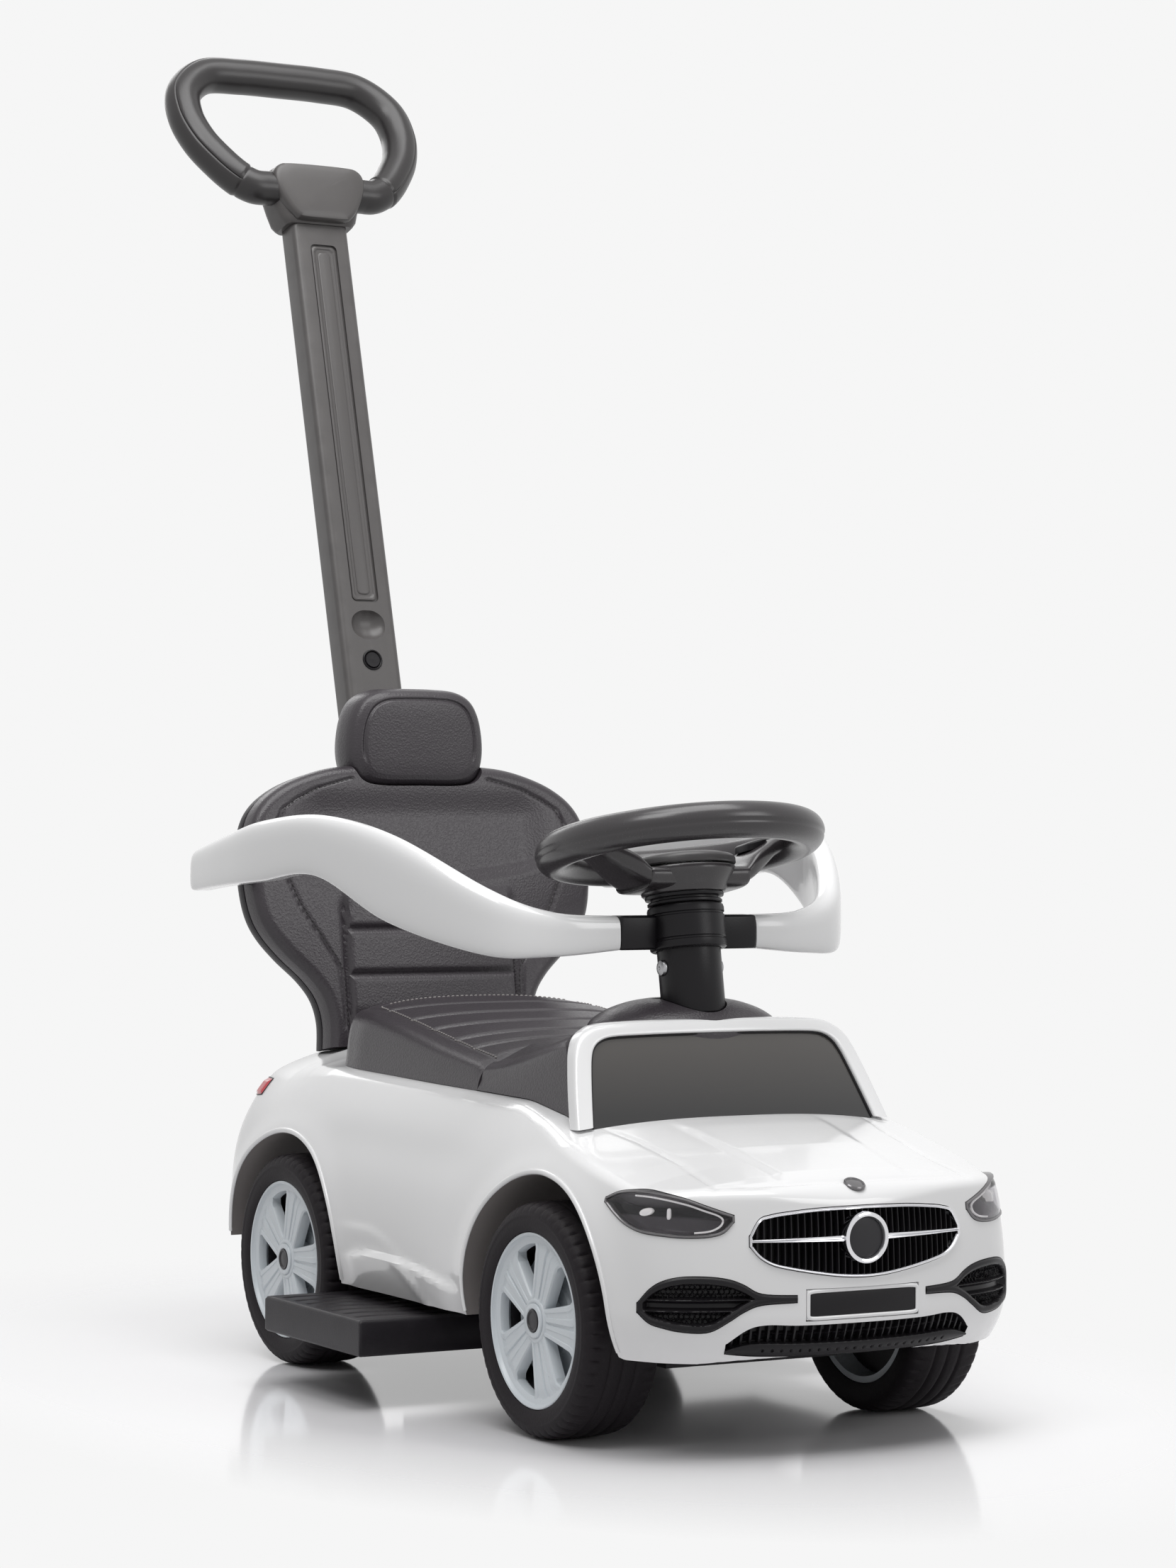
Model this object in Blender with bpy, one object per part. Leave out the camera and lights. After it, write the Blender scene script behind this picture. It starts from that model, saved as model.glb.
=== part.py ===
"""Foot-to-floor ride-on car with a push handle, a guard ring and slide-out foot rests.

Metres, +Z up. The car stands on the floor at z = 0, its nose points to -Y, and its right side is -X.
The origin is on the floor under the middle of the whole length.
"""

import math

import bmesh
import bpy
from mathutils import Matrix, Vector

# Clearances and walls
GAP = 0.0003
FINE = 0.0001
BODY_WALL = 0.004

# Running gear
FRONT_AXLE_Y = -0.267
REAR_AXLE_Y = 0.083
TYRE_R = 0.0713
TYRE_FACETS = 32
TYRE_INNER_X = 0.0915
TYRE_OUTER_X = 0.1435
HUB_Z = TYRE_R * math.cos(math.pi / TYRE_FACETS)
RIM_R = 0.0532
RIM_WALL = 0.0042
SPOKES = 5
HUB_R = 0.0135
AXLE_R = 0.0041
AXLE_BORE_R = 0.0045
CAP_R = 0.0105

# Body skin: the plan outline of one half, nose to tail
PLAN_HALF = [
    (0, -0.4150), (0.040, -0.4120), (0.075, -0.4050), (0.1085, -0.3925), (0.1310, -0.3720),
    (0.1405, -0.3400), (0.1435, -0.2900), (0.1425, -0.2000), (0.1405, -0.0900), (0.1425, 0.0200),
    (0.1445, 0.0900), (0.1435, 0.1420), (0.1350, 0.1800), (0.1050, 0.2000), (0.0520, 0.2065),
    (0, 0.2075),
]
# Rows of (y, value) along the car
CREST_Z = [
    (-0.415, 0.1475), (-0.4115, 0.1515), (-0.4036, 0.1585), (-0.385, 0.1655), (-0.340, 0.1765),
    (-0.279, 0.1895), (-0.24, 0.195), (-0.19, 0.1985), (-0.10, 0.200), (0.03, 0.2025),
    (0.07, 0.2055), (0.10, 0.2125), (0.13, 0.2165), (0.165, 0.2130), (0.190, 0.199), (0.2075, 0.182),
]
CROWN_DROP = [
    (-0.415, 0.010), (-0.36, 0.016), (-0.27, 0.012), (-0.20, 0.002), (0.03, 0.003),
    (0.07, 0.007), (0.10, 0.021), (0.13, 0.034), (0.165, 0.030), (0.2075, 0.012),
]
SHOULDER_INSET = [
    (-0.415, 0.004), (-0.38, 0.008), (-0.34, 0.012), (-0.28, 0.016), (-0.22, 0.026),
    (-0.12, 0.032), (0.05, 0.033), (0.12, 0.033), (0.16, 0.031), (0.2075, 0.027),
]
SKIRT_TUCK = [(-0.415, 0.014), (-0.36, 0.008), (-0.30, 0.005), (0.10, 0.005), (0.16, 0.001), (0.2075, 0.001)]
SKIRT_Z = [(-0.415, 0.0565), (-0.36, 0.0585), (-0.34, 0.064), (0.02, 0.064), (0.15, 0.078), (0.2075, 0.080)]
CROWN_HALF_WIDTH = 0.13
CROWN_POWER = 2.5
TUCK_SHARE = 0.3
RISE_POWER = 2.4
SPINE_FRONT_Y = -0.33
SPINE_REAR_Y = 0.14
SIDE_LEVELS = [0, 0.10, 0.26, 0.46, 0.64, 0.78, 0.90, 1.0]
TOP_SHARES = [0.13, 0.34, 0.64, 0.95]

# Wheel arches
FRONT_ARCH_R = 0.0880
REAR_ARCH_R = 0.0860
WELL_INNER_X = 0.064
WELL_WALL = 0.0035

# Front wrapped pieces, as (girth from the nose, low z, high z) along the skin
HEADLIGHT = [
    (0.0840, 0.1405, 0.1442), (0.0900, 0.1345, 0.1462), (0.0990, 0.1320, 0.1492), (0.1140, 0.1315, 0.1540),
    (0.1290, 0.1325, 0.1567), (0.1420, 0.1340, 0.1577), (0.1550, 0.1378, 0.1572), (0.1660, 0.1432, 0.1556),
    (0.1760, 0.1492, 0.1516),
]
INTAKE = [
    (0.0456, 0.0930, 0.0970), (0.0674, 0.0922, 0.0985), (0.0784, 0.0884, 0.1040), (0.0870, 0.0832, 0.1072),
    (0.0992, 0.0770, 0.1090), (0.1152, 0.0772, 0.1090), (0.1270, 0.0795, 0.1062), (0.1349, 0.0820, 0.1012),
    (0.1420, 0.0880, 0.0932),
]
GRILLE_HALF = [
    (0, 0.1060, 0.1476), (0.0160, 0.1068, 0.1474), (0.0335, 0.1092, 0.1469), (0.0500, 0.1122, 0.1456),
    (0.0610, 0.1150, 0.1442), (0.0690, 0.1195, 0.1415), (0.0750, 0.1262, 0.1320),
]
CHIN_HALF = [
    (0, 0.0600, 0.0790), (0.0420, 0.0605, 0.0790), (0.0640, 0.0612, 0.0800), (0.0760, 0.0620, 0.0775),
    (0.0880, 0.0635, 0.0690),
]
TAILLIGHT = [(0.6770, 0.1775, 0.1880), (0.6900, 0.1766, 0.1884), (0.7100, 0.1764, 0.1880), (0.7500, 0.1764, 0.1850)]
LENS_DEPTH = 0.0075
LENS_PROUD = 0.0008
GRILLE_SLATS = 9
GRILLE_TRIM_W = 0.0026
GRILLE_BOSS_R = 0.0155
PLATE_HALF_W = 0.0393
PLATE_Z = (0.0820, 0.1000)
PLATE_Y = (-0.4126, -0.4066)

# Windscreen
SCREEN_BASE_Y = -0.279
SCREEN_BASE_Z = 0.1895
SCREEN_LEAN = 0.572
SCREEN_BOW = 0.82
SCREEN_DEPTH = 0.0120
SCREEN_PANEL = 0.0030
SCREEN_INNER = [(0.1020, 0.1860), (0.0965, 0.2080), (0.0895, 0.2290), (0.0840, 0.2352), (0.0740, 0.2388), (0, 0.2400)]
SCREEN_OUTER = [(0.1135, 0.1845), (0.1070, 0.2110), (0.1000, 0.2335), (0.0930, 0.2430), (0.0790, 0.2475), (0, 0.2485)]

# Steering
COLUMN_LEAN = math.radians(10.0)
WHEEL_CENTRE = Vector((0, -0.200, 0.359))
STEERING_R = 0.0810
STEERING_TUBE_R = 0.0115
RIM_DROP = 0.0025
RIM_TILT = math.radians(2.0)
PAD_LOW = -0.0180
STEM_R = 0.0202
STEM_TOP = -0.0350
STEM_BOTTOM = -0.1119
BOLT_T = -0.0812
BOLT_R = 0.0030
ROD_R = 0.0050
# Rows of (x, low, high, half depth) along the bridge that joins the hub to the rim, measured square to the column
WHEEL_BRIDGE = [
    (-0.0760, -0.0060, 0.0030, 0.015), (-0.0635, -0.0120, 0.0000, 0.017), (-0.0547, -0.0186, -0.0040, 0.020),
    (-0.0437, -0.0265, -0.0100, 0.024), (-0.0355, -0.0305, -0.0184, 0.0252), (-0.0300, -0.0330, -0.0184, 0.026),
    (0.0300, -0.0330, -0.0184, 0.026), (0.0355, -0.0305, -0.0184, 0.0252), (0.0437, -0.0265, -0.0100, 0.024),
    (0.0547, -0.0186, -0.0040, 0.020), (0.0635, -0.0120, 0.0000, 0.017), (0.0760, -0.0060, 0.0030, 0.015),
]
ROD_BOTTOM = -0.3250
CRANK_T = -0.2740
CRANK_PIN_R = 0.0025
CRANK_REACH = 0.0192
TIE_Y = -0.2300
TIE_Z = (0.0755, 0.0815)
TIE_HALF_Y = 0.0085
SLOT_HALF_Y = 0.0060
KINGPIN_X = 0.080
KINGPIN_R = 0.0030
KNUCKLE_R = 0.0080
CARRIER_LOW_Z = (0.0400, 0.0460)
CARRIER_HIGH_Z = (0.0980, 0.1040)
HORN_R = 0.0130

# Floor pan
PAN_Z = (0.0645, 0.0685)
PAN_Y = (-0.375, 0.175)
AXLE_BLOCK_HALF = 0.0140
AXLE_BLOCK_X = 0.0580

# Storage bin under the seat
BIN_X = 0.0560
BIN_Y = (-0.0960, 0.0620)
BIN_TOP_Z = 0.1985
BIN_WALL = 0.0025

# Seat
SEAT_FRONT_Y = -0.1236
SEAT_REAR_Y = 0.1000
SEAT_HINGE_Y = -0.1190
SEAT_HINGE_Z = 0.2245
HINGE_BARREL_R = 0.0028
HINGE_PIN_R = 0.0013
SEAT_BASE_X = 0.0900
SEAT_BASE_Y = (-0.1066, 0.0640)
SEAT_BASE_Z = (0.2062, 0.2092)

# Console between the seat and the windscreen
CONSOLE_REAR_Y = -0.1243
CONSOLE_STATIONS = [
    (-0.1243, 0.2290, 0.2165), (-0.150, 0.2292, 0.2200), (-0.175, 0.2310, 0.2255), (-0.200, 0.2350, 0.2320),
    (-0.225, 0.2400, 0.2380), (-0.2480, 0.2425, 0.2405),
]
COWL_Y = -0.2055
COWL_HALF = (0.0650, 0.0420)
COWL_PROFILE = [
    (1.00, 0.2360), (1.00, 0.2430), (0.94, 0.2480), (0.80, 0.2530), (0.60, 0.2572), (0.40, 0.2594), (0.33, 0.2600),
]

# Backrest, measured on a plane that leans back
BACK_LEAN = math.radians(9.0)
BACK_PLANE_Y = 0.1560
BACK_PLANE_Z = 0.3900
BACK_BOTTOM_Z = 0.2112
BACK_OUTLINE = [
    (0.2112, 0.0830), (0.2300, 0.0820), (0.2460, 0.0860), (0.2600, 0.0960), (0.2750, 0.1120), (0.2900, 0.1250),
    (0.3050, 0.1325), (0.3250, 0.1360), (0.3500, 0.1362), (0.3690, 0.1330), (0.3830, 0.1240), (0.3940, 0.1090),
    (0.4020, 0.0900), (0.4075, 0.0680), (0.4100, 0.0400),
]
COVER_THICK = 0.0200
SHELL_THICK = 0.0160
CHANNEL_Z = (0.2560, 0.2830)
CHANNEL_X = 0.0640

# Headrest
HEADREST_Y = (0.1585, 0.1985)
HEADREST_OUTLINE = [
    (0, 0.3928), (0.0300, 0.3928), (0.0450, 0.3955), (0.0520, 0.4030), (0.0550, 0.4150), (0.0545, 0.4300),
    (0.0510, 0.4450), (0.0440, 0.4560), (0.0320, 0.4618), (0.0150, 0.4632), (0, 0.4634),
]

# Handle
MAST_LEAN = math.radians(15.6)
MAST_FRONT = Vector((0, 0.3249, 0.8009))
MAST_W = 0.0460
MAST_D = 0.0240
MAST_FOOT_Z = 0.1320
YOKE_FOOT_Z = 0.8164
YOKE_LENGTH = 0.0445
YOKE_TOP_Z = YOKE_FOOT_Z + YOKE_LENGTH
STRIP_Z = (0.5290, 0.8009)
STRIP_HALF_W = 0.0110
STRIP_DEPTH = 0.0015
SCOOP_Z = 0.5120
BUTTON_Z = 0.4860
BUTTON_R = 0.0060
SOCKET_WALL = 0.0040
SOCKET_Z = (0.0900, 0.2600)
YOKE_ROWS = [(0.0, 0.0295, 0.003), (0.10, 0.0325, 0), (0.55, 0.0385, 0), (0.80, 0.0380, 0), (1.0, 0.0320, 0.004)]
YOKE_DEPTH = 0.0340
GRIP_LEAN = math.radians(34.0)
GRIP_TUBE_R = 0.0136
GRIP_PATH = [
    (0.0390, -0.0185), (0.0500, -0.0183), (0.0610, -0.0110), (0.0725, 0.0030), (0.0840, 0.0230),
    (0.0895, 0.0470), (0.0850, 0.0720), (0.0640, 0.0915), (0.0330, 0.0952), (0, 0.0955),
]

# Guard ring: (x, y, low z, high z) of the outer face, rear end to clamp
ARM_PATH = [
    (0.1720, 0.1780, 0.3190, 0.3480), (0.1820, 0.1060, 0.3245, 0.3590), (0.1870, 0.0360, 0.3290, 0.3695),
    (0.1830, -0.0440, 0.3340, 0.3735), (0.1680, -0.1190, 0.3060, 0.3610), (0.1330, -0.1840, 0.2875, 0.3290),
    (0.0950, -0.2080, 0.2868, 0.3147), (0.0503, -0.2130, 0.2905, 0.3120),
]
ARM_THICK = 0.0160
CLAMP_HALF_W = 0.0500
CLAMP_R = 0.0245
CLAMP_Z = (0.2900, 0.3175)
BRACKET_Z = (0.3240, 0.3440)

# Foot rests
REST_X = (0.0520, 0.1900)
REST_Y = (-0.1310, 0.0080)
REST_Z = (0.0345, 0.0575)
REST_GROOVES = 7
REST_MARGIN = 0.0080
GROOVE_LENGTH = 0.0860
GROOVE_HALF_W = 0.0015
GROOVE_DEPTH = 0.0015
REST_CLEAR = 0.0005
CHANNEL_WALL = 0.0050
CHANNEL_HALF = 0.0850
CHANNEL_STEP_Y = -0.0085

# Colours: red, green, blue, roughness, metallic
WHITE = (0.84, 0.84, 0.85, 0.18, 0)
BLACK = (0.025, 0.025, 0.028, 0.45, 0)
GRAPHITE = (0.055, 0.053, 0.056, 0.5, 0)
LEATHER = (0.060, 0.055, 0.056, 0.55, 0)
TYRE = (0.028, 0.027, 0.028, 0.75, 0)
ALLOY = (0.62, 0.68, 0.74, 0.35, 0)
CHROME = (0.8, 0.8, 0.82, 0.12, 1)
STEEL = (0.45, 0.45, 0.46, 0.35, 1)
SMOKE = (0.05, 0.05, 0.055, 0.1, 0)
RED = (0.6, 0.03, 0.04, 0.2, 0)


def clear_scene():
    for old in list(bpy.data.objects):
        bpy.data.objects.remove(old, do_unlink=True)


def paint(name, finish):
    """A plain Principled material of the piece's colour."""
    material = bpy.data.materials.new(name)
    material.use_nodes = True
    shader = material.node_tree.nodes["Principled BSDF"]
    shader.inputs["Base Color"].default_value = (finish[0], finish[1], finish[2], 1)
    shader.inputs["Roughness"].default_value = finish[3]
    shader.inputs["Metallic"].default_value = finish[4]
    return material


def place(name, bm, finish):
    """Turns a bmesh into a named object with its own material."""
    bmesh.ops.remove_doubles(bm, verts=bm.verts, dist=0.00001)
    bmesh.ops.recalc_face_normals(bm, faces=bm.faces)
    mesh = bpy.data.meshes.new(name)
    bm.to_mesh(mesh)
    bm.free()
    mesh.shade_smooth()
    mesh.set_sharp_from_angle(angle=math.radians(35))
    piece = bpy.data.objects.new(name, mesh)
    bpy.context.scene.collection.objects.link(piece)
    mesh.materials.append(paint(name, finish))
    return piece


def cutter(name, bm):
    """A guide solid for a Boolean: it isn't a piece of the car."""
    guide = place(name, bm, STEEL)
    guide.hide_render = True
    guide.display_type = "WIRE"
    return guide


def boolean(piece, bm, operation, label):
    """Adds a live Boolean of a guide solid to a piece."""
    modifier = piece.modifiers.new(label, "BOOLEAN")
    modifier.operation = operation
    modifier.solver = "EXACT"
    modifier.object = cutter(piece.name + "_" + label, bm)
    return modifier.object


def cut(piece, bm, label):
    return boolean(piece, bm, "DIFFERENCE", label)


def join(piece, bm, label):
    return boolean(piece, bm, "UNION", label)


def smooth_line(points, steps, closed=False):
    """Points along a Catmull-Rom curve through the given ones."""
    count = len(points)
    line = []
    for i in range(count if closed else count - 1):
        if closed:
            four = [points[(i + k - 1) % count] for k in range(4)]
        else:
            four = [points[max(i - 1, 0)], points[i], points[i + 1], points[min(i + 2, count - 1)]]
        for j in range(steps):
            t = j / steps
            line.append(tuple(
                0.5 * (2 * b + (c - a) * t + (2 * a - 5 * b + 4 * c - d) * t * t + (3 * b - a - 3 * c + d) * t ** 3)
                for a, b, c, d in zip(*four)
            ))
    if not closed:
        line.append(tuple(points[-1]))
    return line


def read_row(rows, place_at):
    """The value at a place, read along straight lines between rows."""
    if place_at <= rows[0][0]:
        return rows[0][1]
    for (low, value), (high, following) in zip(rows, rows[1:]):
        if place_at <= high:
            return value + (following - value) * (place_at - low) / (high - low)
    return rows[-1][1]


def skin_rings(bm, rings, closed=False, caps="flat"):
    """Quads between rings of points, with the two ends closed."""
    loops = [[bm.verts.new(point) for point in ring] for ring in rings]
    pairs = list(zip(loops, loops[1:]))
    if closed:
        pairs.append((loops[-1], loops[0]))
    for near, far in pairs:
        for i in range(len(near)):
            k = (i + 1) % len(near)
            bm.faces.new((near[i], near[k], far[k], far[i]))
    if not closed and caps == "flat":
        bm.faces.new(loops[0][::-1])
        bm.faces.new(loops[-1])
    if not closed and caps == "strip":
        strip_cap(bm, loops[0])
        strip_cap(bm, loops[-1])


def strip_cap(bm, loop):
    """Closes a ring that is the same on both sides of x = 0 with cross strips."""
    count = len(loop)
    for i in range(count // 2):
        corners = [loop[i], loop[i + 1], loop[(count - i - 1) % count], loop[(count - i) % count]]
        bm.faces.new(list(dict.fromkeys(corners)))


def lofted(rings, closed=False, caps="flat"):
    bm = bmesh.new()
    skin_rings(bm, rings, closed, caps)
    return bm


def frame_of(axis):
    """Two directions square to an axis."""
    axis = Vector(axis).normalized()
    side = axis.cross(Vector((0, 0, 1)))
    if side.length < 0.01:
        side = Vector((1, 0, 0))
    side.normalize()
    return side, axis.cross(side)


def circle(centre, axis, radius, count, turn=0.0):
    side, up = frame_of(axis)
    angles = [turn + 2 * math.pi * i / count for i in range(count)]
    return [Vector(centre) + side * radius * math.cos(a) + up * radius * math.sin(a) for a in angles]


def turned(profile, centre, axis, count, ring=False, turn=0.0):
    """A turned solid: profile rows are (radius, distance along the axis)."""
    direction = Vector(axis).normalized()
    rings = [circle(Vector(centre) + direction * along, axis, radius, count, turn) for radius, along in profile]
    return lofted(rings, closed=ring)


def rod(start, end, radius, count=16):
    start = Vector(start)
    end = Vector(end)
    return lofted([circle(start, end - start, radius, count), circle(end, end - start, radius, count)])


def box(low, high, bevel=0.0):
    bm = bmesh.new()
    bmesh.ops.create_cube(bm, size=1)
    for vert in bm.verts:
        vert.co = Vector([a + (b - a) * (c + 0.5) for a, b, c in zip(low, high, vert.co)])
    if bevel:
        bmesh.ops.bevel(bm, geom=list(bm.edges), offset=bevel, segments=1, affect="EDGES")
    return bm


def merged(*parts):
    """Separate solids in one guide mesh."""
    bm = bmesh.new()
    for part in parts:
        scratch = bpy.data.meshes.new("scratch")
        part.to_mesh(scratch)
        part.free()
        bm.from_mesh(scratch)
        bpy.data.meshes.remove(scratch)
    return bm


def slab(front, back):
    """A closed sheet between two equal grids of points."""
    bm = bmesh.new()
    grids = [[[bm.verts.new(point) for point in row] for row in grid] for grid in (front, back)]
    rows = len(front)
    columns = len(front[0])
    for grid in grids:
        for i in range(rows - 1):
            for j in range(columns - 1):
                bm.faces.new((grid[i][j], grid[i][j + 1], grid[i + 1][j + 1], grid[i + 1][j]))
    edge = [(0, j) for j in range(columns)] + [(i, columns - 1) for i in range(1, rows)]
    edge += [(rows - 1, j) for j in range(columns - 2, -1, -1)] + [(i, 0) for i in range(rows - 2, 0, -1)]
    for (i, j), (k, m) in zip(edge, edge[1:] + edge[:1]):
        bm.faces.new((grids[0][i][j], grids[0][k][m], grids[1][k][m], grids[1][i][j]))
    return bm


def padded_slab(front, drop):
    """A crowned pad: a fine front over a flat back that each row of the front is dropped onto."""
    bm = bmesh.new()
    grid = [[bm.verts.new(point) for point in row] for row in front]
    rows = len(front)
    columns = len(front[0])
    for i in range(rows - 1):
        for j in range(columns - 1):
            bm.faces.new((grid[i][j], grid[i][j + 1], grid[i + 1][j + 1], grid[i + 1][j]))
    left = [bm.verts.new(drop(row[0])) for row in front]
    right = [bm.verts.new(drop(row[-1])) for row in front]
    for i in range(rows - 1):
        bm.faces.new((grid[i][0], grid[i + 1][0], left[i + 1], left[i]))
        bm.faces.new((grid[i][-1], grid[i + 1][-1], right[i + 1], right[i]))
        bm.faces.new((left[i], left[i + 1], right[i + 1], right[i]))
    bm.faces.new(grid[0] + [right[0], left[0]])
    bm.faces.new(grid[-1] + [right[-1], left[-1]])
    return bm


def sweep(path, section, up=(0, 0, 1), closed=False):
    """Carries a section of (across, upward) points along a path."""
    rings = []
    count = len(path)
    for i, point in enumerate(path):
        before = path[(i - 1) % count] if closed else path[max(i - 1, 0)]
        after = path[(i + 1) % count] if closed else path[min(i + 1, count - 1)]
        forward = (Vector(after) - Vector(before)).normalized()
        across = forward.cross(Vector(up)).normalized()
        lift = across.cross(forward)
        rings.append([Vector(point) + across * a + lift * b for a, b in section])
    return lofted(rings, closed=closed)


def round_section(radius, count):
    angles = [2 * math.pi * i / count for i in range(count)]
    return [(radius * math.cos(a), radius * math.sin(a)) for a in angles]


def crest(x, y):
    """Height of the body's upper skin."""
    return read_row(CREST_Z, y) - read_row(CROWN_DROP, y) * (abs(x) / CROWN_HALF_WIDTH) ** CROWN_POWER


def skin_inset(share, y):
    """How far the side skin lies inside the widest outline at a share of its height."""
    rise = max(0.0, (share - TUCK_SHARE) / (1 - TUCK_SHARE)) ** RISE_POWER
    tuck = max(0.0, 1 - max(share, 0.0) / TUCK_SHARE) ** 2
    return read_row(SHOULDER_INSET, y) * rise + read_row(SKIRT_TUCK, y) * tuck


def plan_line(steps):
    """The widest outline with its outward normals, once round from the nose by the left side."""
    outline = PLAN_HALF + [(-x, y) for x, y in PLAN_HALF[-2:0:-1]]
    points = smooth_line(outline, steps, closed=True)
    line = []
    for i, (x, y) in enumerate(points):
        before = points[i - 1]
        after = points[(i + 1) % len(points)]
        run = math.hypot(after[0] - before[0], after[1] - before[1])
        line.append((x, y, (after[1] - before[1]) / run, -(after[0] - before[0]) / run))
    return line


def edge_height(x, y, nx, ny):
    inset = read_row(SHOULDER_INSET, y)
    return crest(x - nx * inset, y - ny * inset)


def body_rings(steps, inward, down, levels, shares, sink=0.0):
    """Rings of the body skin, from the skirt up the sides and in over the top."""
    line = plan_line(steps)
    rings = []
    for share in levels:
        ring = []
        for x, y, nx, ny in line:
            out = -inward - skin_inset(share, y)
            low = read_row(SKIRT_Z, y) - sink
            high = edge_height(x, y, nx, ny) - down
            ring.append(Vector((x + nx * out, y + ny * out, low + (high - low) * share)))
        rings.append(ring)
    for share in shares:
        ring = []
        for x, y, nx, ny in line:
            out = -inward - read_row(SHOULDER_INSET, y)
            edge_x = x + nx * out
            edge_y = y + ny * out
            spine_y = min(max(edge_y, SPINE_FRONT_Y), SPINE_REAR_Y)
            ring_x = edge_x * (1 - share)
            ring_y = edge_y + (spine_y - edge_y) * share
            ring.append(Vector((ring_x, ring_y, crest(ring_x, ring_y) - down)))
        rings.append(ring)
    return rings


def skin_point(girth, z, out):
    """A point at a girth from the nose (positive to the left) and a height, pushed out of the skin."""
    travelled = 0.0
    line = FINE_PLAN
    for (x, y, nx, ny), (x1, y1, nx1, ny1) in zip(line, line[1:]):
        step = math.hypot(x1 - x, y1 - y)
        if travelled + step >= abs(girth):
            t = (abs(girth) - travelled) / step
            x, y, nx, ny = x + (x1 - x) * t, y + (y1 - y) * t, nx + (nx1 - nx) * t, ny + (ny1 - ny) * t
            break
        travelled += step
    low = read_row(SKIRT_Z, y)
    share = (z - low) / (edge_height(x, y, nx, ny) - low)
    push = out - skin_inset(share, y)
    side = 1 if girth >= 0 else -1
    return Vector((side * (x + nx * push), y + ny * push, z))


FINE_PLAN = plan_line(12)


def wrapped(stations, rows, front, back, grow=0.0, side=1):
    """A panel let into the skin: stations are (girth, low z, high z)."""
    first = stations[0][0]
    last = stations[-1][0]
    grids = []
    for out in (front, back):
        grid = []
        for girth, low, high in stations:
            shift = -grow if girth == first else grow if girth == last else 0.0
            heights = [low - grow + (high - low + 2 * grow) * j / rows for j in range(rows + 1)]
            grid.append([skin_point(side * (girth + shift), z, out) for z in heights])
        grids.append(grid)
    return slab(*grids)


def both_halves(half):
    """Stations of a symmetric panel from those of its left half."""
    return [(-girth, low, high) for girth, low, high in half[:0:-1]] + half


def mirrored(points, side):
    return [(side * p[0],) + tuple(p[1:]) for p in points]


def wheel_well(axle_y, radius, inner_x, side, count=36):
    """The round space over a wheel, open to the side and below."""
    outer_x = 0.20
    ring = circle((side * inner_x, axle_y, HUB_Z), (side, 0, 0), radius, count)
    bm = lofted([ring, [p + Vector((side * (outer_x - inner_x), 0, 0)) for p in ring]])
    return bm


def wheel_wells(extra, inner_x):
    wells = []
    for side in (-1, 1):
        wells.append(wheel_well(FRONT_AXLE_Y, FRONT_ARCH_R + extra, inner_x, side))
        wells.append(wheel_well(REAR_AXLE_Y, REAR_ARCH_R + extra, inner_x, side))
    return merged(*wells)


def column_point(along, across=0.0, sideways=0.0):
    """A point by its distance along the steering column from the wheel's centre."""
    axis = column_axis()
    rear = Vector((0, math.cos(COLUMN_LEAN), -math.sin(COLUMN_LEAN)))
    return WHEEL_CENTRE + axis * along + rear * across + Vector((sideways, 0, 0))


def column_axis():
    return Vector((0, math.sin(COLUMN_LEAN), math.cos(COLUMN_LEAN)))


def mast_axis():
    return Vector((0, math.sin(MAST_LEAN), math.cos(MAST_LEAN)))


def mast_point(z, across=0.0, sideways=0.0):
    """A point on the mast's front face at a height, moved back across the mast."""
    back = Vector((0, math.cos(MAST_LEAN), -math.sin(MAST_LEAN)))
    face = MAST_FRONT + mast_axis() * (z - MAST_FRONT.z) / mast_axis().z
    return face + back * across + Vector((sideways, 0, 0))


def mast_prism(low_z, high_z, half_w, near, far, corner=0.0):
    """A straight length along the mast, with its corners cut."""
    if corner:
        shape = [
            (-half_w, near + corner), (-half_w + corner, near), (half_w - corner, near), (half_w, near + corner),
            (half_w, far - corner), (half_w - corner, far), (-half_w + corner, far), (-half_w, far - corner),
        ]
    else:
        shape = [(-half_w, near), (half_w, near), (half_w, far), (-half_w, far)]
    return lofted([[mast_point(z, across, x) for x, across in shape] for z in (low_z, high_z)])


def back_point(x, z, behind):
    """A point on the backrest's front plane, moved back square to it."""
    y = BACK_PLANE_Y + (z - BACK_PLANE_Z) * math.tan(BACK_LEAN)
    return Vector((x, y + behind * math.cos(BACK_LEAN), z - behind * math.sin(BACK_LEAN)))


def skin_solid(rings):
    """A closed solid of plain triangles through rings of the body skin."""
    bm = lofted(rings, caps="strip")
    bmesh.ops.triangulate(bm, faces=bm.faces, quad_method="FIXED")
    return bm


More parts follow.
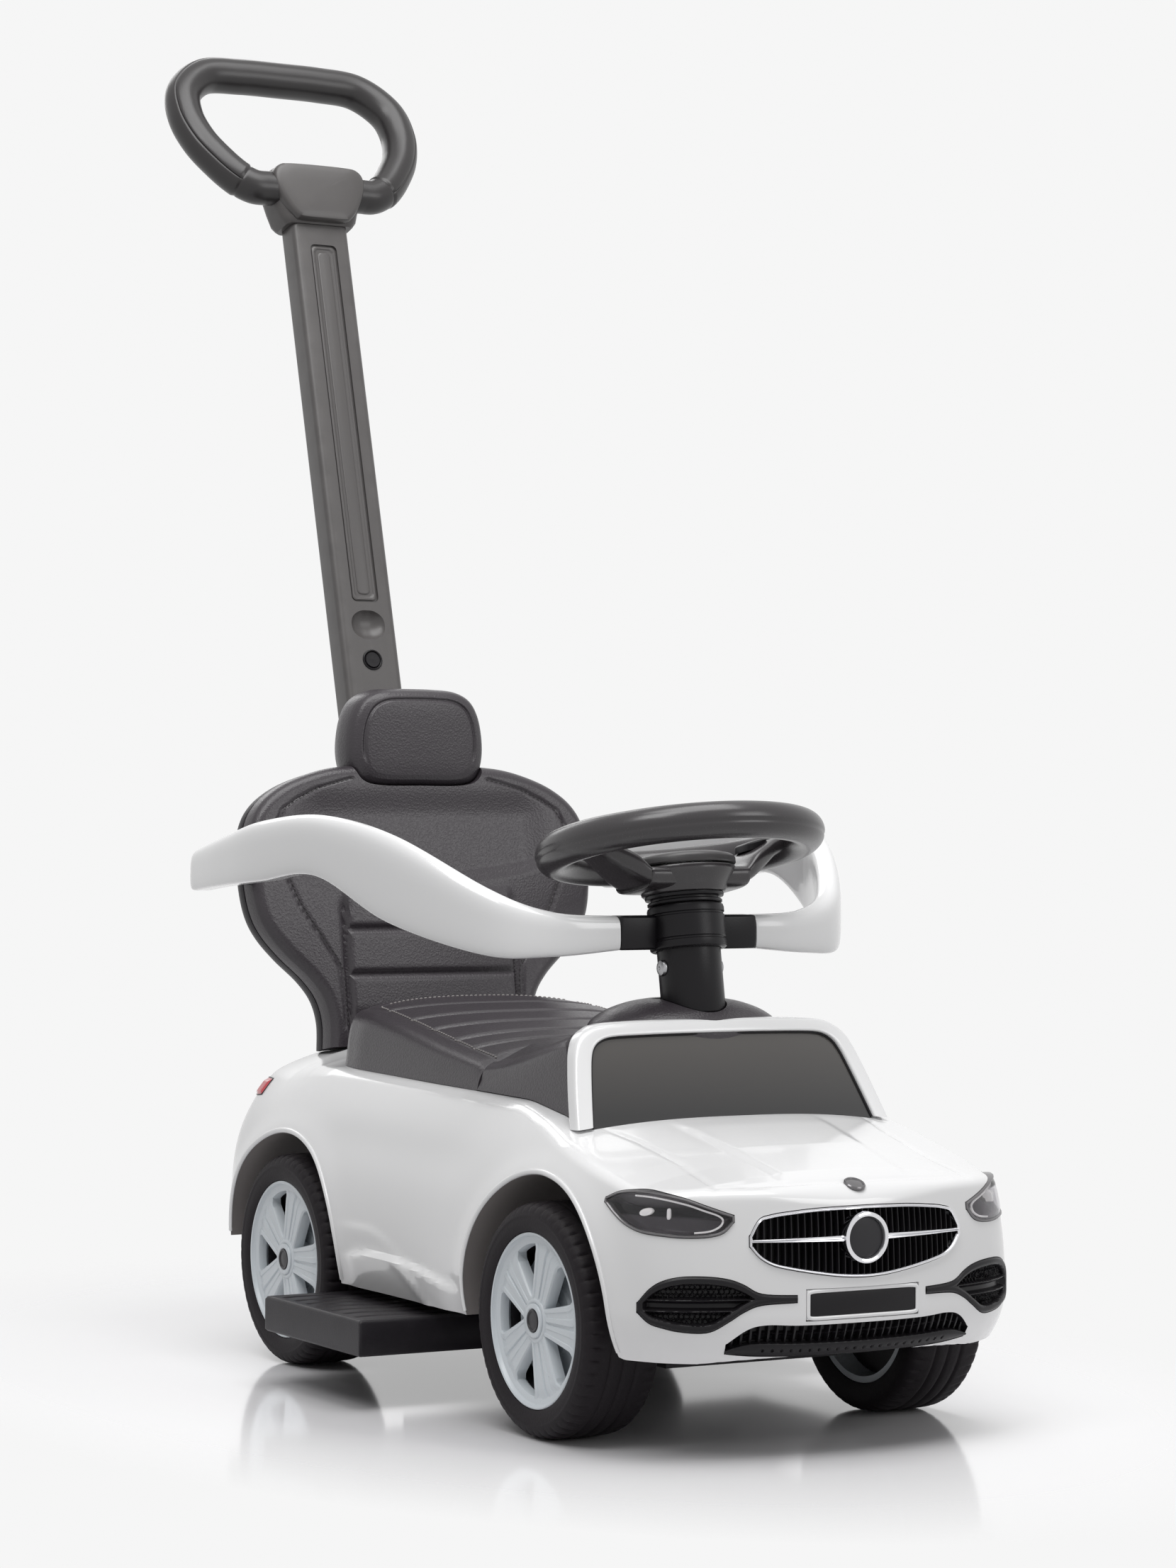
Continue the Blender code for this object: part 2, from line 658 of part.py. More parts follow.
def build_body_shell():
    shell = place("body_shell", skin_solid(body_rings(2, 0.0, 0.0, SIDE_LEVELS, TOP_SHARES)), WHITE)
    hollow_levels = [-0.15, 0.0, 0.26, 0.64, 0.90, 1.0]
    hollow_rings = body_rings(2, BODY_WALL, BODY_WALL, hollow_levels, TOP_SHARES[1:], sink=0.004)
    hollow = cut(shell, skin_solid(hollow_rings), "hollow")
    cut(hollow, wheel_wells(WELL_WALL, WELL_INNER_X - WELL_WALL), "well_walls")
    cut(shell, wheel_wells(0.0, WELL_INNER_X), "wells")
    deep = -LENS_DEPTH - 0.0005
    pockets = []
    for side in (-1, 1):
        pockets.append(wrapped(HEADLIGHT, 3, 0.004, deep, 2 * GAP, side))
        pockets.append(wrapped(INTAKE, 2, 0.004, deep, 2 * GAP, side))
        pockets.append(wrapped(TAILLIGHT, 1, 0.004, deep, 2 * GAP, side))
    pockets.append(wrapped(both_halves(GRILLE_HALF), 2, 0.004, deep, 2 * GAP))
    pockets.append(wrapped(both_halves(CHIN_HALF), 1, 0.012, deep - 0.004, 2 * GAP))
    pockets.append(box((-PLATE_HALF_W - GAP, -0.43, PLATE_Z[0] - GAP), (PLATE_HALF_W + GAP, -0.400, PLATE_Z[1] + GAP)))
    cut(shell, merged(*pockets), "pockets")
    bin_hole = box((-BIN_X - GAP, BIN_Y[0] - GAP, 0.15), (BIN_X + GAP, BIN_Y[1] + GAP, 0.25))
    carrier_notch = box((-0.070, FRONT_AXLE_Y - 0.0265, 0.0), (0.070, TIE_Y + 0.0120, CARRIER_HIGH_Z[1] + 0.003))
    axle_slot = box((-0.070, REAR_AXLE_Y - AXLE_R - 0.001, 0.0), (0.070, REAR_AXLE_Y + AXLE_R + 0.001, HUB_Z + AXLE_R + 0.001))
    cut(shell, merged(bin_hole, carrier_notch, axle_slot), "holes")
    cut(shell, rod(column_point(-0.14), column_point(-0.22), ROD_R + 0.006), "column_hole")
    half_w = MAST_W / 2 + SOCKET_WALL + GAP
    socket = mast_prism(0.16, 0.28, half_w, -SOCKET_WALL - GAP, MAST_D + SOCKET_WALL + GAP, 0.003)
    cut(shell, socket, "socket_hole")


def deck_block(lift):
    """A guide solid with the body's own facets, swollen by a clearance."""
    return skin_solid(body_rings(2, -lift, -lift, SIDE_LEVELS[2:], TOP_SHARES))


def build_floor_pan():
    line = plan_line(2)
    inward = BODY_WALL + 0.0008
    rings = []
    for z in PAN_Z:
        ring = []
        for x, y, nx, ny in line:
            share = (z - read_row(SKIRT_Z, y)) / (edge_height(x, y, nx, ny) - read_row(SKIRT_Z, y))
            push = -inward - skin_inset(share, y)
            if PAN_Y[0] < y + ny * push < PAN_Y[1]:
                ring.append(Vector((x + nx * push, y + ny * push, z)))
        rings.append(ring)
    pan = place("floor_pan", lofted(rings), BLACK)
    cut(pan, wheel_wells(WELL_WALL + GAP, WELL_INNER_X - WELL_WALL - GAP), "wells")
    web_y = (FRONT_AXLE_Y - 0.0230, FRONT_AXLE_Y - 0.0180)
    bay_rear_y = -0.2050
    cut(pan, box((-0.0565, web_y[1] + 0.001, 0.05), (0.0565, bay_rear_y, 0.08)), "bay")
    join(pan, carrier_plate(bay_rear_y + 0.004, *CARRIER_LOW_Z), "low_plate")
    web_z = (CARRIER_LOW_Z[0] + 0.001, CARRIER_HIGH_Z[1] - 0.001)
    join(pan, box((-0.060, web_y[0], web_z[0]), (0.060, web_y[1], web_z[1])), "front_web")
    join(pan, box((-0.050, bay_rear_y - 0.0012, web_z[0]), (0.050, bay_rear_y + 0.003, PAN_Z[1] - 0.001)), "rear_web")
    join(pan, carrier_plate(FRONT_AXLE_Y + 0.0200, *CARRIER_HIGH_Z), "high_plate")
    holes = [rod((side * KINGPIN_X, FRONT_AXLE_Y, 0.03), (side * KINGPIN_X, FRONT_AXLE_Y, 0.12), KINGPIN_R + GAP)
             for side in (-1, 1)]
    holes.append(rod(column_point(-0.20), column_point(-0.36), ROD_R + GAP))
    cut(pan, merged(*holes), "pivot_holes")
    block_z = (PAN_Z[0] - 0.006, HUB_Z + 0.011)
    block = box((-AXLE_BLOCK_X, REAR_AXLE_Y - AXLE_BLOCK_HALF, block_z[0]),
                (AXLE_BLOCK_X, REAR_AXLE_Y + AXLE_BLOCK_HALF, block_z[1]), 0.002)
    join(pan, block, "axle_block")
    cut(pan, rod((-0.07, REAR_AXLE_Y, HUB_Z), (0.07, REAR_AXLE_Y, HUB_Z), AXLE_R + GAP), "axle_hole")
    join(pan, box((-CHANNEL_HALF, REST_Y[0] - CHANNEL_WALL, REST_Z[0] - CHANNEL_WALL),
                  (CHANNEL_HALF, CHANNEL_STEP_Y, PAN_Z[1] - 0.001)), "rest_channel")
    join(pan, box((-CHANNEL_HALF, CHANNEL_STEP_Y - 0.003, REST_Z[0] - CHANNEL_WALL),
                  (CHANNEL_HALF, REST_Y[1] + CHANNEL_WALL, read_row(SKIRT_Z, 0) - GAP)), "rest_channel_rear")
    join(pan, box((-AXLE_BLOCK_X, CHANNEL_STEP_Y - 0.002, REST_Z[1] + 0.002),
                  (AXLE_BLOCK_X, REST_Y[1] + CHANNEL_WALL - 0.001, PAN_Z[1] - 0.0015)), "rest_channel_rib")
    cut(pan, box((-0.2, REST_Y[0] - REST_CLEAR, REST_Z[0] - REST_CLEAR),
                 (0.2, REST_Y[1] + REST_CLEAR, REST_Z[1] + REST_CLEAR)), "rest_slot")
    return pan


def carrier_plate(rear_y, low_z, high_z):
    """A level plate with a round ear at each end that a kingpin passes through."""
    arc = [math.pi / 2 - math.pi * i / 8 for i in range(9)]
    half = [(0.062, rear_y), (0.062, FRONT_AXLE_Y + KNUCKLE_R)]
    half += [(KINGPIN_X + KNUCKLE_R * math.cos(a), FRONT_AXLE_Y + KNUCKLE_R * math.sin(a)) for a in arc]
    half += [(0.062, FRONT_AXLE_Y - KNUCKLE_R), (0.062, FRONT_AXLE_Y - 0.0240)]
    outline = half + mirrored(half[::-1], -1)
    return lofted([[Vector((x, y, z)) for x, y in outline] for z in (low_z, high_z)])


def build_storage_bin():
    low = (-BIN_X, BIN_Y[0], PAN_Z[1] + GAP)
    high = (BIN_X, BIN_Y[1], BIN_TOP_Z)
    storage = place("storage_bin", box(low, high), BLACK)
    inner_low = (low[0] + BIN_WALL, low[1] + BIN_WALL, low[2] + BIN_WALL)
    cut(storage, box(inner_low, (high[0] - BIN_WALL, high[1] - BIN_WALL, 0.25)), "inside")


def build_front_trim():
    for side, word in ((-1, "right"), (1, "left")):
        place("headlight_" + word, wrapped(HEADLIGHT, 3, LENS_PROUD, -LENS_DEPTH, 0.0, side), SMOKE)
        place("side_intake_" + word, wrapped(INTAKE, 2, -0.0010, -LENS_DEPTH, 0.0, side), BLACK)
        place("taillight_" + word, wrapped(TAILLIGHT, 1, 0.0015, -LENS_DEPTH, 0.0, side), RED)
    place("chin_grille", wrapped(both_halves(CHIN_HALF), 2, -0.0010, -LENS_DEPTH - 0.003), BLACK)
    build_grille()
    plate = box((-PLATE_HALF_W, PLATE_Y[0], PLATE_Z[0]), (PLATE_HALF_W, PLATE_Y[1], PLATE_Z[1]), 0.0006)
    place("number_plate", plate, WHITE)


def grille_edges(girth):
    rows_low = [(g, low) for g, low, high in GRILLE_HALF]
    rows_high = [(g, high) for g, low, high in GRILLE_HALF]
    return read_row(rows_low, abs(girth)), read_row(rows_high, abs(girth))


def build_grille():
    """Slatted insert, and the bright surround with its cross bar and plain round boss."""
    reach = GRILLE_HALF[-1][0] - GRILLE_TRIM_W - 0.004
    stations = []
    outs = []
    pitch = 2 * reach / (2 * GRILLE_SLATS + 1)
    for i in range(2 * GRILLE_SLATS + 1):
        for edge in (0.15, 0.85):
            girth = -reach + pitch * (i + edge)
            low, high = grille_edges(girth)
            low_slope = (grille_edges(girth + 0.003)[0] - grille_edges(girth - 0.003)[0]) / 0.006
            high_slope = (grille_edges(girth + 0.003)[1] - grille_edges(girth - 0.003)[1]) / 0.006
            low += (GRILLE_TRIM_W + 2 * GAP) * math.hypot(1, low_slope)
            high -= (GRILLE_TRIM_W + 2 * GAP) * math.hypot(1, high_slope)
            stations.append((girth, low, high))
            outs.append(-0.0040 if i % 2 else -0.0015)
    front = [[skin_point(g, low + (high - low) * j / 2, out) for j in range(3)]
             for (g, low, high), out in zip(stations, outs)]
    back = [[skin_point(g, low + (high - low) * j / 2, -LENS_DEPTH) for j in range(3)] for g, low, high in stations]
    insert = place("grille_insert", slab(front, back), BLACK)
    half_bar = 0.0016
    middle = 0.1290
    bar_stations = [(g, middle - half_bar, middle + half_bar) for g in
                    [-reach - 0.0053 + (2 * reach + 0.0106) * i / 12 for i in range(13)]]
    groove = [(g, low - GAP, high + GAP) for g, low, high in bar_stations]
    cut(insert, wrapped(groove, 1, 0.006, -0.0050), "bar_groove")
    centre = skin_point(0, middle, 0.0)
    axis = Vector((0, -1, 0))
    cut(insert, rod(centre - axis * 0.0050, centre + axis * 0.02, GRILLE_BOSS_R + GAP, 24), "boss_seat")
    trim = place("grille_trim", grille_ring(0.0018, -LENS_DEPTH), CHROME)
    join(trim, wrapped(bar_stations, 1, 0.0012, -0.0045), "bar")
    boss = turned([(GRILLE_BOSS_R, -0.0045), (GRILLE_BOSS_R, 0.0012), (GRILLE_BOSS_R - 0.0018, 0.0028),
                   (GRILLE_BOSS_R - 0.0050, 0.0036)], centre, axis, 24)
    join(trim, boss, "boss")


def grille_ring(front, back):
    """A closed band that follows the grille's outline."""
    half = [(g, low, high) for g, low, high in GRILLE_HALF]
    stations = both_halves(half)
    outer = [(g, high) for g, low, high in stations] + [(g, low) for g, low, high in stations[::-1]]
    inner = []
    for i, (g, z) in enumerate(outer):
        before = outer[i - 1]
        after = outer[(i + 1) % len(outer)]
        run = math.hypot(after[0] - before[0], after[1] - before[1])
        inner.append((g + (after[1] - before[1]) / run * GRILLE_TRIM_W, z - (after[0] - before[0]) / run * GRILLE_TRIM_W))
    rings = [
        [skin_point(g, z, back) for g, z in outer],
        [skin_point(g, z, front) for g, z in outer],
        [skin_point(g, z, front) for g, z in inner],
        [skin_point(g, z, back) for g, z in inner],
    ]
    return lofted(rings, closed=True)


def screen_y(x, z):
    return SCREEN_BASE_Y + (z - SCREEN_BASE_Z) * SCREEN_LEAN + SCREEN_BOW * x * x


def build_windscreen():
    inner = smooth_line(SCREEN_INNER, 2)
    outer = smooth_line(SCREEN_OUTER, 2)
    inner += mirrored(inner[-2::-1], -1)
    outer += mirrored(outer[-2::-1], -1)
    rings = []
    for (x0, z0), (x1, z1) in zip(inner, outer):
        foot = GAP if min(z0, z1) < 0.187 else 0.0
        ring = []
        for x, z, back in ((x0, z0, 0), (x1, z1, 0), (x1, z1, SCREEN_DEPTH), (x0, z0, SCREEN_DEPTH)):
            y = screen_y(x, z) + back
            ring.append(Vector((x, y, max(z, crest(x, y) + foot + 0.0008))))
        rings.append(ring)
    place("windscreen_frame", lofted(rings), WHITE)
    grids = ([], [])
    rows = 3
    half_w = SCREEN_INNER[0][0] - 0.0012
    tops = [(x, z) for x, z in SCREEN_INNER[::-1]]
    for i in range(-8, 9):
        x = half_w * math.sin(i / 8 * math.pi / 2)
        high = read_row(tops, abs(x)) - 0.0006
        low = crest(x, screen_y(x, SCREEN_BASE_Z)) + 0.0012
        low = min(low, high - 0.0010)
        for grid, back in zip(grids, (0.004, 0.004 + SCREEN_PANEL)):
            heights = [low + (high - low) * j / rows for j in range(rows + 1)]
            grid.append([Vector((x, screen_y(x, z) + back, z)) for z in heights])
    place("windscreen_panel", slab(*grids), SMOKE)


def build_console():
    rings = []
    for y, middle, side_z in CONSOLE_STATIONS:
        half = [(0.1040, crest(0.104, y) + 0.0006), (0.1000, side_z - 0.0090), (0.0925, side_z), (0.0600, middle - 0.001)]
        upper = half + [(0, middle)] + mirrored(half[::-1], -1)
        lower = [(x, crest(x, y) + 0.0006) for x in (-0.088, -0.070, -0.040, 0, 0.040, 0.070, 0.088)]
        rings.append([Vector((x, y, z)) for x, z in upper + lower])
    console = place("seat_console", lofted(rings), LEATHER)
    cowl = lofted([
        [Vector((COWL_HALF[0] * size * math.sin(a), COWL_Y - COWL_HALF[1] * size * math.cos(a), z))
         for a in [2 * math.pi * i / 32 for i in range(32)]]
        for size, z in COWL_PROFILE
    ])
    join(console, cowl, "cowl")
    cut(console, screen_rebate(), "screen_rebate")
    foot_z = 0.2120
    ear = box((-0.012, CONSOLE_REAR_Y - 0.006, foot_z), (0.012, SEAT_HINGE_Y + HINGE_BARREL_R - 0.0002, foot_z + 0.0045))
    join(console, ear, "ear")
    neck = box((-0.0118, SEAT_HINGE_Y - HINGE_BARREL_R * 0.9, foot_z + 0.001),
               (0.0118, SEAT_HINGE_Y + HINGE_BARREL_R * 0.9, SEAT_HINGE_Z))
    join(console, neck, "neck")
    barrel = rod((-0.0119, SEAT_HINGE_Y, SEAT_HINGE_Z), (0.0119, SEAT_HINGE_Y, SEAT_HINGE_Z), HINGE_BARREL_R)
    join(console, barrel, "barrel")
    pin_hole = rod((-0.013, SEAT_HINGE_Y, SEAT_HINGE_Z), (0.013, SEAT_HINGE_Y, SEAT_HINGE_Z), HINGE_PIN_R + GAP)
    cut(console, pin_hole, "pin_hole")
    cut(console, rod(column_point(-0.05), column_point(STEM_BOTTOM - 0.0006), STEM_R + 0.0006, 24), "stem_hole")
    cut(console, rod(column_point(-0.10), column_point(-0.20), ROD_R + 0.006), "rod_hole")


def screen_rebate():
    """The space in front of the console that the windscreen stands in."""
    rings = []
    for i in range(17):
        x = 0.12 * (i - 8) / 8
        low_z, high_z = 0.17, SCREEN_OUTER[-1][1] + 2 * GAP
        back = SCREEN_DEPTH + GAP
        ring = [(-0.35, low_z), (screen_y(x, low_z) + back, low_z), (screen_y(x, high_z) + back, high_z), (-0.35, high_z)]
        rings.append([Vector((x, y, z)) for y, z in ring])
    return lofted(rings)


def seat_section(y):
    """(foot half width, shoulder half width, shoulder height, middle height) of the seat."""
    foot = read_row([(-0.1236, 0.1035), (-0.06, 0.1040), (0.05, 0.1035), (0.075, 0.1005), (0.090, 0.0900), (0.100, 0.0720)], y)
    shoulder = read_row([(-0.1236, 0.0930), (-0.06, 0.0900), (0.05, 0.0860), (0.075, 0.0830), (0.090, 0.0760), (0.100, 0.0640)], y)
    edge_z = read_row([(-0.1236, 0.2130), (-0.119, 0.2160), (-0.06, 0.2240), (0.0, 0.2330), (0.05, 0.2395), (0.085, 0.2400),
                       (0.100, 0.2330)], y)
    top_z = read_row([(-0.1236, 0.2245), (-0.1222, 0.2278), (-0.119, 0.2291), (-0.09, 0.2300), (-0.03, 0.2370),
                      (0.03, 0.2445), (0.07, 0.2480), (0.088, 0.2475), (0.095, 0.2440), (0.100, 0.2380)], y)
    return foot, shoulder, edge_z, top_z


def seat_dent(x, y):
    """Depth of the sewn channels: nested arcs that open towards the front."""
    depth = 0.0
    for k in range(5):
        line_y = 0.070 - 0.034 * k - 5.0 * x * x
        depth += 0.0020 * math.exp(-((y - line_y) / 0.0035) ** 2)
    fade = min(max((0.078 - abs(x)) / 0.012, 0.0), 1.0)
    return depth * fade


def build_seat():
    rows = [-0.1236, -0.1222, -0.119, -0.107, -0.095, -0.082, -0.069, -0.056, -0.043, -0.030, -0.017, -0.004, 0.009,
            0.022, 0.035, 0.048, 0.061, 0.074, 0.084, 0.091, 0.096, 0.100]
    shares = [-1.0, -0.86, -0.66, -0.44, -0.22, 0, 0.22, 0.44, 0.66, 0.86, 1.0]
    front = []
    for y in rows:
        foot, shoulder, edge_z, top_z = seat_section(y)
        skirt = foot - 0.003
        low_z = crest(foot, y) + 0.0022
        mid_z = low_z + (edge_z - low_z) * 0.66
        row = [Vector((-foot, y, low_z)), Vector((-skirt, y, mid_z))]
        for share in shares:
            x = share * shoulder
            z = edge_z + (top_z - edge_z) * (1 - share * share) ** 0.8
            if -0.11 < y < 0.088:
                z -= seat_dent(x, y)
            row.append(Vector((x, y, z)))
        row += [Vector((skirt, y, mid_z)), Vector((foot, y, low_z))]
        front.append(row)
    pad = place("seat_pad", padded_slab(front, lambda p: Vector((p.x, p.y, p.z - 0.0016))), LEATHER)
    cut(pad, deck_block(0.0006), "deck")
    recess = box((-SEAT_BASE_X - GAP, SEAT_BASE_Y[0] - GAP, SEAT_BASE_Z[0] - 0.02),
                 (SEAT_BASE_X + GAP, SEAT_BASE_Y[1] + GAP, SEAT_BASE_Z[1] + GAP))
    cut(pad, recess, "recess")
    notch = box((-0.030, SEAT_FRONT_Y - 0.01, SEAT_BASE_Z[0] - 0.02),
                (0.030, SEAT_BASE_Y[0] + 0.002, SEAT_HINGE_Z + HINGE_BARREL_R + 0.0004))
    cut(pad, notch, "hinge_notch")
    base = place("seat_base", box((-SEAT_BASE_X, SEAT_BASE_Y[0], SEAT_BASE_Z[0]),
                                  (SEAT_BASE_X, SEAT_BASE_Y[1], SEAT_BASE_Z[1])), BLACK)
    lugs = []
    for side in (-1, 1):
        inner = side * 0.0126
        outer = side * 0.0270
        low_x, high_x = min(inner, outer), max(inner, outer)
        lugs.append(lofted([[Vector((x, y, z)) for y, z in lug_shape()] for x in (low_x, high_x)]))
    join(base, merged(*lugs), "lugs")
    hole = rod((-0.03, SEAT_HINGE_Y, SEAT_HINGE_Z), (0.03, SEAT_HINGE_Y, SEAT_HINGE_Z), HINGE_PIN_R + GAP)
    cut(base, hole, "pin_hole")
    place("seat_hinge_pin", rod((-0.0285, SEAT_HINGE_Y, SEAT_HINGE_Z), (0.0285, SEAT_HINGE_Y, SEAT_HINGE_Z),
                                HINGE_PIN_R, 12), STEEL)


def lug_shape():
    """Side view of the seat base's hinge lug: a round eye on a leg."""
    eye = [(SEAT_HINGE_Y + HINGE_BARREL_R * math.cos(a), SEAT_HINGE_Z + HINGE_BARREL_R * math.sin(a))
           for a in [math.radians(d) for d in range(30, 241, 30)]]
    return eye + [(SEAT_BASE_Y[0] - 0.0010, SEAT_BASE_Z[0] + 0.0005), (SEAT_BASE_Y[0] + 0.0012, SEAT_BASE_Z[0] + 0.0005),
                  (SEAT_BASE_Y[0] + 0.0012, SEAT_BASE_Z[1] - 0.0005), (SEAT_BASE_Y[0] - 0.0020, SEAT_BASE_Z[1] + 0.004)]


def back_half_width(z):
    return read_row(BACK_OUTLINE, z)


def build_backrest():
    half = [(w, z) for z, w in BACK_OUTLINE]
    half = smooth_line(half, 2)
    outline = half + mirrored(half[::-1], -1)
    depths = [(COVER_THICK + GAP, 0.0030), (COVER_THICK + 0.0040, 0.0), (COVER_THICK + SHELL_THICK - 0.002, 0.0012),
              (COVER_THICK + SHELL_THICK, 0.0060)]
    rings = []
    for behind, shrink in depths:
        rings.append([back_point(x - math.copysign(shrink, x), z - shrink * max(0.0, (z - 0.36) / 0.05), behind)
                      for x, z in outline])
    shell = lofted(rings, caps="none")
    close_pairs(shell, rings[0])
    close_pairs(shell, rings[-1])
    back_shell = place("backrest_shell", shell, BLACK)
    cut(back_shell, deck_block(0.0005), "deck")
    cut(back_shell, headrest_seat(), "headrest_seat")
    half_w = MAST_W / 2 + SOCKET_WALL + 2 * GAP
    cut(back_shell, mast_prism(0.16, 0.34, half_w, -SOCKET_WALL - 2 * GAP, MAST_D + 0.03, 0.003), "mast_groove")
    front = []
    rows = smooth_line([(z,) for z, w in BACK_OUTLINE], 2)
    for (z,) in rows:
        width = back_half_width(z) - 0.0008
        end = max(0.0, min((z - BACK_OUTLINE[0][0]) / 0.006, (BACK_OUTLINE[-1][0] - z) / 0.012, 1.0))
        row = []
        for share in [-1, -0.96, -0.82, -0.62, -0.45, -0.2, 0, 0.2, 0.45, 0.62, 0.82, 0.96, 1]:
            x = share * width
            roll = 0.0055 if abs(share) == 1 else 0.0012 if abs(share) > 0.9 else 0.0
            rise = COVER_THICK - roll - 0.006 * (1 - math.sqrt(end))
            row.append(back_point(x, z, COVER_THICK - rise + cover_dent(x, z)))
        front.append(row)
    lean = Vector((0, math.cos(BACK_LEAN), -math.sin(BACK_LEAN)))
    plane_at = back_point(0, BACK_PLANE_Z, COVER_THICK)
    cover = place("backrest_cover", padded_slab(front, lambda p: p + lean * (plane_at - p).dot(lean)), LEATHER)
    cut(cover, deck_block(0.0005), "deck")
    cut(cover, headrest_seat(), "headrest_seat")


def cover_dent(x, z):
    """Sewn channels of the backrest: two level ones between two upright ones, and a curved one above."""
    depth = 0.0
    if abs(x) < CHANNEL_X:
        for line_z in CHANNEL_Z:
            depth += 0.0025 * math.exp(-((z - line_z) / 0.004) ** 2)
    if z < 0.31:
        depth += 0.0025 * math.exp(-((abs(x) - CHANNEL_X) / 0.006) ** 2)
    return depth


def close_pairs(bm, ring):
    """Closes a ring whose second half mirrors its first."""
    bm.verts.ensure_lookup_table()
    loop = [min(bm.verts, key=lambda v, p=point: (v.co - p).length) for point in ring]
    count = len(loop)
    for i in range(count // 2 - 1):
        bm.faces.new((loop[i], loop[i + 1], loop[count - i - 2], loop[count - i - 1]))


def headrest_rings(layers, grow):
    middle_z = (HEADREST_OUTLINE[0][1] + HEADREST_OUTLINE[-1][1]) / 2
    outline = HEADREST_OUTLINE + mirrored(HEADREST_OUTLINE[-2:0:-1], -1)
    rings = []
    for y, size in layers:
        rings.append([Vector((x * size + math.copysign(grow, x) * (x != 0), y,
                              middle_z + (z - middle_z) * size + math.copysign(grow, z - middle_z))) for x, z in outline])
    return rings


def headrest_seat():
    """The notch in the backrest's top edge that the headrest sits in."""
    return lofted(headrest_rings([(0.10, 1.0), (0.26, 1.0)], 2 * GAP))


def build_headrest():
    front, back = HEADREST_Y
    layers = [(front, 0.86), (front + 0.0020, 0.945), (front + 0.0070, 1.0), (back - 0.0090, 1.0), (back - 0.0025, 0.945),
              (back, 0.85)]
    place("headrest", lofted(headrest_rings(layers, 0.0)), LEATHER)


def build_steering():
    axis = column_axis()
    centre = WHEEL_CENTRE
    rear = Vector((0, math.cos(COLUMN_LEAN), -math.sin(COLUMN_LEAN)))
    path = [p - axis * (RIM_DROP + (p - centre).dot(rear) * math.tan(RIM_TILT)) for p in circle(centre, axis, STEERING_R, 36)]
    wheel = place("steering_wheel", sweep(path, round_section(STEERING_TUBE_R, 8), up=axis, closed=True), BLACK)
    rings = []
    for x, low, high, half in WHEEL_BRIDGE:
        middle = centre + Vector((x, 0, 0))
        rings.append([middle + rear * half * a + axis * b for a, b in ((-0.8, low), (0.8, low), (1, high), (-1, high))])
    join(wheel, lofted(rings), "bridge")
    rings = []
    for distance, low, high, half in ((0.0100, -0.0300, -0.0190, 0.0155), (0.0368, -0.0262, -0.0188, 0.0138),
                                      (STEERING_R - 0.008, -0.0050, 0.0035, 0.011)):
        middle = centre + rear * distance
        rings.append([middle + Vector((half * a, 0, 0)) + axis * b for a, b in ((-1, low), (1, low), (1, high), (-1, high))])
    join(wheel, lofted(rings), "lower_spoke")
    join(wheel, turned([(STEM_R + 0.0035, STEM_TOP + GAP), (0.0288, -0.0298), (0.0340, -0.0242), (0.0340, -0.0194)],
                       centre, axis, 24), "hub")
    cover = turned([(0.0345, PAD_LOW + 2 * GAP), (0.0340, PAD_LOW + 0.0055), (0.0290, PAD_LOW + 0.0078),
                    (0.0180, PAD_LOW + 0.0085)], centre, axis, 24)
    pad = place("steering_cover", cover, GRAPHITE)
    cut(pad, rod(column_point(PAD_LOW + 0.0030), column_point(0.03), HORN_R + GAP, 24), "horn_seat")
    button = turned([(HORN_R, PAD_LOW + 0.0055), (HORN_R, PAD_LOW + 0.0085), (HORN_R - 0.0020, PAD_LOW + 0.0100)],
                    centre, axis, 24)
    place("horn_button", button, BLACK)
    stem = place("steering_stem", rod(column_point(STEM_BOTTOM), column_point(STEM_TOP), STEM_R, 24), BLACK)
    cut(stem, rod(column_point(STEM_BOTTOM - 0.01), column_point(BOLT_T + 0.020), ROD_R + GAP), "rod_bore")
    side = STEM_R + 0.0100
    bolt_line = (column_point(BOLT_T, 0, -side), column_point(BOLT_T, 0, side))
    cut(stem, rod(*bolt_line, BOLT_R + GAP), "bolt_hole")
    steel = place("steering_rod", rod(column_point(ROD_BOTTOM), column_point(BOLT_T + 0.015), ROD_R), STEEL)
    cut(steel, rod(*bolt_line, BOLT_R + GAP), "bolt_hole")
    crank_low, crank_high = CRANK_T - 0.0020, CRANK_T + 0.0020
    arm = [column_point(t, across, x) for t in (crank_low, crank_high)
           for across, x in ((-0.004, -0.005), (CRANK_REACH + 0.004, -0.005), (CRANK_REACH + 0.004, 0.005), (-0.004, 0.005))]
    join(steel, lofted([arm[:4], arm[4:]]), "crank")
    pin = rod(column_point(CRANK_T - 0.0140, CRANK_REACH), column_point(CRANK_T, CRANK_REACH), CRANK_PIN_R, 12)
    join(steel, pin, "crank_pin")
    head_x = -STEM_R - GAP
    bolt = turned([(BOLT_R, 0.0), (BOLT_R, 2 * STEM_R + 0.004)], column_point(BOLT_T, 0, head_x), (1, 0, 0), 12)
    screw = place("stem_bolt", bolt, STEEL)
    heads = merged(rod(column_point(BOLT_T, 0, head_x - 0.0022), column_point(BOLT_T, 0, head_x + 0.0001), 0.0052, 12),
                   rod(column_point(BOLT_T, 0, STEM_R + GAP), column_point(BOLT_T, 0, STEM_R + 0.0035), 0.0052, 6))
    join(screw, heads, "heads")


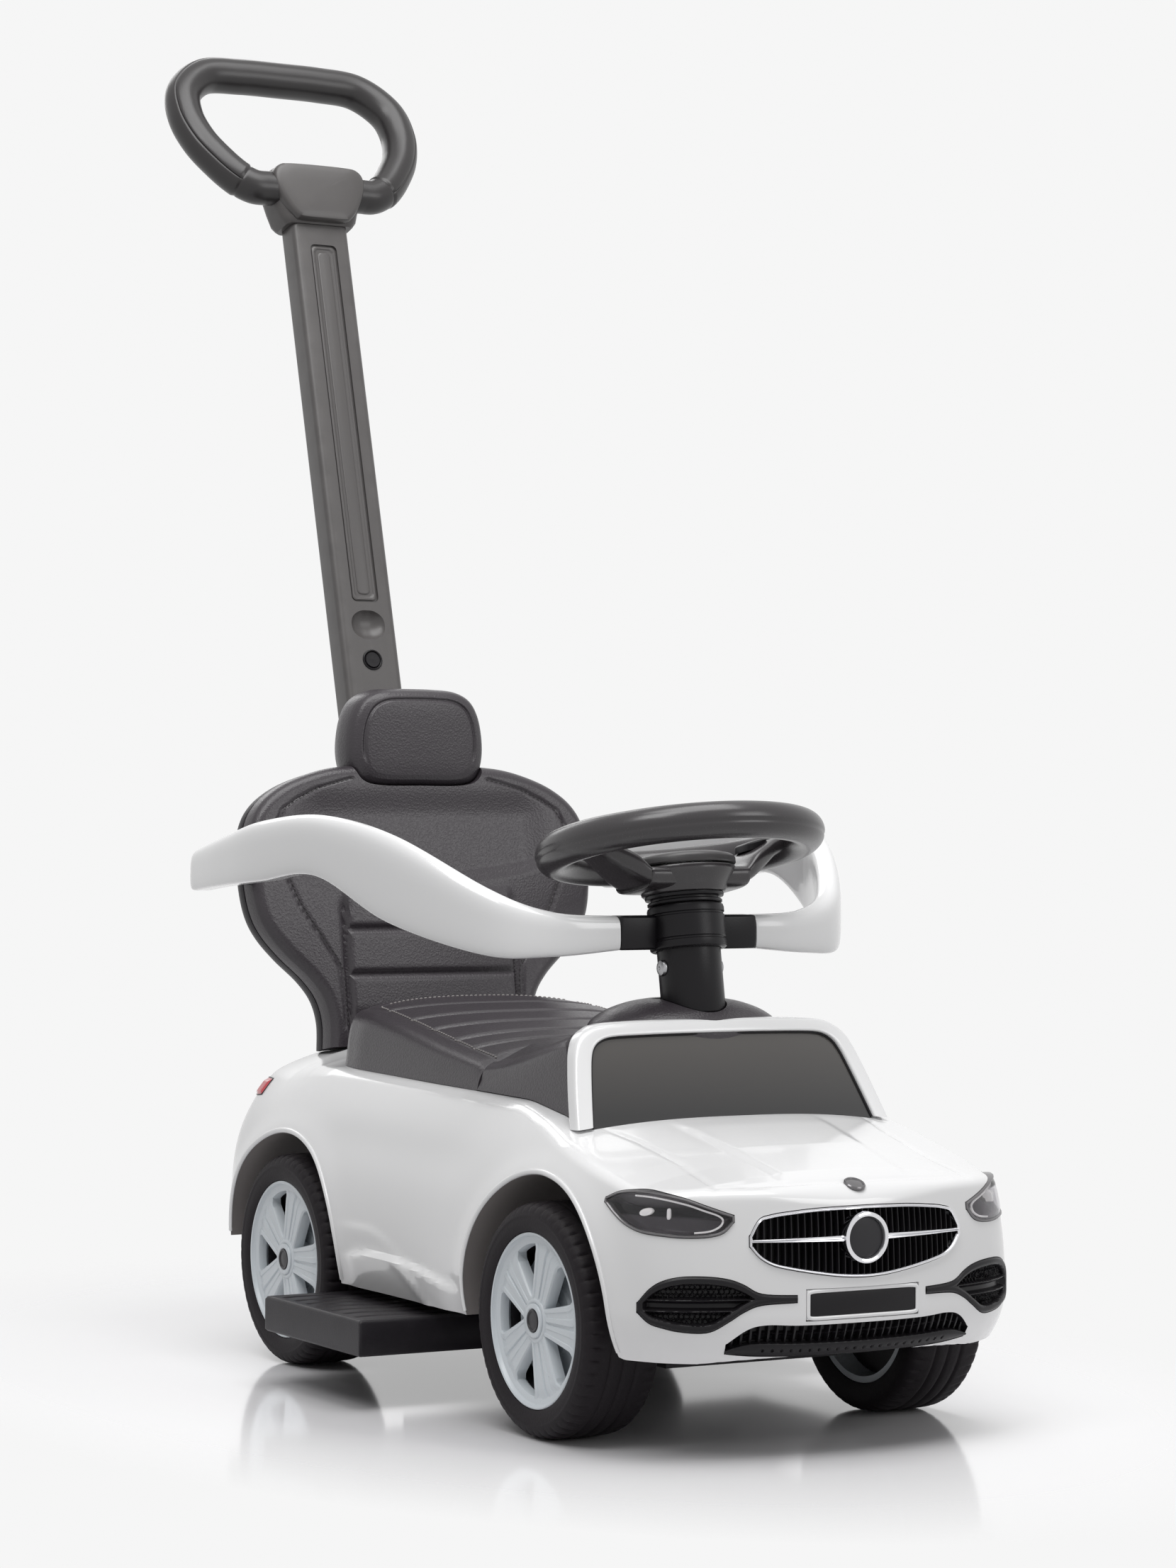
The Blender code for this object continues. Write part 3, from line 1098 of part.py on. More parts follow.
def build_front_suspension():
    tie_half = KINGPIN_X + 0.0060
    tie = place("tie_rod", box((-tie_half, TIE_Y - TIE_HALF_Y, TIE_Z[0]), (tie_half, TIE_Y + TIE_HALF_Y, TIE_Z[1])), STEEL)
    slots = [slot_cutter(x) for x in (-KINGPIN_X, 0, KINGPIN_X)]
    cut(tie, merged(*slots), "slots")
    for side, word in ((-1, "right"), (1, "left")):
        centre = Vector((side * KINGPIN_X, FRONT_AXLE_Y, 0))
        pin = rod(centre + Vector((0, 0, CARRIER_LOW_Z[0] - 0.002)), centre + Vector((0, 0, CARRIER_HIGH_Z[1] + 0.002)),
                  KINGPIN_R, 12)
        place("kingpin_" + word, pin, STEEL)
        low = centre + Vector((0, 0, CARRIER_LOW_Z[1] + GAP))
        high = centre + Vector((0, 0, CARRIER_HIGH_Z[0] - GAP))
        knuckle = place("knuckle_" + word, rod(low, high, KNUCKLE_R), BLACK)
        axle_start = (side * (KINGPIN_X + 0.002), FRONT_AXLE_Y, HUB_Z)
        join(knuckle, rod(axle_start, (side * 0.1385, FRONT_AXLE_Y, HUB_Z), AXLE_R), "stub_axle")
        arm_z = (TIE_Z[1] + 0.0008, TIE_Z[1] + 0.0060)
        x = side * KINGPIN_X
        arm = box((x - 0.0040, FRONT_AXLE_Y + 0.003, arm_z[0]), (x + 0.0040, TIE_Y + 0.0040, arm_z[1]))
        join(knuckle, arm, "arm")
        join(knuckle, rod((x, TIE_Y, TIE_Z[0] - 0.001), (x, TIE_Y, arm_z[1] - 0.001), CRANK_PIN_R, 12), "arm_pin")
        cut(knuckle, rod(low - Vector((0, 0, 0.01)), high + Vector((0, 0, 0.01)), KINGPIN_R + GAP), "pin_bore")


def slot_cutter(x):
    """A slot along Y that a steering pin slides in."""
    half_w = CRANK_PIN_R + 0.0005
    return box((x - half_w, TIE_Y - SLOT_HALF_Y, TIE_Z[0] - 0.01), (x + half_w, TIE_Y + SLOT_HALF_Y, TIE_Z[1] + 0.01))


def wheel_turn():
    """Puts the middle of a facet, and not a corner, at the bottom of a tyre."""
    return math.pi / TYRE_FACETS


def build_wheels():
    axle = rod((-0.1385, REAR_AXLE_Y, HUB_Z), (0.1385, REAR_AXLE_Y, HUB_Z), AXLE_R)
    place("rear_axle", axle, STEEL)
    for end, axle_y in (("front", FRONT_AXLE_Y), ("rear", REAR_AXLE_Y)):
        for side, word in ((-1, "right"), (1, "left")):
            build_wheel(end + "_" + word, side, axle_y)


def build_wheel(label, side, axle_y):
    centre = Vector((0, axle_y, HUB_Z))
    axis = (side, 0, 0)
    tyre_profile = [
        (RIM_R + GAP, TYRE_INNER_X + 0.0015), (0.0650, TYRE_INNER_X), (0.0695, TYRE_INNER_X + 0.0050),
        (TYRE_R, TYRE_INNER_X + 0.0150), (TYRE_R, TYRE_OUTER_X - 0.0150), (0.0690, TYRE_OUTER_X - 0.0045),
        (0.0640, TYRE_OUTER_X), (RIM_R + GAP, TYRE_OUTER_X - 0.0010),
    ]
    place("tyre_" + label, turned(tyre_profile, centre, axis, TYRE_FACETS, ring=True, turn=wheel_turn()), TYRE)
    place("wheel_" + label, spoked_wheel(centre, side), ALLOY)
    cap = turned([(CAP_R, 0.1400), (CAP_R, 0.1418), (CAP_R - 0.0020, 0.1428)], centre, axis, 16)
    place("hub_cap_" + label, cap, ALLOY)


def spoked_wheel(centre, side):
    """A rim barrel, five spokes and a hub, made as one open-windowed casting."""
    steps = SPOKES * 4
    rim_in = RIM_R - RIM_WALL
    bore_start, web_back, web_front, face = 0.1000, 0.1270, 0.1370, 0.1397
    profile = [
        (AXLE_BORE_R, bore_start), (HUB_R, bore_start), (HUB_R, web_back), (rim_in, web_back + 0.003),
        (rim_in, TYRE_INNER_X + 0.002), (RIM_R, TYRE_INNER_X + 0.002), (RIM_R, TYRE_OUTER_X - 0.0015),
        (rim_in, TYRE_OUTER_X - 0.0035), (HUB_R, face), (AXLE_BORE_R, face),
    ]
    bm = bmesh.new()
    direction = Vector((side, 0, 0))
    rings = [[bm.verts.new(p) for p in circle(centre + direction * along, direction, radius, steps, wheel_turn())]
             for radius, along in profile]
    web = (2, 7)
    for i in range(len(rings)):
        near, far = rings[i], rings[(i + 1) % len(rings)]
        for j in range(steps):
            k = (j + 1) % steps
            if i in web and j % 4 >= 2:
                continue
            bm.faces.new((near[j], near[k], far[k], far[j]))
    hub_back, rim_back, rim_front, hub_front = rings[2], rings[3], rings[7], rings[8]
    for j in range(steps):
        k = (j + 1) % steps
        if j % 4 >= 2:
            bm.faces.new((hub_back[j], hub_back[k], hub_front[k], hub_front[j]))
            bm.faces.new((rim_back[j], rim_back[k], rim_front[k], rim_front[j]))
        if j % 4 in (0, 2):
            bm.faces.new((hub_back[j], rim_back[j], rim_front[j], hub_front[j]))
    return bm


def build_handle():
    axis = mast_axis()
    mast = place("handle_mast", mast_prism(MAST_FOOT_Z, YOKE_FOOT_Z - GAP, MAST_W / 2, 0, MAST_D, 0.004), GRAPHITE)
    cut(mast, mast_prism(STRIP_Z[0], STRIP_Z[1], STRIP_HALF_W, -0.01, STRIP_DEPTH), "strip")
    scoop = turned([(0.004, -0.0165), (0.011, -0.0120), (0.014, 0), (0.011, 0.0120), (0.004, 0.0165)],
                   mast_point(SCOOP_Z, -0.0085), (1, 0, 0), 16)
    cut(mast, scoop, "scoop")
    back = Vector((0, math.cos(MAST_LEAN), -math.sin(MAST_LEAN)))
    face = mast_point(BUTTON_Z)
    cut(mast, rod(face - back * 0.01, face + back * 0.012, BUTTON_R + GAP, 20), "button_hole")
    place("mast_button", rod(face - back * 0.0010, face + back * 0.0080, BUTTON_R, 20), BLACK)
    inner = MAST_W / 2 + GAP
    socket_wide = MAST_W / 2 + SOCKET_WALL
    socket = place("mast_socket", mast_prism(SOCKET_Z[0], SOCKET_Z[1], socket_wide, -SOCKET_WALL,
                                             MAST_D + SOCKET_WALL, 0.003), BLACK)
    cut(socket, mast_prism(MAST_FOOT_Z - 0.002, 0.30, inner, -GAP, MAST_D + GAP, 0.0035), "mast_bore")
    build_yoke(axis)
    build_grip()


def build_yoke(axis):
    """The block that joins the grip to the mast's top: a tapering front with cut corners."""
    length = (YOKE_TOP_Z - YOKE_FOOT_Z) / axis.z
    near, far = -0.0060, YOKE_DEPTH - 0.0060
    rings = []
    for share, half_w, inset in YOKE_ROWS:
        along = length * share
        corner = 0.008
        shape = [
            (-half_w, near + inset + corner), (-half_w + corner, near + inset), (half_w - corner, near + inset),
            (half_w, near + inset + corner), (half_w, far - inset - corner), (half_w - corner, far - inset),
            (-half_w + corner, far - inset), (-half_w, far - inset - corner),
        ]
        base = mast_point(YOKE_FOOT_Z) + axis * along
        back = Vector((0, math.cos(MAST_LEAN), -math.sin(MAST_LEAN)))
        rings.append([base + back * across + Vector((x, 0, 0)) for x, across in shape])
    place("grip_yoke", lofted(rings), GRAPHITE)


def grip_centre():
    """Where the grip's plane crosses the middle of the yoke's top."""
    return mast_point(YOKE_TOP_Z, YOKE_DEPTH / 2 - 0.006)


def build_grip():
    up = Vector((0, math.sin(GRIP_LEAN), math.cos(GRIP_LEAN)))
    half = smooth_line(GRIP_PATH, 2)
    line = half + mirrored(half[-2::-1], -1)
    path = [grip_centre() + up * s + Vector((x, 0, 0)) for x, s in line]
    face = Vector((0, -math.cos(GRIP_LEAN), math.sin(GRIP_LEAN)))
    place("grip_loop", sweep(path, round_section(GRIP_TUBE_R, 8), up=face), GRAPHITE)


def build_guard():
    for side, word in ((-1, "right"), (1, "left")):
        line = smooth_line(ARM_PATH, 3)
        rings = []
        for i, (x, y, low, high) in enumerate(line):
            before = line[max(i - 1, 0)]
            after = line[min(i + 1, len(line) - 1)]
            if i == len(line) - 1:
                before = (after[0] + 1, after[1], 0, 0)
            run = math.hypot(after[0] - before[0], after[1] - before[1])
            inward = Vector(((after[1] - before[1]) / run, -(after[0] - before[0]) / run, 0))
            section = [(0, low + 0.003), (0, high - 0.008), (0.004, high - 0.0015), (ARM_THICK - 0.004, high),
                       (ARM_THICK, high - 0.004), (ARM_THICK, low + 0.003), (ARM_THICK - 0.003, low), (0.003, low)]
            ring = []
            for depth, z in section:
                point = Vector((x, y, z)) + inward * depth
                ring.append(Vector((side * point.x, point.y, z)))
            rings.append(ring)
        place("guard_arm_" + word, lofted(rings), WHITE)
        bracket_front = back_point(0, BRACKET_Z[0], COVER_THICK + 0.003).y
        inner_x = 0.1368
        outer_x = ARM_PATH[0][0] - ARM_THICK - 0.0012
        low_x, high_x = min(side * inner_x, side * outer_x), max(side * inner_x, side * outer_x)
        bracket = box((low_x, bracket_front, BRACKET_Z[0]), (high_x, bracket_front + 0.012, BRACKET_Z[1]), 0.001)
        place("guard_bracket_" + word, bracket, BLACK)
    axis = column_axis()
    start = (CLAMP_Z[0] - WHEEL_CENTRE.z) / axis.z
    end = (CLAMP_Z[1] - WHEEL_CENTRE.z) / axis.z
    ring = turned([(CLAMP_R - 0.002, start), (CLAMP_R, start + 0.002), (CLAMP_R, end - 0.002), (CLAMP_R - 0.002, end)],
                  WHEEL_CENTRE, axis, 28)
    clamp = place("guard_clamp", ring, BLACK)
    x, y, low, high = ARM_PATH[-1]
    bar = box((-CLAMP_HALF_W, y, low), (CLAMP_HALF_W, y + ARM_THICK, high), 0.002)
    join(clamp, bar, "bar")
    cut(clamp, rod(column_point(start - 0.02), column_point(end + 0.02), STEM_R + 0.0005, 24), "stem_bore")


def build_foot_rests():
    """Trays with shallow grooves across their tops."""
    low_x, high_x = REST_X
    shape = [(low_x, REST_Z[0]), (high_x - 0.002, REST_Z[0]), (high_x, REST_Z[0] + 0.003), (high_x, REST_Z[1] - 0.003),
             (high_x - 0.003, REST_Z[1]), (low_x, REST_Z[1])]
    first_y, last_y = REST_Y[0] + REST_MARGIN, REST_Y[1] - REST_MARGIN
    pitch = (last_y - first_y) / REST_GROOVES
    for side, word in ((-1, "right"), (1, "left")):
        rings = [[Vector((side * x, y, z)) for x, z in shape] for y in REST_Y]
        rest = place("foot_rest_" + word, lofted(rings), BLACK)
        near_x, far_x = sorted((side * (high_x - GROOVE_LENGTH), side * (high_x - REST_MARGIN)))
        middles = [first_y + pitch * (i + 0.5) for i in range(REST_GROOVES)]
        grooves = [box((near_x, y - GROOVE_HALF_W, REST_Z[1] - GROOVE_DEPTH), (far_x, y + GROOVE_HALF_W, REST_Z[1] + 0.01))
                   for y in middles]
        cut(rest, merged(*grooves), "grooves")


def build_car():
    clear_scene()
    build_body_shell()
    build_floor_pan()
    build_storage_bin()
    build_front_trim()
    build_windscreen()
    build_console()
    build_seat()
    build_backrest()
    build_headrest()
    build_steering()
    build_front_suspension()
    build_wheels()
    build_handle()
    build_guard()
    build_foot_rests()


build_car()
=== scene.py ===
"""Finished look of the ride-on car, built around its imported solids.

Metres, +Z up, nose to -Y, the rider's left is +X. The solids give every place and every movement.
"""

import math

import bmesh
import bpy
import numpy as np
from mathutils import Matrix, Vector
from mathutils.bvhtree import BVHTree


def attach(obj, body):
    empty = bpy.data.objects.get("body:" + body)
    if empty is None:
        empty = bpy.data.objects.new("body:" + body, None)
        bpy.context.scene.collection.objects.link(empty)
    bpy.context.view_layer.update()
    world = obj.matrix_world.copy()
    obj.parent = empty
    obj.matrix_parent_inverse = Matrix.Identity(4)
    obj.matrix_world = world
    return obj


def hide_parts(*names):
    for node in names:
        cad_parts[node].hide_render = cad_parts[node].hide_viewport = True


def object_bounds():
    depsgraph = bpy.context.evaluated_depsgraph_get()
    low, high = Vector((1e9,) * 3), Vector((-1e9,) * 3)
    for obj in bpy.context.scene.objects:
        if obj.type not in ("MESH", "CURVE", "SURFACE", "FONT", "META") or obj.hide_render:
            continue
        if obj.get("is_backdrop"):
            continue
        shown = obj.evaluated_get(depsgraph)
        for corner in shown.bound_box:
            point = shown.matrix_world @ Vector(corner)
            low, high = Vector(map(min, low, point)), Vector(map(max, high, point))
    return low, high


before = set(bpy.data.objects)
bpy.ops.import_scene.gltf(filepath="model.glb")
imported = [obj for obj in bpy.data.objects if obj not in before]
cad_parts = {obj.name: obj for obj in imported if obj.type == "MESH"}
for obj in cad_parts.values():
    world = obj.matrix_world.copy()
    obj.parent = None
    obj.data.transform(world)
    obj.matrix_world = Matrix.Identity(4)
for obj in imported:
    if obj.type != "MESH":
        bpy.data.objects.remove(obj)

CAD_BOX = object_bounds()
LEFT_RIGHT = ((1, "left"), (-1, "right"))
AXLES = (("front", -0.2670), ("rear", 0.0830))
HUB_Z = 0.070957

# Body skin, as on the solid: plan outline of one half, then rows of (y, value)
PLAN_HALF = [
    (0, -0.4150), (0.040, -0.4120), (0.075, -0.4050), (0.1085, -0.3925), (0.1310, -0.3720), (0.1405, -0.3400),
    (0.1435, -0.2900), (0.1425, -0.2000), (0.1405, -0.0900), (0.1425, 0.0200), (0.1445, 0.0900),
    (0.1435, 0.1420), (0.1350, 0.1800), (0.1050, 0.2000), (0.0520, 0.2065), (0, 0.2075),
]
CREST_Z = [
    (-0.415, 0.1475), (-0.4115, 0.1515), (-0.4036, 0.1585), (-0.385, 0.1655), (-0.340, 0.1765),
    (-0.279, 0.1895), (-0.24, 0.195), (-0.19, 0.1985), (-0.10, 0.200), (0.03, 0.2025), (0.07, 0.2055),
    (0.10, 0.2125), (0.13, 0.2165), (0.165, 0.2130), (0.190, 0.199), (0.2075, 0.182),
]
CROWN_DROP = [
    (-0.415, 0.010), (-0.36, 0.016), (-0.27, 0.012), (-0.20, 0.002), (0.03, 0.003), (0.07, 0.007),
    (0.10, 0.021), (0.13, 0.034), (0.165, 0.030), (0.2075, 0.012),
]
SHOULDER_INSET = [
    (-0.415, 0.004), (-0.38, 0.008), (-0.34, 0.012), (-0.28, 0.016), (-0.22, 0.026), (-0.12, 0.032),
    (0.05, 0.033), (0.12, 0.033), (0.16, 0.031), (0.2075, 0.027),
]
SKIRT_TUCK = [(-0.415, 0.014), (-0.36, 0.008), (-0.30, 0.005), (0.10, 0.005), (0.16, 0.001), (0.2075, 0.001)]
SKIRT_Z = [(-0.415, 0.0565), (-0.36, 0.0585), (-0.34, 0.064), (0.02, 0.064), (0.15, 0.078), (0.2075, 0.080)]
ARCH_R = {"front": 0.0880, "rear": 0.0860}


# Numbers and curves

def linear(rows, at):
    return np.interp(at, [r[0] for r in rows], [r[1] for r in rows])


def flowing(points, steps, closed=False):
    """Points along a Catmull-Rom curve, as an array."""
    p = np.array(points, float)
    if closed:
        four = [np.roll(p, shift, axis=0) for shift in (1, 0, -1, -2)]
    else:
        long = np.vstack([p[:1], p, p[-1:]])
        four = [long[i:len(long) - 3 + i] for i in range(4)]
    t = np.arange(steps) / steps
    t = t[None, :, None]
    a, b, c, d = [q[:, None, :] for q in four]
    line = 0.5 * (2 * b + (c - a) * t + (2 * a - 5 * b + 4 * c - d) * t ** 2 + (3 * b - a - 3 * c + d) * t ** 3)
    line = line.reshape(-1, p.shape[1])
    return line if closed else np.vstack([line, p[-1:]])


def full_turn(count):
    """Evenly spread angles once round."""
    return np.arange(count) / count * 2 * math.pi


def xyz(x, y, z):
    """Points from their coordinates, which are arrays or single values."""
    return np.stack(np.broadcast_arrays(x, y, z), axis=-1)


def soft_step(value, low, high):
    t = np.clip((value - low) / (high - low), 0, 1)
    return t * t * (3 - 2 * t)


def bump(distance, width):
    return np.exp(-(distance / width) ** 2)


def mirrored_line(half):
    """A line over the middle from its left half, which ends in the middle."""
    return np.vstack([half, half[-2::-1] * (-1, 1)])


def both_sides(half):
    """A left half outline followed by its mirror image."""
    half = [tuple(p) for p in half]
    return half + [(-p[0],) + p[1:] for p in half[-2:0:-1]]


def line_distance(points, x, y):
    """Distance from each place to a line of points."""
    best = np.full(np.shape(x), 9.0)
    for (x0, y0), (x1, y1) in zip(points, points[1:]):
        run = (x1 - x0) ** 2 + (y1 - y0) ** 2
        t = np.clip(((x - x0) * (x1 - x0) + (y - y0) * (y1 - y0)) / run, 0, 1)
        best = np.minimum(best, np.hypot(x - x0 - t * (x1 - x0), y - y0 - t * (y1 - y0)))
    return best


# Mesh building

class Form:
    """Points and faces that are gathered into one mesh."""

    def __init__(self):
        self.points = []
        self.faces = []
        self.count = 0

    def grid(self, points, wrap_rows=False, wrap_columns=False, caps=""):
        """A sheet of quads over rows of points. Caps close its first and last row: flat or strip."""
        points = np.asarray(points, float)
        rows, columns = points.shape[:2]
        start = self.count
        self.points.append(points.reshape(-1, 3))
        self.count += rows * columns
        for i in range(rows if wrap_rows else rows - 1):
            near = start + i * columns
            far = start + (i + 1) % rows * columns
            for j in range(columns if wrap_columns else columns - 1):
                k = (j + 1) % columns
                self.faces.append((near + j, near + k, far + k, far + j))
        for ring in (start, start + (rows - 1) * columns) if caps else ():
            if caps == "flat":
                self.faces.append(tuple(range(ring, ring + columns)))
            else:
                for j in range(columns // 2):
                    corner = [ring + q % columns for q in (j, j + 1, columns - j - 1, columns - j)]
                    self.faces.append(tuple(dict.fromkeys(corner)))
        return self

    def slab(self, front, back):
        """A closed sheet between two equal grids of points."""
        front = np.asarray(front, float)
        back = np.asarray(back, float)
        rows, columns = front.shape[:2]
        edge = [(0, j) for j in range(columns)] + [(i, columns - 1) for i in range(1, rows)]
        edge += [(rows - 1, j) for j in range(columns - 2, -1, -1)] + [(i, 0) for i in range(rows - 2, 0, -1)]
        start = self.count
        self.grid(front)
        self.grid(back)
        for (i, j), (k, m) in zip(edge, edge[1:] + edge[:1]):
            a, b = start + i * columns + j, start + k * columns + m
            self.faces.append((a, b, b + rows * columns, a + rows * columns))
        return self


def box_form(low, high):
    """The six sides of a box, as one closed form."""
    form = Form()
    bm = bmesh.new()
    bmesh.ops.create_cube(bm, size=1)
    points = [[a + (b - a) * (c + 0.5) for a, b, c in zip(low, high, v.co)] for v in bm.verts]
    form.points.append(np.array(points))
    form.count = 8
    form.faces = [tuple(v.index for v in f.verts) for f in bm.faces]
    bm.free()
    return form


def joined(*forms):
    whole = Form()
    for form in forms:
        whole.faces += [tuple(i + whole.count for i in face) for face in form.faces]
        whole.points += form.points
        whole.count += form.count
    return whole


def mesh_of(form, name, angle):
    mesh = bpy.data.meshes.new(name)
    mesh.from_pydata(np.vstack(form.points).tolist(), [], form.faces)
    bm = bmesh.new()
    bm.from_mesh(mesh)
    bmesh.ops.remove_doubles(bm, verts=bm.verts, dist=0.00001)
    bmesh.ops.recalc_face_normals(bm, faces=bm.faces)
    bm.to_mesh(mesh)
    bm.free()
    mesh.shade_smooth()
    mesh.set_sharp_from_angle(angle=math.radians(angle))
    return mesh


def shaped(name, form, finish, angle=35):
    """A mesh object in the finish of its kind."""
    piece = bpy.data.objects.new(name, mesh_of(form, name, angle))
    bpy.context.scene.collection.objects.link(piece)
    piece.data.materials.append(finish)
    return piece


def settled(piece, angle):
    """Applies the modifiers of a piece to its mesh."""
    bpy.context.view_layer.update()
    seen = piece.evaluated_get(bpy.context.evaluated_depsgraph_get())
    mesh = bpy.data.meshes.new_from_object(seen)
    old = piece.data
    piece.modifiers.clear()
    piece.data = mesh
    bpy.data.meshes.remove(old)
    mesh.shade_smooth()
    mesh.set_sharp_from_angle(angle=math.radians(angle))


def rounded(piece, width, segments):
    """Rounds the sharp edges of a piece."""
    modifier = piece.modifiers.new("rounded", "BEVEL")
    modifier.width = width
    modifier.segments = segments
    modifier.limit_method = "ANGLE"
    modifier.angle_limit = math.radians(35)
    modifier.use_clamp_overlap = True
    settled(piece, 50)


def carved(piece, form, finish):
    """Cuts a form away from a piece; the new faces take the given finish."""
    tool = shaped("carving", form, finish)
    modifier = piece.modifiers.new("carved", "BOOLEAN")
    modifier.operation = "DIFFERENCE"
    modifier.solver = "EXACT"
    modifier.material_mode = "TRANSFER"
    modifier.object = tool
    settled(piece, 35)
    bpy.data.objects.remove(tool, do_unlink=True)


def fitted(piece, body, solid=None):
    """Puts a piece on its moving body, in place of a solid, which it hides."""
    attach(piece, body)
    if solid:
        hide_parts(solid)
    return piece


def add(name, form, finish, body, solid=None, angle=35, edge=None, cuts=()):
    """Makes and fits a piece; edge is the (width, segments) of its rounded edges, cuts are taken out of it."""
    piece = shaped(name, form, finish, angle)
    if edge:
        rounded(piece, *edge)
    for cut in cuts:
        carved(piece, cut, finish)
    return fitted(piece, body, solid)


def lofted(rings, closed=False):
    """A form through rings, flat at both ends or closed round like a hoop."""
    return Form().grid(rings, wrap_rows=closed, wrap_columns=True, caps="" if closed else "flat")


def carried(path, section, up, closed=False):
    """A section of (across, upward) points, one for all or one for each place, swept along a path."""
    path = np.array(path, float)
    section = np.array(section, float)
    if closed:
        ahead = np.roll(path, -1, axis=0) - np.roll(path, 1, axis=0)
    else:
        ahead = np.gradient(path, axis=0)
    ahead /= np.linalg.norm(ahead, axis=1)[:, None]
    up = np.broadcast_to(np.array(up, float), path.shape)
    across = np.cross(ahead, up)
    across /= np.linalg.norm(across, axis=1)[:, None]
    lift = np.cross(across, ahead)
    if section.ndim == 2:
        section = np.broadcast_to(section, (len(path),) + section.shape)
    rings = path[:, None] + across[:, None] * section[..., :1] + lift[:, None] * section[..., 1:]
    return lofted(rings, closed)


def oval(half_w, half_h, count, power=2.0):
    """Points round an oval; a higher power makes it squarer."""
    a = full_turn(count)
    c, s = np.cos(a), np.sin(a)
    return np.stack([half * np.sign(v) * abs(v) ** (2 / power) for half, v in ((half_w, c), (half_h, s))], axis=1)


def lathed(profile, centre, axis, count, closed=False):
    """A turned form: profile rows are (radius, distance along the axis)."""
    axis = np.array(Vector(axis).normalized())
    side = np.cross(axis, (0, 0, 1.0))
    side = np.array((1.0, 0, 0)) if np.linalg.norm(side) < 0.01 else side / np.linalg.norm(side)
    up = np.cross(axis, side)
    a = full_turn(count)
    spokes = np.cos(a)[:, None] * side + np.sin(a)[:, None] * up
    return lofted([np.array(centre) + axis * along + spokes * radius for radius, along in profile], closed)


# Finishes: effects that several materials share

def effect(name, inputs, outputs):
    """A shader node group with named sockets."""
    tree = bpy.data.node_groups.new(name, "ShaderNodeTree")
    for label, kind, value in inputs:
        socket = tree.interface.new_socket(label, in_out="INPUT", socket_type="NodeSocket" + kind)
        socket.default_value = value
    for label, kind in outputs:
        tree.interface.new_socket(label, in_out="OUTPUT", socket_type="NodeSocket" + kind)
    return tree, tree.nodes.new("NodeGroupInput").outputs, tree.nodes.new("NodeGroupOutput").inputs


def node(tree, kind, inputs=None, **settings):
    """Adds a node; an input takes a value or another node's output."""
    made = tree.nodes.new("ShaderNode" + kind)
    for key, value in settings.items():
        setattr(made, key, value)
    for key, value in (inputs or {}).items():
        if isinstance(value, bpy.types.NodeSocket):
            tree.links.new(value, made.inputs[key])
        else:
            made.inputs[key].default_value = value
    return made


def sum_of(tree, operation, a, b, clamp=False):
    return node(tree, "Math", {0: a, 1: b}, operation=operation, use_clamp=clamp).outputs[0]


def spread(tree, value, low, high, to_low=0.0, to_high=1.0):
    return node(tree, "MapRange", {"Value": value, "From Min": low, "From Max": high, "To Min": to_low,
                                   "To Max": to_high}).outputs[0]


def mixed_colour(tree, share, first, second):
    return node(tree, "MixRGB", {0: share, 1: first, 2: second}).outputs[0]


def object_place(tree):
    return node(tree, "TexCoord").outputs["Object"]


def noise(tree, place, scale, detail, roughness=0.5):
    given = {"Vector": place, "Scale": scale, "Detail": detail, "Roughness": roughness}
    return node(tree, "TexNoise", given).outputs


def moulded_surface():
    """Fine spark-eroded grain over slow waves, as on injection-moulded plastic."""
    tree, given, result = effect("moulded_surface", [("Grain Scale", "Float", 900.0), ("Wave Share", "Float", 0.3)],
                                 [("Height", "Float"), ("Grain", "Float")])
    place = object_place(tree)
    grain = noise(tree, place, given["Grain Scale"], 3.0)[0]
    wave = noise(tree, place, 28.0, 1.0)[0]
    both = sum_of(tree, "ADD", grain, sum_of(tree, "MULTIPLY", wave, given["Wave Share"]))
    tree.links.new(both, result["Height"])
    tree.links.new(grain, result["Grain"])
    return tree


def hide_surface():
    """Pebbled leatherette: rounded cells with soft wrinkles."""
    tree, given, result = effect("hide_surface", [("Cell Scale", "Float", 700.0), ("Wrinkle", "Float", 0.5)],
                                 [("Height", "Float"), ("Valley", "Float")])
    place = object_place(tree)
    drift = noise(tree, place, 240.0, 2.0)["Color"]
    moved = node(tree, "VectorMath", {0: drift, "Scale": 0.0016}, operation="SCALE").outputs[0]
    bent = node(tree, "VectorMath", {0: place, 1: moved}, operation="ADD").outputs[0]
    cells = node(tree, "TexVoronoi", {"Vector": bent, "Scale": given["Cell Scale"]}, feature="SMOOTH_F1").outputs[0]
    pebble = spread(tree, cells, 0.05, 0.6, 1.0, 0.0)
    folds = noise(tree, place, 45.0, 4.0, 0.6)[0]
    both = sum_of(tree, "ADD", pebble, sum_of(tree, "MULTIPLY", folds, given["Wrinkle"]))
    tree.links.new(both, result["Height"])
    tree.links.new(spread(tree, cells, 0.25, 0.7), result["Valley"])
    return tree


def handled_edges():
    """Mask of proud edges that hands and shoes have polished."""
    tree, given, result = effect("handled_edges", [("Amount", "Float", 0.5)], [("Mask", "Float")])
    edge = node(tree, "NewGeometry").outputs["Pointiness"]
    patch = noise(tree, object_place(tree), 60.0, 4.0)[0]
    proud = spread(tree, edge, 0.51, 0.60)
    broken = sum_of(tree, "MULTIPLY", proud, spread(tree, patch, 0.35, 0.65))
    tree.links.new(sum_of(tree, "MULTIPLY", broken, given["Amount"], clamp=True), result["Mask"])
    return tree


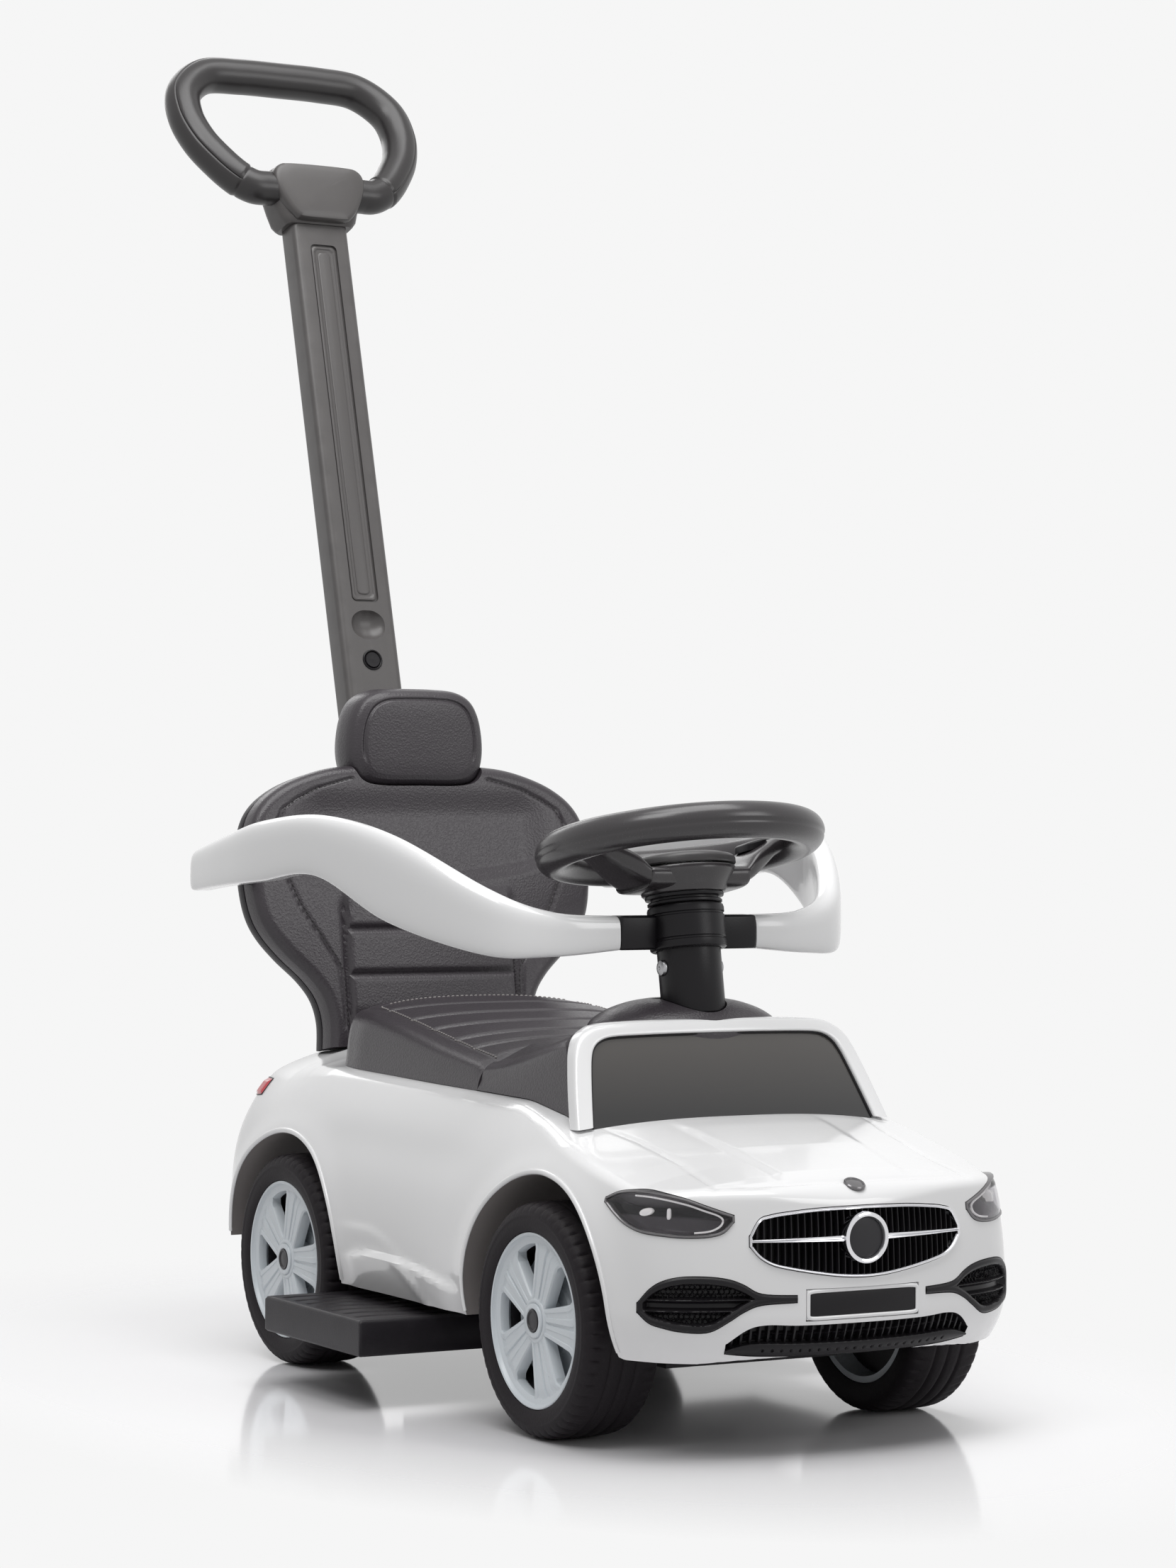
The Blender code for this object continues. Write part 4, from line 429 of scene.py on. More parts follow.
def resting_dust():
    """Mask of the dust that lies on upward faces."""
    tree, given, result = effect("resting_dust", [("Amount", "Float", 0.2)], [("Mask", "Float")])
    up = node(tree, "SeparateXYZ", {0: node(tree, "NewGeometry").outputs["Normal"]}).outputs["Z"]
    cloud = noise(tree, object_place(tree), 35.0, 6.0, 0.7)[0]
    lies = sum_of(tree, "MULTIPLY", spread(tree, up, 0.3, 1.0), spread(tree, cloud, 0.4, 0.75))
    tree.links.new(sum_of(tree, "MULTIPLY", lies, given["Amount"], clamp=True), result["Mask"])
    return tree


def batch_tone():
    """Slow drift of a colour, as between parts of one moulding."""
    tree, given, result = effect("batch_tone", [("Color", "Color", (0.5, 0.5, 0.5, 1)), ("Drift", "Float", 0.1)],
                                 [("Color", "Color")])
    slow = noise(tree, object_place(tree), 9.0, 3.0)[0]
    share = sum_of(tree, "MULTIPLY", sum_of(tree, "SUBTRACT", slow, 0.5), given["Drift"])
    value = sum_of(tree, "ADD", share, 1.0)
    tone = node(tree, "HueSaturation", {"Color": given["Color"], "Value": value}).outputs[0]
    tree.links.new(tone, result["Color"])
    return tree


MOULDED = moulded_surface()
HIDE = hide_surface()
EDGES = handled_edges()
DUST = resting_dust()
TONE = batch_tone()
DUST_COLOUR = (0.42, 0.40, 0.38, 1)


def finish(name, colour, roughness, grain=MOULDED, depth=0.1, scale=900.0, drift=0.08, wear=0.0, dust=0.0,
           spread_rough=0.08, **shader_values):
    """A material: base colour with drift, polished edges and dust, and a grain in its bump and roughness.

    The grain's depth is in millimetres; wear and dust are shares.
    """
    material = bpy.data.materials.new(name)
    material.use_nodes = True
    tree = material.node_tree
    shader = tree.nodes["Principled BSDF"]
    colour = tuple(colour) + (1.0,)
    base = node(tree, "Group", {"Color": colour, "Drift": drift}, node_tree=TONE).outputs[0]
    if wear:
        edges = node(tree, "Group", {"Amount": wear}, node_tree=EDGES).outputs[0]
        light = tuple(min(1.0, c * 1.6 + 0.02) for c in colour[:3]) + (1.0,)
        base = mixed_colour(tree, edges, base, light)
    if dust:
        cover = node(tree, "Group", {"Amount": dust}, node_tree=DUST).outputs[0]
        base = mixed_colour(tree, cover, base, DUST_COLOUR)
    tree.links.new(base, shader.inputs["Base Color"])
    group = node(tree, "Group", {0: scale}, node_tree=grain)
    relief = node(tree, "Bump", {"Strength": 1.0, "Distance": depth * 0.001, "Height": group.outputs[0]})
    tree.links.new(relief.outputs[0], shader.inputs["Normal"])
    rough = spread(tree, group.outputs[1], 0.2, 0.8, roughness - spread_rough / 2, roughness + spread_rough / 2)
    tree.links.new(rough, shader.inputs["Roughness"])
    for key, value in shader_values.items():
        shader.inputs[key.replace("_", " ")].default_value = value
    return material


WHITE = finish("gloss_white", (0.80, 0.80, 0.805), 0.20, depth=0.02, scale=300, drift=0.03, dust=0.03,
               spread_rough=0.05, Coat_Weight=0.5, Coat_Roughness=0.06)
# The wheel wells' insides: the white plastic darkened to a painted shade, with dust on top.
ARCH_PAINTED_SHADE = finish("arch_inside_painted_shade", (0.25, 0.23, 0.225), 0.5, depth=0.08, scale=500, dust=0.3)
BLACK = finish("moulded_black", (0.0115, 0.0098, 0.0125), 0.42, depth=0.10, scale=1100, wear=0.35, dust=0.04,
               Specular_IOR_Level=0.22)
SATIN = finish("satin_charcoal", (0.045, 0.043, 0.044), 0.40, depth=0.06, scale=1300, wear=0.4, dust=0.03)
STEEL = finish("plain_steel", (0.36, 0.36, 0.37), 0.34, depth=0.03, scale=500, wear=0.3, Metallic=1.0)
CHROME = finish("bright_plating", (0.70, 0.70, 0.72), 0.11, depth=0.01, scale=200, drift=0.02, spread_rough=0.03,
                Metallic=1.0)
HIDE_DARK = finish("sewn_hide", (0.036, 0.0305, 0.036), 0.35, grain=HIDE, depth=0.09, scale=760, drift=0.12,
                   wear=0.25, Specular_IOR_Level=0.48)
TYRE_BLACK = finish("tyre_black", (0.0105, 0.0082, 0.0102), 0.60, depth=0.12, scale=800, wear=0.20, dust=0.07,
                    Specular_IOR_Level=0.18)
WHEEL_BLUE = finish("wheel_blue_grey", (0.60, 0.64, 0.67), 0.30, depth=0.03, scale=700, drift=0.05, dust=0.06)
# A darker copy of the wheels' blue-grey for the disc behind the spokes: painted shade, with dust.
WHEEL_BACK_PAINTED_SHADE = finish("wheel_back_painted_shade", (0.42, 0.45, 0.48), 0.45, depth=0.05, scale=700, dust=0.1)
SMOKED = finish("smoked_gloss", (0.060, 0.058, 0.060), 0.16, depth=0.01, scale=200, drift=0.05, spread_rough=0.04,
                Coat_Weight=0.6, Coat_Roughness=0.05)
LAMP_DARK = finish("lamp_dark", (0.006, 0.006, 0.007), 0.22, depth=0.001, scale=200, spread_rough=0.04,
                   Specular_IOR_Level=0.35)
LAMP_GREY = finish("lamp_bezel_grey", (0.16, 0.155, 0.16), 0.22, depth=0.01, scale=200, Metallic=0.6)
LAMP_BRIGHT = finish("lamp_bright", (0.92, 0.92, 0.90), 0.14, depth=0.005, scale=200, drift=0.02,
                     Emission_Color=(1.0, 0.99, 0.96, 1.0), Emission_Strength=0.3)
LAMP_COVER = finish("lamp_cover_smoked", (0.66, 0.65, 0.67), 0.05, depth=0.0004, scale=200, drift=0.02,
                    spread_rough=0.0, Transmission_Weight=1.0, IOR=1.25)
TRIM_BLACK = finish("trim_black", (0.0085, 0.0076, 0.0092), 0.34, depth=0.05, scale=1000, dust=0.02,
                    Specular_IOR_Level=0.22)
CAP_DARK = finish("cap_dark", (0.018, 0.017, 0.020), 0.34, depth=0.01, scale=300, Specular_IOR_Level=0.35)
GRAPHITE = finish("graphite_plastic", (0.072, 0.067, 0.066), 0.36, depth=0.05, scale=1400, wear=0.3, dust=0.03)
RIM_BLACK = finish("rim_black", (0.032, 0.0285, 0.031), 0.25, depth=0.02, scale=1300, wear=0.3, dust=0.02,
                   Specular_IOR_Level=0.58)
GRIP_BLACK = finish("grip_black", (0.017, 0.0150, 0.0155), 0.32, depth=0.04, scale=1400, wear=0.3, dust=0.02)
THREAD = finish("seam_thread", (0.24, 0.225, 0.22), 0.6, depth=0.05, scale=2500)
HIDE_SEAM = finish("hide_seam", (0.024, 0.022, 0.023), 0.5, grain=HIDE, depth=0.05, scale=900)
RED = finish("clear_red", (0.55, 0.02, 0.035), 0.12, depth=0.01, scale=200, spread_rough=0.03, Coat_Weight=1.0)


def painted_light_by_height(material, first_colour, steps, lean=0.0):
    """Paints light and shade into the base colour, changing with height; lean lowers it towards the sides.

    The steps are (z where the change starts, z where it ends, the next colour).
    """
    tree = material.node_tree
    place = node(tree, "SeparateXYZ", {0: object_place(tree)}).outputs
    sideways = node(tree, "Math", {0: place["X"]}, operation="ABSOLUTE").outputs[0]
    height = sum_of(tree, "ADD", place["Z"], sum_of(tree, "MULTIPLY", sideways, -lean))
    mixed = first_colour + (1,)
    for start, end, colour in steps:
        mixed = mixed_colour(tree, spread(tree, height, start, end), mixed, colour + (1,))
    tree.links.new(mixed, tree.nodes["Principled BSDF"].inputs["Base Color"])
    return material


# The smoked screen is painted lighter towards its top: a painted reflection over its dark tint.
SCREEN_SMOKE_PAINTED_REFLECTION = painted_light_by_height(finish("screen_smoke_painted_reflection", (0.1, 0.1, 0.1), 0.14, depth=0.006, scale=150, spread_rough=0.04,
                                   Coat_Weight=0.5, Coat_Roughness=0.05),
                            (0.010, 0.0095, 0.010), [(0.192, 0.240, (0.066, 0.060, 0.055))])
# The reflector is grey below, dark along its middle and pale above; the pale band above is a painted reflection
LAMP_BOWL_PAINTED_LIGHT = painted_light_by_height(finish("lamp_bowl", (0.1, 0.1, 0.1), 0.25, depth=0.001, scale=200, spread_rough=0.0),
                         (0.085, 0.079, 0.085), [(0.1396, 0.1408, (0.004, 0.004, 0.005)),
                                                 (0.1453, 0.1530, (0.36, 0.35, 0.36))], lean=0.02)


# Body skin

def plan_line(steps):
    """The widest outline, as rows of x, y and the outward direction."""
    line = flowing(both_sides(PLAN_HALF), steps, closed=True)
    run = np.roll(line, -1, axis=0) - np.roll(line, 1, axis=0)
    run /= np.linalg.norm(run, axis=1)[:, None]
    return np.hstack([line, run[:, 1:], -run[:, :1]])


def crest(x, y):
    return linear(CREST_Z, y) - linear(CROWN_DROP, y) * (np.abs(x) / 0.13) ** 2.5


def skin_inset(share, y):
    rise = np.maximum(0.0, (share - 0.3) / 0.7) ** 2.4
    tuck = np.maximum(0.0, 1 - np.maximum(share, 0.0) / 0.3) ** 2
    return linear(SHOULDER_INSET, y) * rise + linear(SKIRT_TUCK, y) * tuck


def edge_height(x, y, nx, ny):
    inset = linear(SHOULDER_INSET, y)
    return crest(x - nx * inset, y - ny * inset)


HOOD_CREASE = [(-0.392, 0.043), (-0.340, 0.047), (-0.286, 0.052)]
HOOD_EDGE = [(0.0945, -0.275), (0.0890, -0.300), (0.0855, -0.345), (0.0880, -0.388)]
HOOD_FRONT = [(0.0880, -0.388), (0.070, -0.3935), (0.040, -0.3965), (0.0, -0.3975)]


def side_relief(x, y, z):
    """How far the side skin stands out: flares over the wheels and the sill's scoop."""
    out = np.zeros_like(x)
    at_side = soft_step(np.abs(x), 0.115, 0.135)
    for end, axle_y in AXLES:
        past = np.hypot(y - axle_y, z - HUB_Z) - ARCH_R[end]
        out = np.maximum(out, 0.0026 * bump(np.maximum(past, 0.0), 0.0120))
    ledge = 0.0905 - np.where(y < -0.062, 1.0, 2.2) * (y + 0.062) ** 2
    ends = soft_step(y, -0.176, -0.150) * (1 - soft_step(y, -0.030, -0.006))
    out += 0.0046 * soft_step(ledge - z, -0.0012, 0.0034) * ends * (1 - 0.40 * soft_step(ledge - z, 0.010, 0.034))
    crease = 0.1055 - 2.1 * np.maximum(0.0, -0.045 - y) ** 1.6
    upper_ends = soft_step(y, -0.182, -0.150) * (1 - soft_step(y, -0.030, 0.0))
    out += 0.0013 * soft_step(crease - z, -0.0020, 0.0022) * (1 - soft_step(crease - z, 0.003, 0.013)) * upper_ends
    out -= 0.0016 * bump(z - 0.158, 0.016) * soft_step(y, -0.20, -0.14) * (1 - soft_step(y, 0.0, 0.06))
    return out * at_side


def hood_relief(x, y):
    """How far the hood stands up: the raised middle and the shallow shut lines."""
    x = np.abs(x)
    on_hood = 1 - soft_step(y, -0.300, -0.272)
    crease_x = linear(HOOD_CREASE, y)
    middle = 0.0013 * soft_step(crease_x - x, -0.004, 0.004) * on_hood * soft_step(y, -0.400, -0.385)
    shut = line_distance(HOOD_EDGE, x, y)
    front = line_distance(HOOD_FRONT, x, y)
    return middle - 0.0010 * bump(shut, 0.0017) - 0.0009 * bump(front, 0.0017)


def skin_grid(side_shares, top_shares, inward=0.0, relief=True):
    """Rows of points up the sides and in over the top."""
    x, y, nx, ny = plan_line(20 if relief else 3).T
    rows = []
    for share in side_shares:
        push = -inward - skin_inset(share, y)
        low = linear(SKIRT_Z, y)
        z = low + (edge_height(x, y, nx, ny) - inward - low) * share
        px, py = x + nx * push, y + ny * push
        if relief:
            out = side_relief(px, py, z)
            px, py = px + nx * out, py + ny * out
        rows.append(xyz(px, py, z))
    inset = inward + linear(SHOULDER_INSET, y)
    edge_x, edge_y = x - nx * inset, y - ny * inset
    spine_y = np.clip(edge_y, -0.33, 0.14)
    for share in top_shares:
        px = edge_x * (1 - share)
        py = edge_y + (spine_y - edge_y) * share
        z = crest(px, py) - inward
        if relief:
            z = z + hood_relief(px, py)
        rows.append(xyz(px, py, z))
    return np.array(rows)


def body_skin():
    """The whole skin, with the turn from side to top smoothed."""
    side = np.linspace(0, 1, 66)
    top = np.linspace(0.02, 0.99, 64)
    grid = skin_grid(side, top)
    for reach, times in ((5, 5), (2, 3)):
        band = slice(len(side) - reach, len(side) + reach)
        for _ in range(times):
            smooth = grid.copy()
            smooth[1:-1] = 0.25 * grid[:-2] + 0.5 * grid[1:-1] + 0.25 * grid[2:]
            grid[band] = smooth[band]
    return Form().grid(grid, wrap_columns=True, caps="strip")


SKIN = body_skin()
SKIN_TREE = BVHTree.FromPolygons(np.vstack(SKIN.points).tolist(), SKIN.faces)
FINE_PLAN = plan_line(24)
FINE_PLAN = FINE_PLAN[:len(FINE_PLAN) // 2 + 1]
GIRTH = np.concatenate([[0], np.cumsum(np.hypot(*np.diff(FINE_PLAN[:, :2], axis=0).T))])


def skin_point(girth, z, out=0.0):
    """Points at a girth from the nose, positive to the left, and a height, pushed out of the skin."""
    girth, z, out = np.broadcast_arrays(np.asarray(girth, float), np.asarray(z, float), np.asarray(out, float))
    x, y, nx, ny = [np.interp(np.abs(girth), GIRTH, FINE_PLAN[:, k]) for k in range(4)]
    low = linear(SKIRT_Z, y)
    share = (z - low) / (edge_height(x, y, nx, ny) - low)
    push = out - skin_inset(share, y)
    return xyz(np.where(girth >= 0, 1, -1) * (x + nx * push), y + ny * push, z)


class Panel:
    """A trim panel in the skin: its outline as stations of (girth, low z, high z)."""

    def __init__(self, stations, side=0):
        across_nose = [(-g, a, b) for g, a, b in stations[:0:-1]] + stations
        self.girth, self.low, self.high = flowing(stations if side else across_nose, 6).T
        self.girth = self.girth * (side or 1)
        self.way = np.sign(self.girth[-1] - self.girth[0])

    def slab(self, columns, rows, front, back, grow=0.0):
        """A closed plate over the panel; front is a height or a rule of shares."""
        u, v = np.meshgrid(np.linspace(0, 1, columns), np.linspace(0, 1, rows), indexing="ij")
        spot = u * (len(self.girth) - 1)
        index = np.arange(len(self.girth))
        girth, low, high = [np.interp(spot, index, line) for line in (self.girth, self.low, self.high)]
        girth = girth + self.way * grow * ((u == 1) * 1.0 - (u == 0) * 1.0)
        low, high = low - grow, high + grow
        z = low + (high - low) * v
        out = front(girth, z, low, high) if callable(front) else front
        return Form().slab(skin_point(girth, z, out), skin_point(girth, z, back))

    def rim(self, inset):
        """The outline as (girth, z) points once round, moved in by an inset."""
        upper, lower = [np.stack([self.girth, z], axis=1) for z in (self.high, self.low)]
        loop = np.vstack([upper, lower[::-1]])
        run = np.roll(loop, -1, axis=0) - np.roll(loop, 1, axis=0)
        run /= np.maximum(np.linalg.norm(run, axis=1), 1e-9)[:, None]
        return loop + np.stack([run[:, 1], -run[:, 0]], axis=1) * inset * self.way

    def band(self, profile):
        """A closed ring along the outline; the profile is points of (inset, out)."""
        return lofted([skin_point(*self.rim(inset).T, out) for inset, out in profile], closed=True)


HEADLIGHT = [
    (0.0840, 0.1405, 0.1442), (0.0900, 0.1345, 0.1462), (0.0990, 0.1320, 0.1492), (0.1140, 0.1315, 0.1540),
    (0.1290, 0.1325, 0.1567), (0.1420, 0.1340, 0.1577), (0.1550, 0.1378, 0.1572), (0.1660, 0.1432, 0.1556),
    (0.1760, 0.1492, 0.1516),
]
INTAKE = [
    (0.0456, 0.0930, 0.0970), (0.0674, 0.0922, 0.0985), (0.0784, 0.0884, 0.1040), (0.0870, 0.0832, 0.1072),
    (0.0992, 0.0770, 0.1090), (0.1152, 0.0772, 0.1090), (0.1270, 0.0795, 0.1062), (0.1349, 0.0820, 0.1012),
    (0.1420, 0.0880, 0.0932),
]
GRILLE = [
    (0, 0.1060, 0.1476), (0.0160, 0.1068, 0.1474), (0.0335, 0.1092, 0.1469), (0.0500, 0.1122, 0.1456),
    (0.0610, 0.1150, 0.1442), (0.0690, 0.1195, 0.1415), (0.0750, 0.1262, 0.1320),
]
CHIN = [
    (0, 0.0600, 0.0790), (0.0420, 0.0605, 0.0790), (0.0640, 0.0612, 0.0800), (0.0760, 0.0620, 0.0775),
    (0.0880, 0.0635, 0.0690),
]
TAILLIGHT = [
    (0.6770, 0.1775, 0.1880), (0.6900, 0.1766, 0.1884), (0.7100, 0.1764, 0.1880), (0.7500, 0.1764, 0.1850),
]
LENS_DEPTH = 0.0075
TRIM_GAP = 0.0004
PLATE_HALF_W = 0.0393
PLATE_Z = (0.0820, 0.1000)
PLATE_FRONT, PLATE_BACK = -0.4121, -0.4066
COLUMN_LEAN, MAST_LEAN, BACK_LEAN = [math.radians(angle) for angle in (10, 15.6, 9)]
COLUMN = Vector((0, math.sin(COLUMN_LEAN), math.cos(COLUMN_LEAN)))
COLUMN_REAR = Vector((0, COLUMN.z, -COLUMN.y))
WHEEL_Z = 0.359
WHEEL_CENTRE = Vector((0, -0.200, WHEEL_Z))
CLAMP_Z = (0.2900, 0.3175)
COLUMN_BOLT = -0.0812
MAST = Vector((0, math.sin(MAST_LEAN), math.cos(MAST_LEAN)))
MAST_REAR = Vector((0, MAST.z, -MAST.y))
MAST_FRONT = Vector((0, 0.3249, 0.8009))
MAST_DEPTH = 0.0240
MAST_BUTTON_Z = 0.4860


def column_point(along, across=0.0, sideways=0.0):
    return WHEEL_CENTRE + COLUMN * along + COLUMN_REAR * across + Vector((sideways, 0, 0))


def mast_point(z, across=0.0, sideways=0.0):
    return MAST_FRONT + MAST * ((z - MAST_FRONT.z) / MAST.z) + MAST_REAR * across + Vector((sideways, 0, 0))


def mast_bar(low_z, high_z, half_w, near, far):
    corners = [(-half_w, near), (half_w, near), (half_w, far), (-half_w, far)]
    rings = [[mast_point(z, across, x) for x, across in corners] for z in (low_z, high_z)]
    return lofted(rings)


def arch_line(end, side):
    """Points on the skin just outside a wheel's arch."""
    axle_y, radius = dict(AXLES)[end], ARCH_R[end] + 0.0013
    points = []
    for angle in np.linspace(-0.35, math.pi + 0.35, 90):
        y, z = axle_y + radius * math.cos(angle), HUB_Z + radius * math.sin(angle)
        hit = SKIN_TREE.ray_cast(Vector((side * 0.3, y, z)), Vector((-side, 0, 0)))
        if hit[0] and z > np.interp(hit[0].y, *zip(*SKIRT_Z)) + 0.001 and abs(hit[0].x) > 0.075:
            points.append(hit[0])
    return points


# Boxes cut out of the body, from corner to corner
STEERING_ROOM = ((-0.070, -0.2935, 0.0), (0.070, -0.218, 0.107))
AXLE_ROOM = ((-0.070, 0.0779, 0.0), (0.070, 0.0881, 0.0761))
BIN_OPENING = ((-0.0563, -0.0963, 0.074), (0.0563, 0.0623, 0.25))


def body_hollow():
    """Forms under the skin: the hollow, the steering carrier's room and the axle block's room."""
    recess = skin_grid(np.linspace(0, 1, 2), [0.5, 0.95], 0.004, relief=False)
    recess[0, :, 2], recess[1:, :, 2] = 0.03, 0.0690
    hollow = Form().grid(recess, wrap_columns=True, caps="strip")
    return [hollow, box_form(*STEERING_ROOM), box_form(*AXLE_ROOM)]


def trim_pockets():
    """The pockets of the lamps, intakes and grilles."""
    floor = -LENS_DEPTH - 0.0005
    pockets = [Panel(stations, side).slab(48, rows, 0.006, floor, TRIM_GAP)
               for side in (1, -1) for stations, rows in ((HEADLIGHT, 10), (INTAKE, 10), (TAILLIGHT, 4))]
    grille = Panel(GRILLE).slab(72, 8, 0.006, floor, TRIM_GAP)
    chin = Panel(CHIN).slab(60, 4, 0.014, -LENS_DEPTH - 0.004, TRIM_GAP)
    return joined(*pockets, grille, chin)


def body_holes():
    """The plate's seat, the bin's opening, and the holes of the steering column and the mast's socket."""
    plate_w = PLATE_HALF_W + TRIM_GAP
    return joined(
        box_form((-plate_w, -0.43, PLATE_Z[0] - TRIM_GAP), (plate_w, -0.400, PLATE_Z[1] + TRIM_GAP)),
        box_form(*BIN_OPENING),
        lathed([(0.011, -0.22), (0.011, -0.14)], WHEEL_CENTRE, COLUMN, 48),
        mast_bar(0.085, 0.28, 0.0273, -0.0043, 0.0283),
    )


def build_body():
    body = shaped("white_body", SKIN, WHITE)
    wells = [lathed([(ARCH_R[end], 0.064), (ARCH_R[end], 0.20)], (0, y, HUB_Z), (side, 0, 0), 128)
             for end, y in AXLES for side in (1, -1)]
    # The wells' cut walls take a dark grey that is painted shade on the white plastic.
    carved(body, joined(*wells), ARCH_PAINTED_SHADE)
    for form in body_hollow() + [trim_pockets()]:
        carved(body, form, BLACK)
    carved(body, body_holes(), WHITE)
    fitted(body, "car", "body_shell")


def build_arch_lips():
    for end in ARCH_R:
        for side, word in LEFT_RIGHT:
            lip = carried(arch_line(end, side), oval(0.0018, 0.0012, 14), (side, 0, 0))
            add("arch_lip_" + end + "_" + word, lip, WHITE, "car")


DISC_PROFILE = [
    (0.0066, 0.0), (0.0066, 0.0012), (0.0060, 0.0018), (0.0054, 0.0018), (0.0050, 0.0012), (0.0030, 0.0014),
    (0.0004, 0.0015),
]


def build_hood_disc():
    """The bare disc on the hood, just behind its front edge."""
    y = skin_point(0.0, 0.1555)[1] + 0.0085
    disc = lathed(DISC_PROFILE, Vector((0, y, crest(0, y) - 0.0004)), (0, -0.45, 1), 48)
    add("hood_disc", disc, LAMP_GREY, "car")


# Front trim

def edges_at(stations, girth):
    """Low and high edge of a trim panel at a girth."""
    line = flowing(stations, 6)
    return [np.interp(np.abs(girth), line[:, 0], line[:, k]) for k in (1, 2)]


def honeycomb(across, up, pitch):
    """1 on the walls of six-sided cells and 0 inside them."""
    a, b = across / pitch, up / (pitch * 1.732)
    cells = []
    for shift in (0.0, 0.5):
        u = a + shift - np.round(a + shift)
        v = (b + shift - np.round(b + shift)) * 1.732
        cells.append(np.maximum(np.abs(u), np.abs(u) * 0.5 + np.abs(v) * 0.866))
    return soft_step(np.minimum(*cells), 0.35, 0.44)


def skin_stud(girth, z, outline, layers):
    """A small raised piece on the skin: an outline of (girth, z) offsets, in layers of (size, out)."""
    rings = [skin_point(girth + outline[:, 0] * size, z + outline[:, 1] * size, out) for size, out in layers]
    return lofted(rings)


def lamp_bowl(girth, z, low, high):
    """The dark reflector: a lip, a deep middle and a step under the projector."""
    edge = np.minimum(z - low, high - z)
    middle = (low + high) / 2
    return -0.0022 - 0.0040 * soft_step(edge, 0.0006, 0.0034) + 0.0008 * soft_step(z - middle, 0.0004, 0.0016)


def lamp_cover(girth, z, low, high):
    """The clear cover, bulged a little inside its edge."""
    return 0.0003 + 0.0007 * soft_step(np.minimum(z - low, high - z), 0, 0.004)


# (inset, out) round the lamp, and (size, out) of the lights in it
LAMP_BEZEL = [
    (0.0, -0.0060), (0.0, 0.0004), (0.0005, 0.0011), (0.0011, 0.0011), (0.0016, 0.0004), (0.0016, -0.0060),
]
PROJECTOR = [
    (1.0, -0.0062), (1.0, -0.0026), (0.86, -0.0020), (0.80, -0.0027), (0.45, -0.0020), (0.1, -0.0018),
]
LIGHT_BAR = [(1.0, -0.0062), (1.0, -0.0026), (0.7, -0.0019)]
# The light strip: (girth, distance under the upper edge), then (girth, z, out) round the inner end
STRIP_DROPS = [
    (0.150, 0.0034), (0.138, 0.0036), (0.125, 0.0036), (0.112, 0.0035), (0.102, 0.0034), (0.0935, 0.0034),
]
STRIP_END = [
    (0.0905, 0.1412, -0.0012), (0.0925, 0.1378, -0.0012), (0.0985, 0.1352, -0.0012), (0.108, 0.1342, -0.0014),
]


def lamp_lights(side):
    """The projector, leaned with the lamp, and the upright bar beside it."""
    leaned = oval(0.0052, 0.0022, 36) @ np.array([[0.98, -0.16 * side], [0.16 * side, 0.98]])
    return joined(skin_stud(side * 0.1405, 0.1452, leaned, PROJECTOR),
                  skin_stud(side * 0.1240, 0.1446, oval(0.0013, 0.0031, 24, 3.5), LIGHT_BAR))


def lamp_strip(side):
    """The thin light under the lamp's upper edge and round its inner end."""
    top = [(g, edges_at(HEADLIGHT, g)[1] - drop, -0.0012) for g, drop in STRIP_DROPS]
    line = flowing([(side * g, z, out) for g, z, out in top + STRIP_END], 6)
    return carried(skin_point(*line.T), oval(0.0006, 0.0006, 10), (0, 0, 1))


def build_headlights():
    for side, word in LEFT_RIGHT:
        panel = Panel(HEADLIGHT, side)
        solid = "headlight_" + word
        bowl = panel.slab(120, 40, lamp_bowl, -LENS_DEPTH, -0.0002)
        # The bowl's pale upper band is a painted reflection.
        add("headlight_bowl_" + word, bowl, LAMP_BOWL_PAINTED_LIGHT, "car", solid)
        add("headlight_bezel_" + word, panel.band(LAMP_BEZEL), LAMP_GREY, "car")
        add("headlight_projector_" + word, lamp_lights(side), LAMP_BRIGHT, "car")
        add("headlight_strip_" + word, lamp_strip(side), LAMP_BRIGHT, "car")
        cover = panel.slab(72, 18, lamp_cover, -0.0006, -0.0014)
        add("headlight_cover_" + word, cover, LAMP_COVER, "car")


def tail_lens(girth, z, low, high):
    """The red lens: a soft edge and upright flutes."""
    girth = np.abs(girth)
    ends = np.minimum(girth - TAILLIGHT[0][0], TAILLIGHT[-1][0] - girth)
    edge = np.minimum(np.minimum(z - low, high - z), ends)
    flute = np.abs(np.sin(girth / 0.0042 * math.pi))
    return 0.0006 + 0.0013 * soft_step(edge, 0.0, 0.0022) + 0.0003 * flute * soft_step(edge, 0.0016, 0.0026)


TAIL_SEAL = [(-0.0004, -0.0040), (-0.0004, 0.0004), (0.0, 0.0009), (0.0004, 0.0004), (0.0004, -0.0040)]


def build_tail_lamps():
    for side, word in LEFT_RIGHT:
        panel = Panel(TAILLIGHT, side)
        add("tail_lamp_" + word, panel.slab(160, 14, tail_lens, -LENS_DEPTH), RED, "car", "taillight_" + word)
        add("tail_lamp_seal_" + word, panel.band(TAIL_SEAL), BLACK, "car")


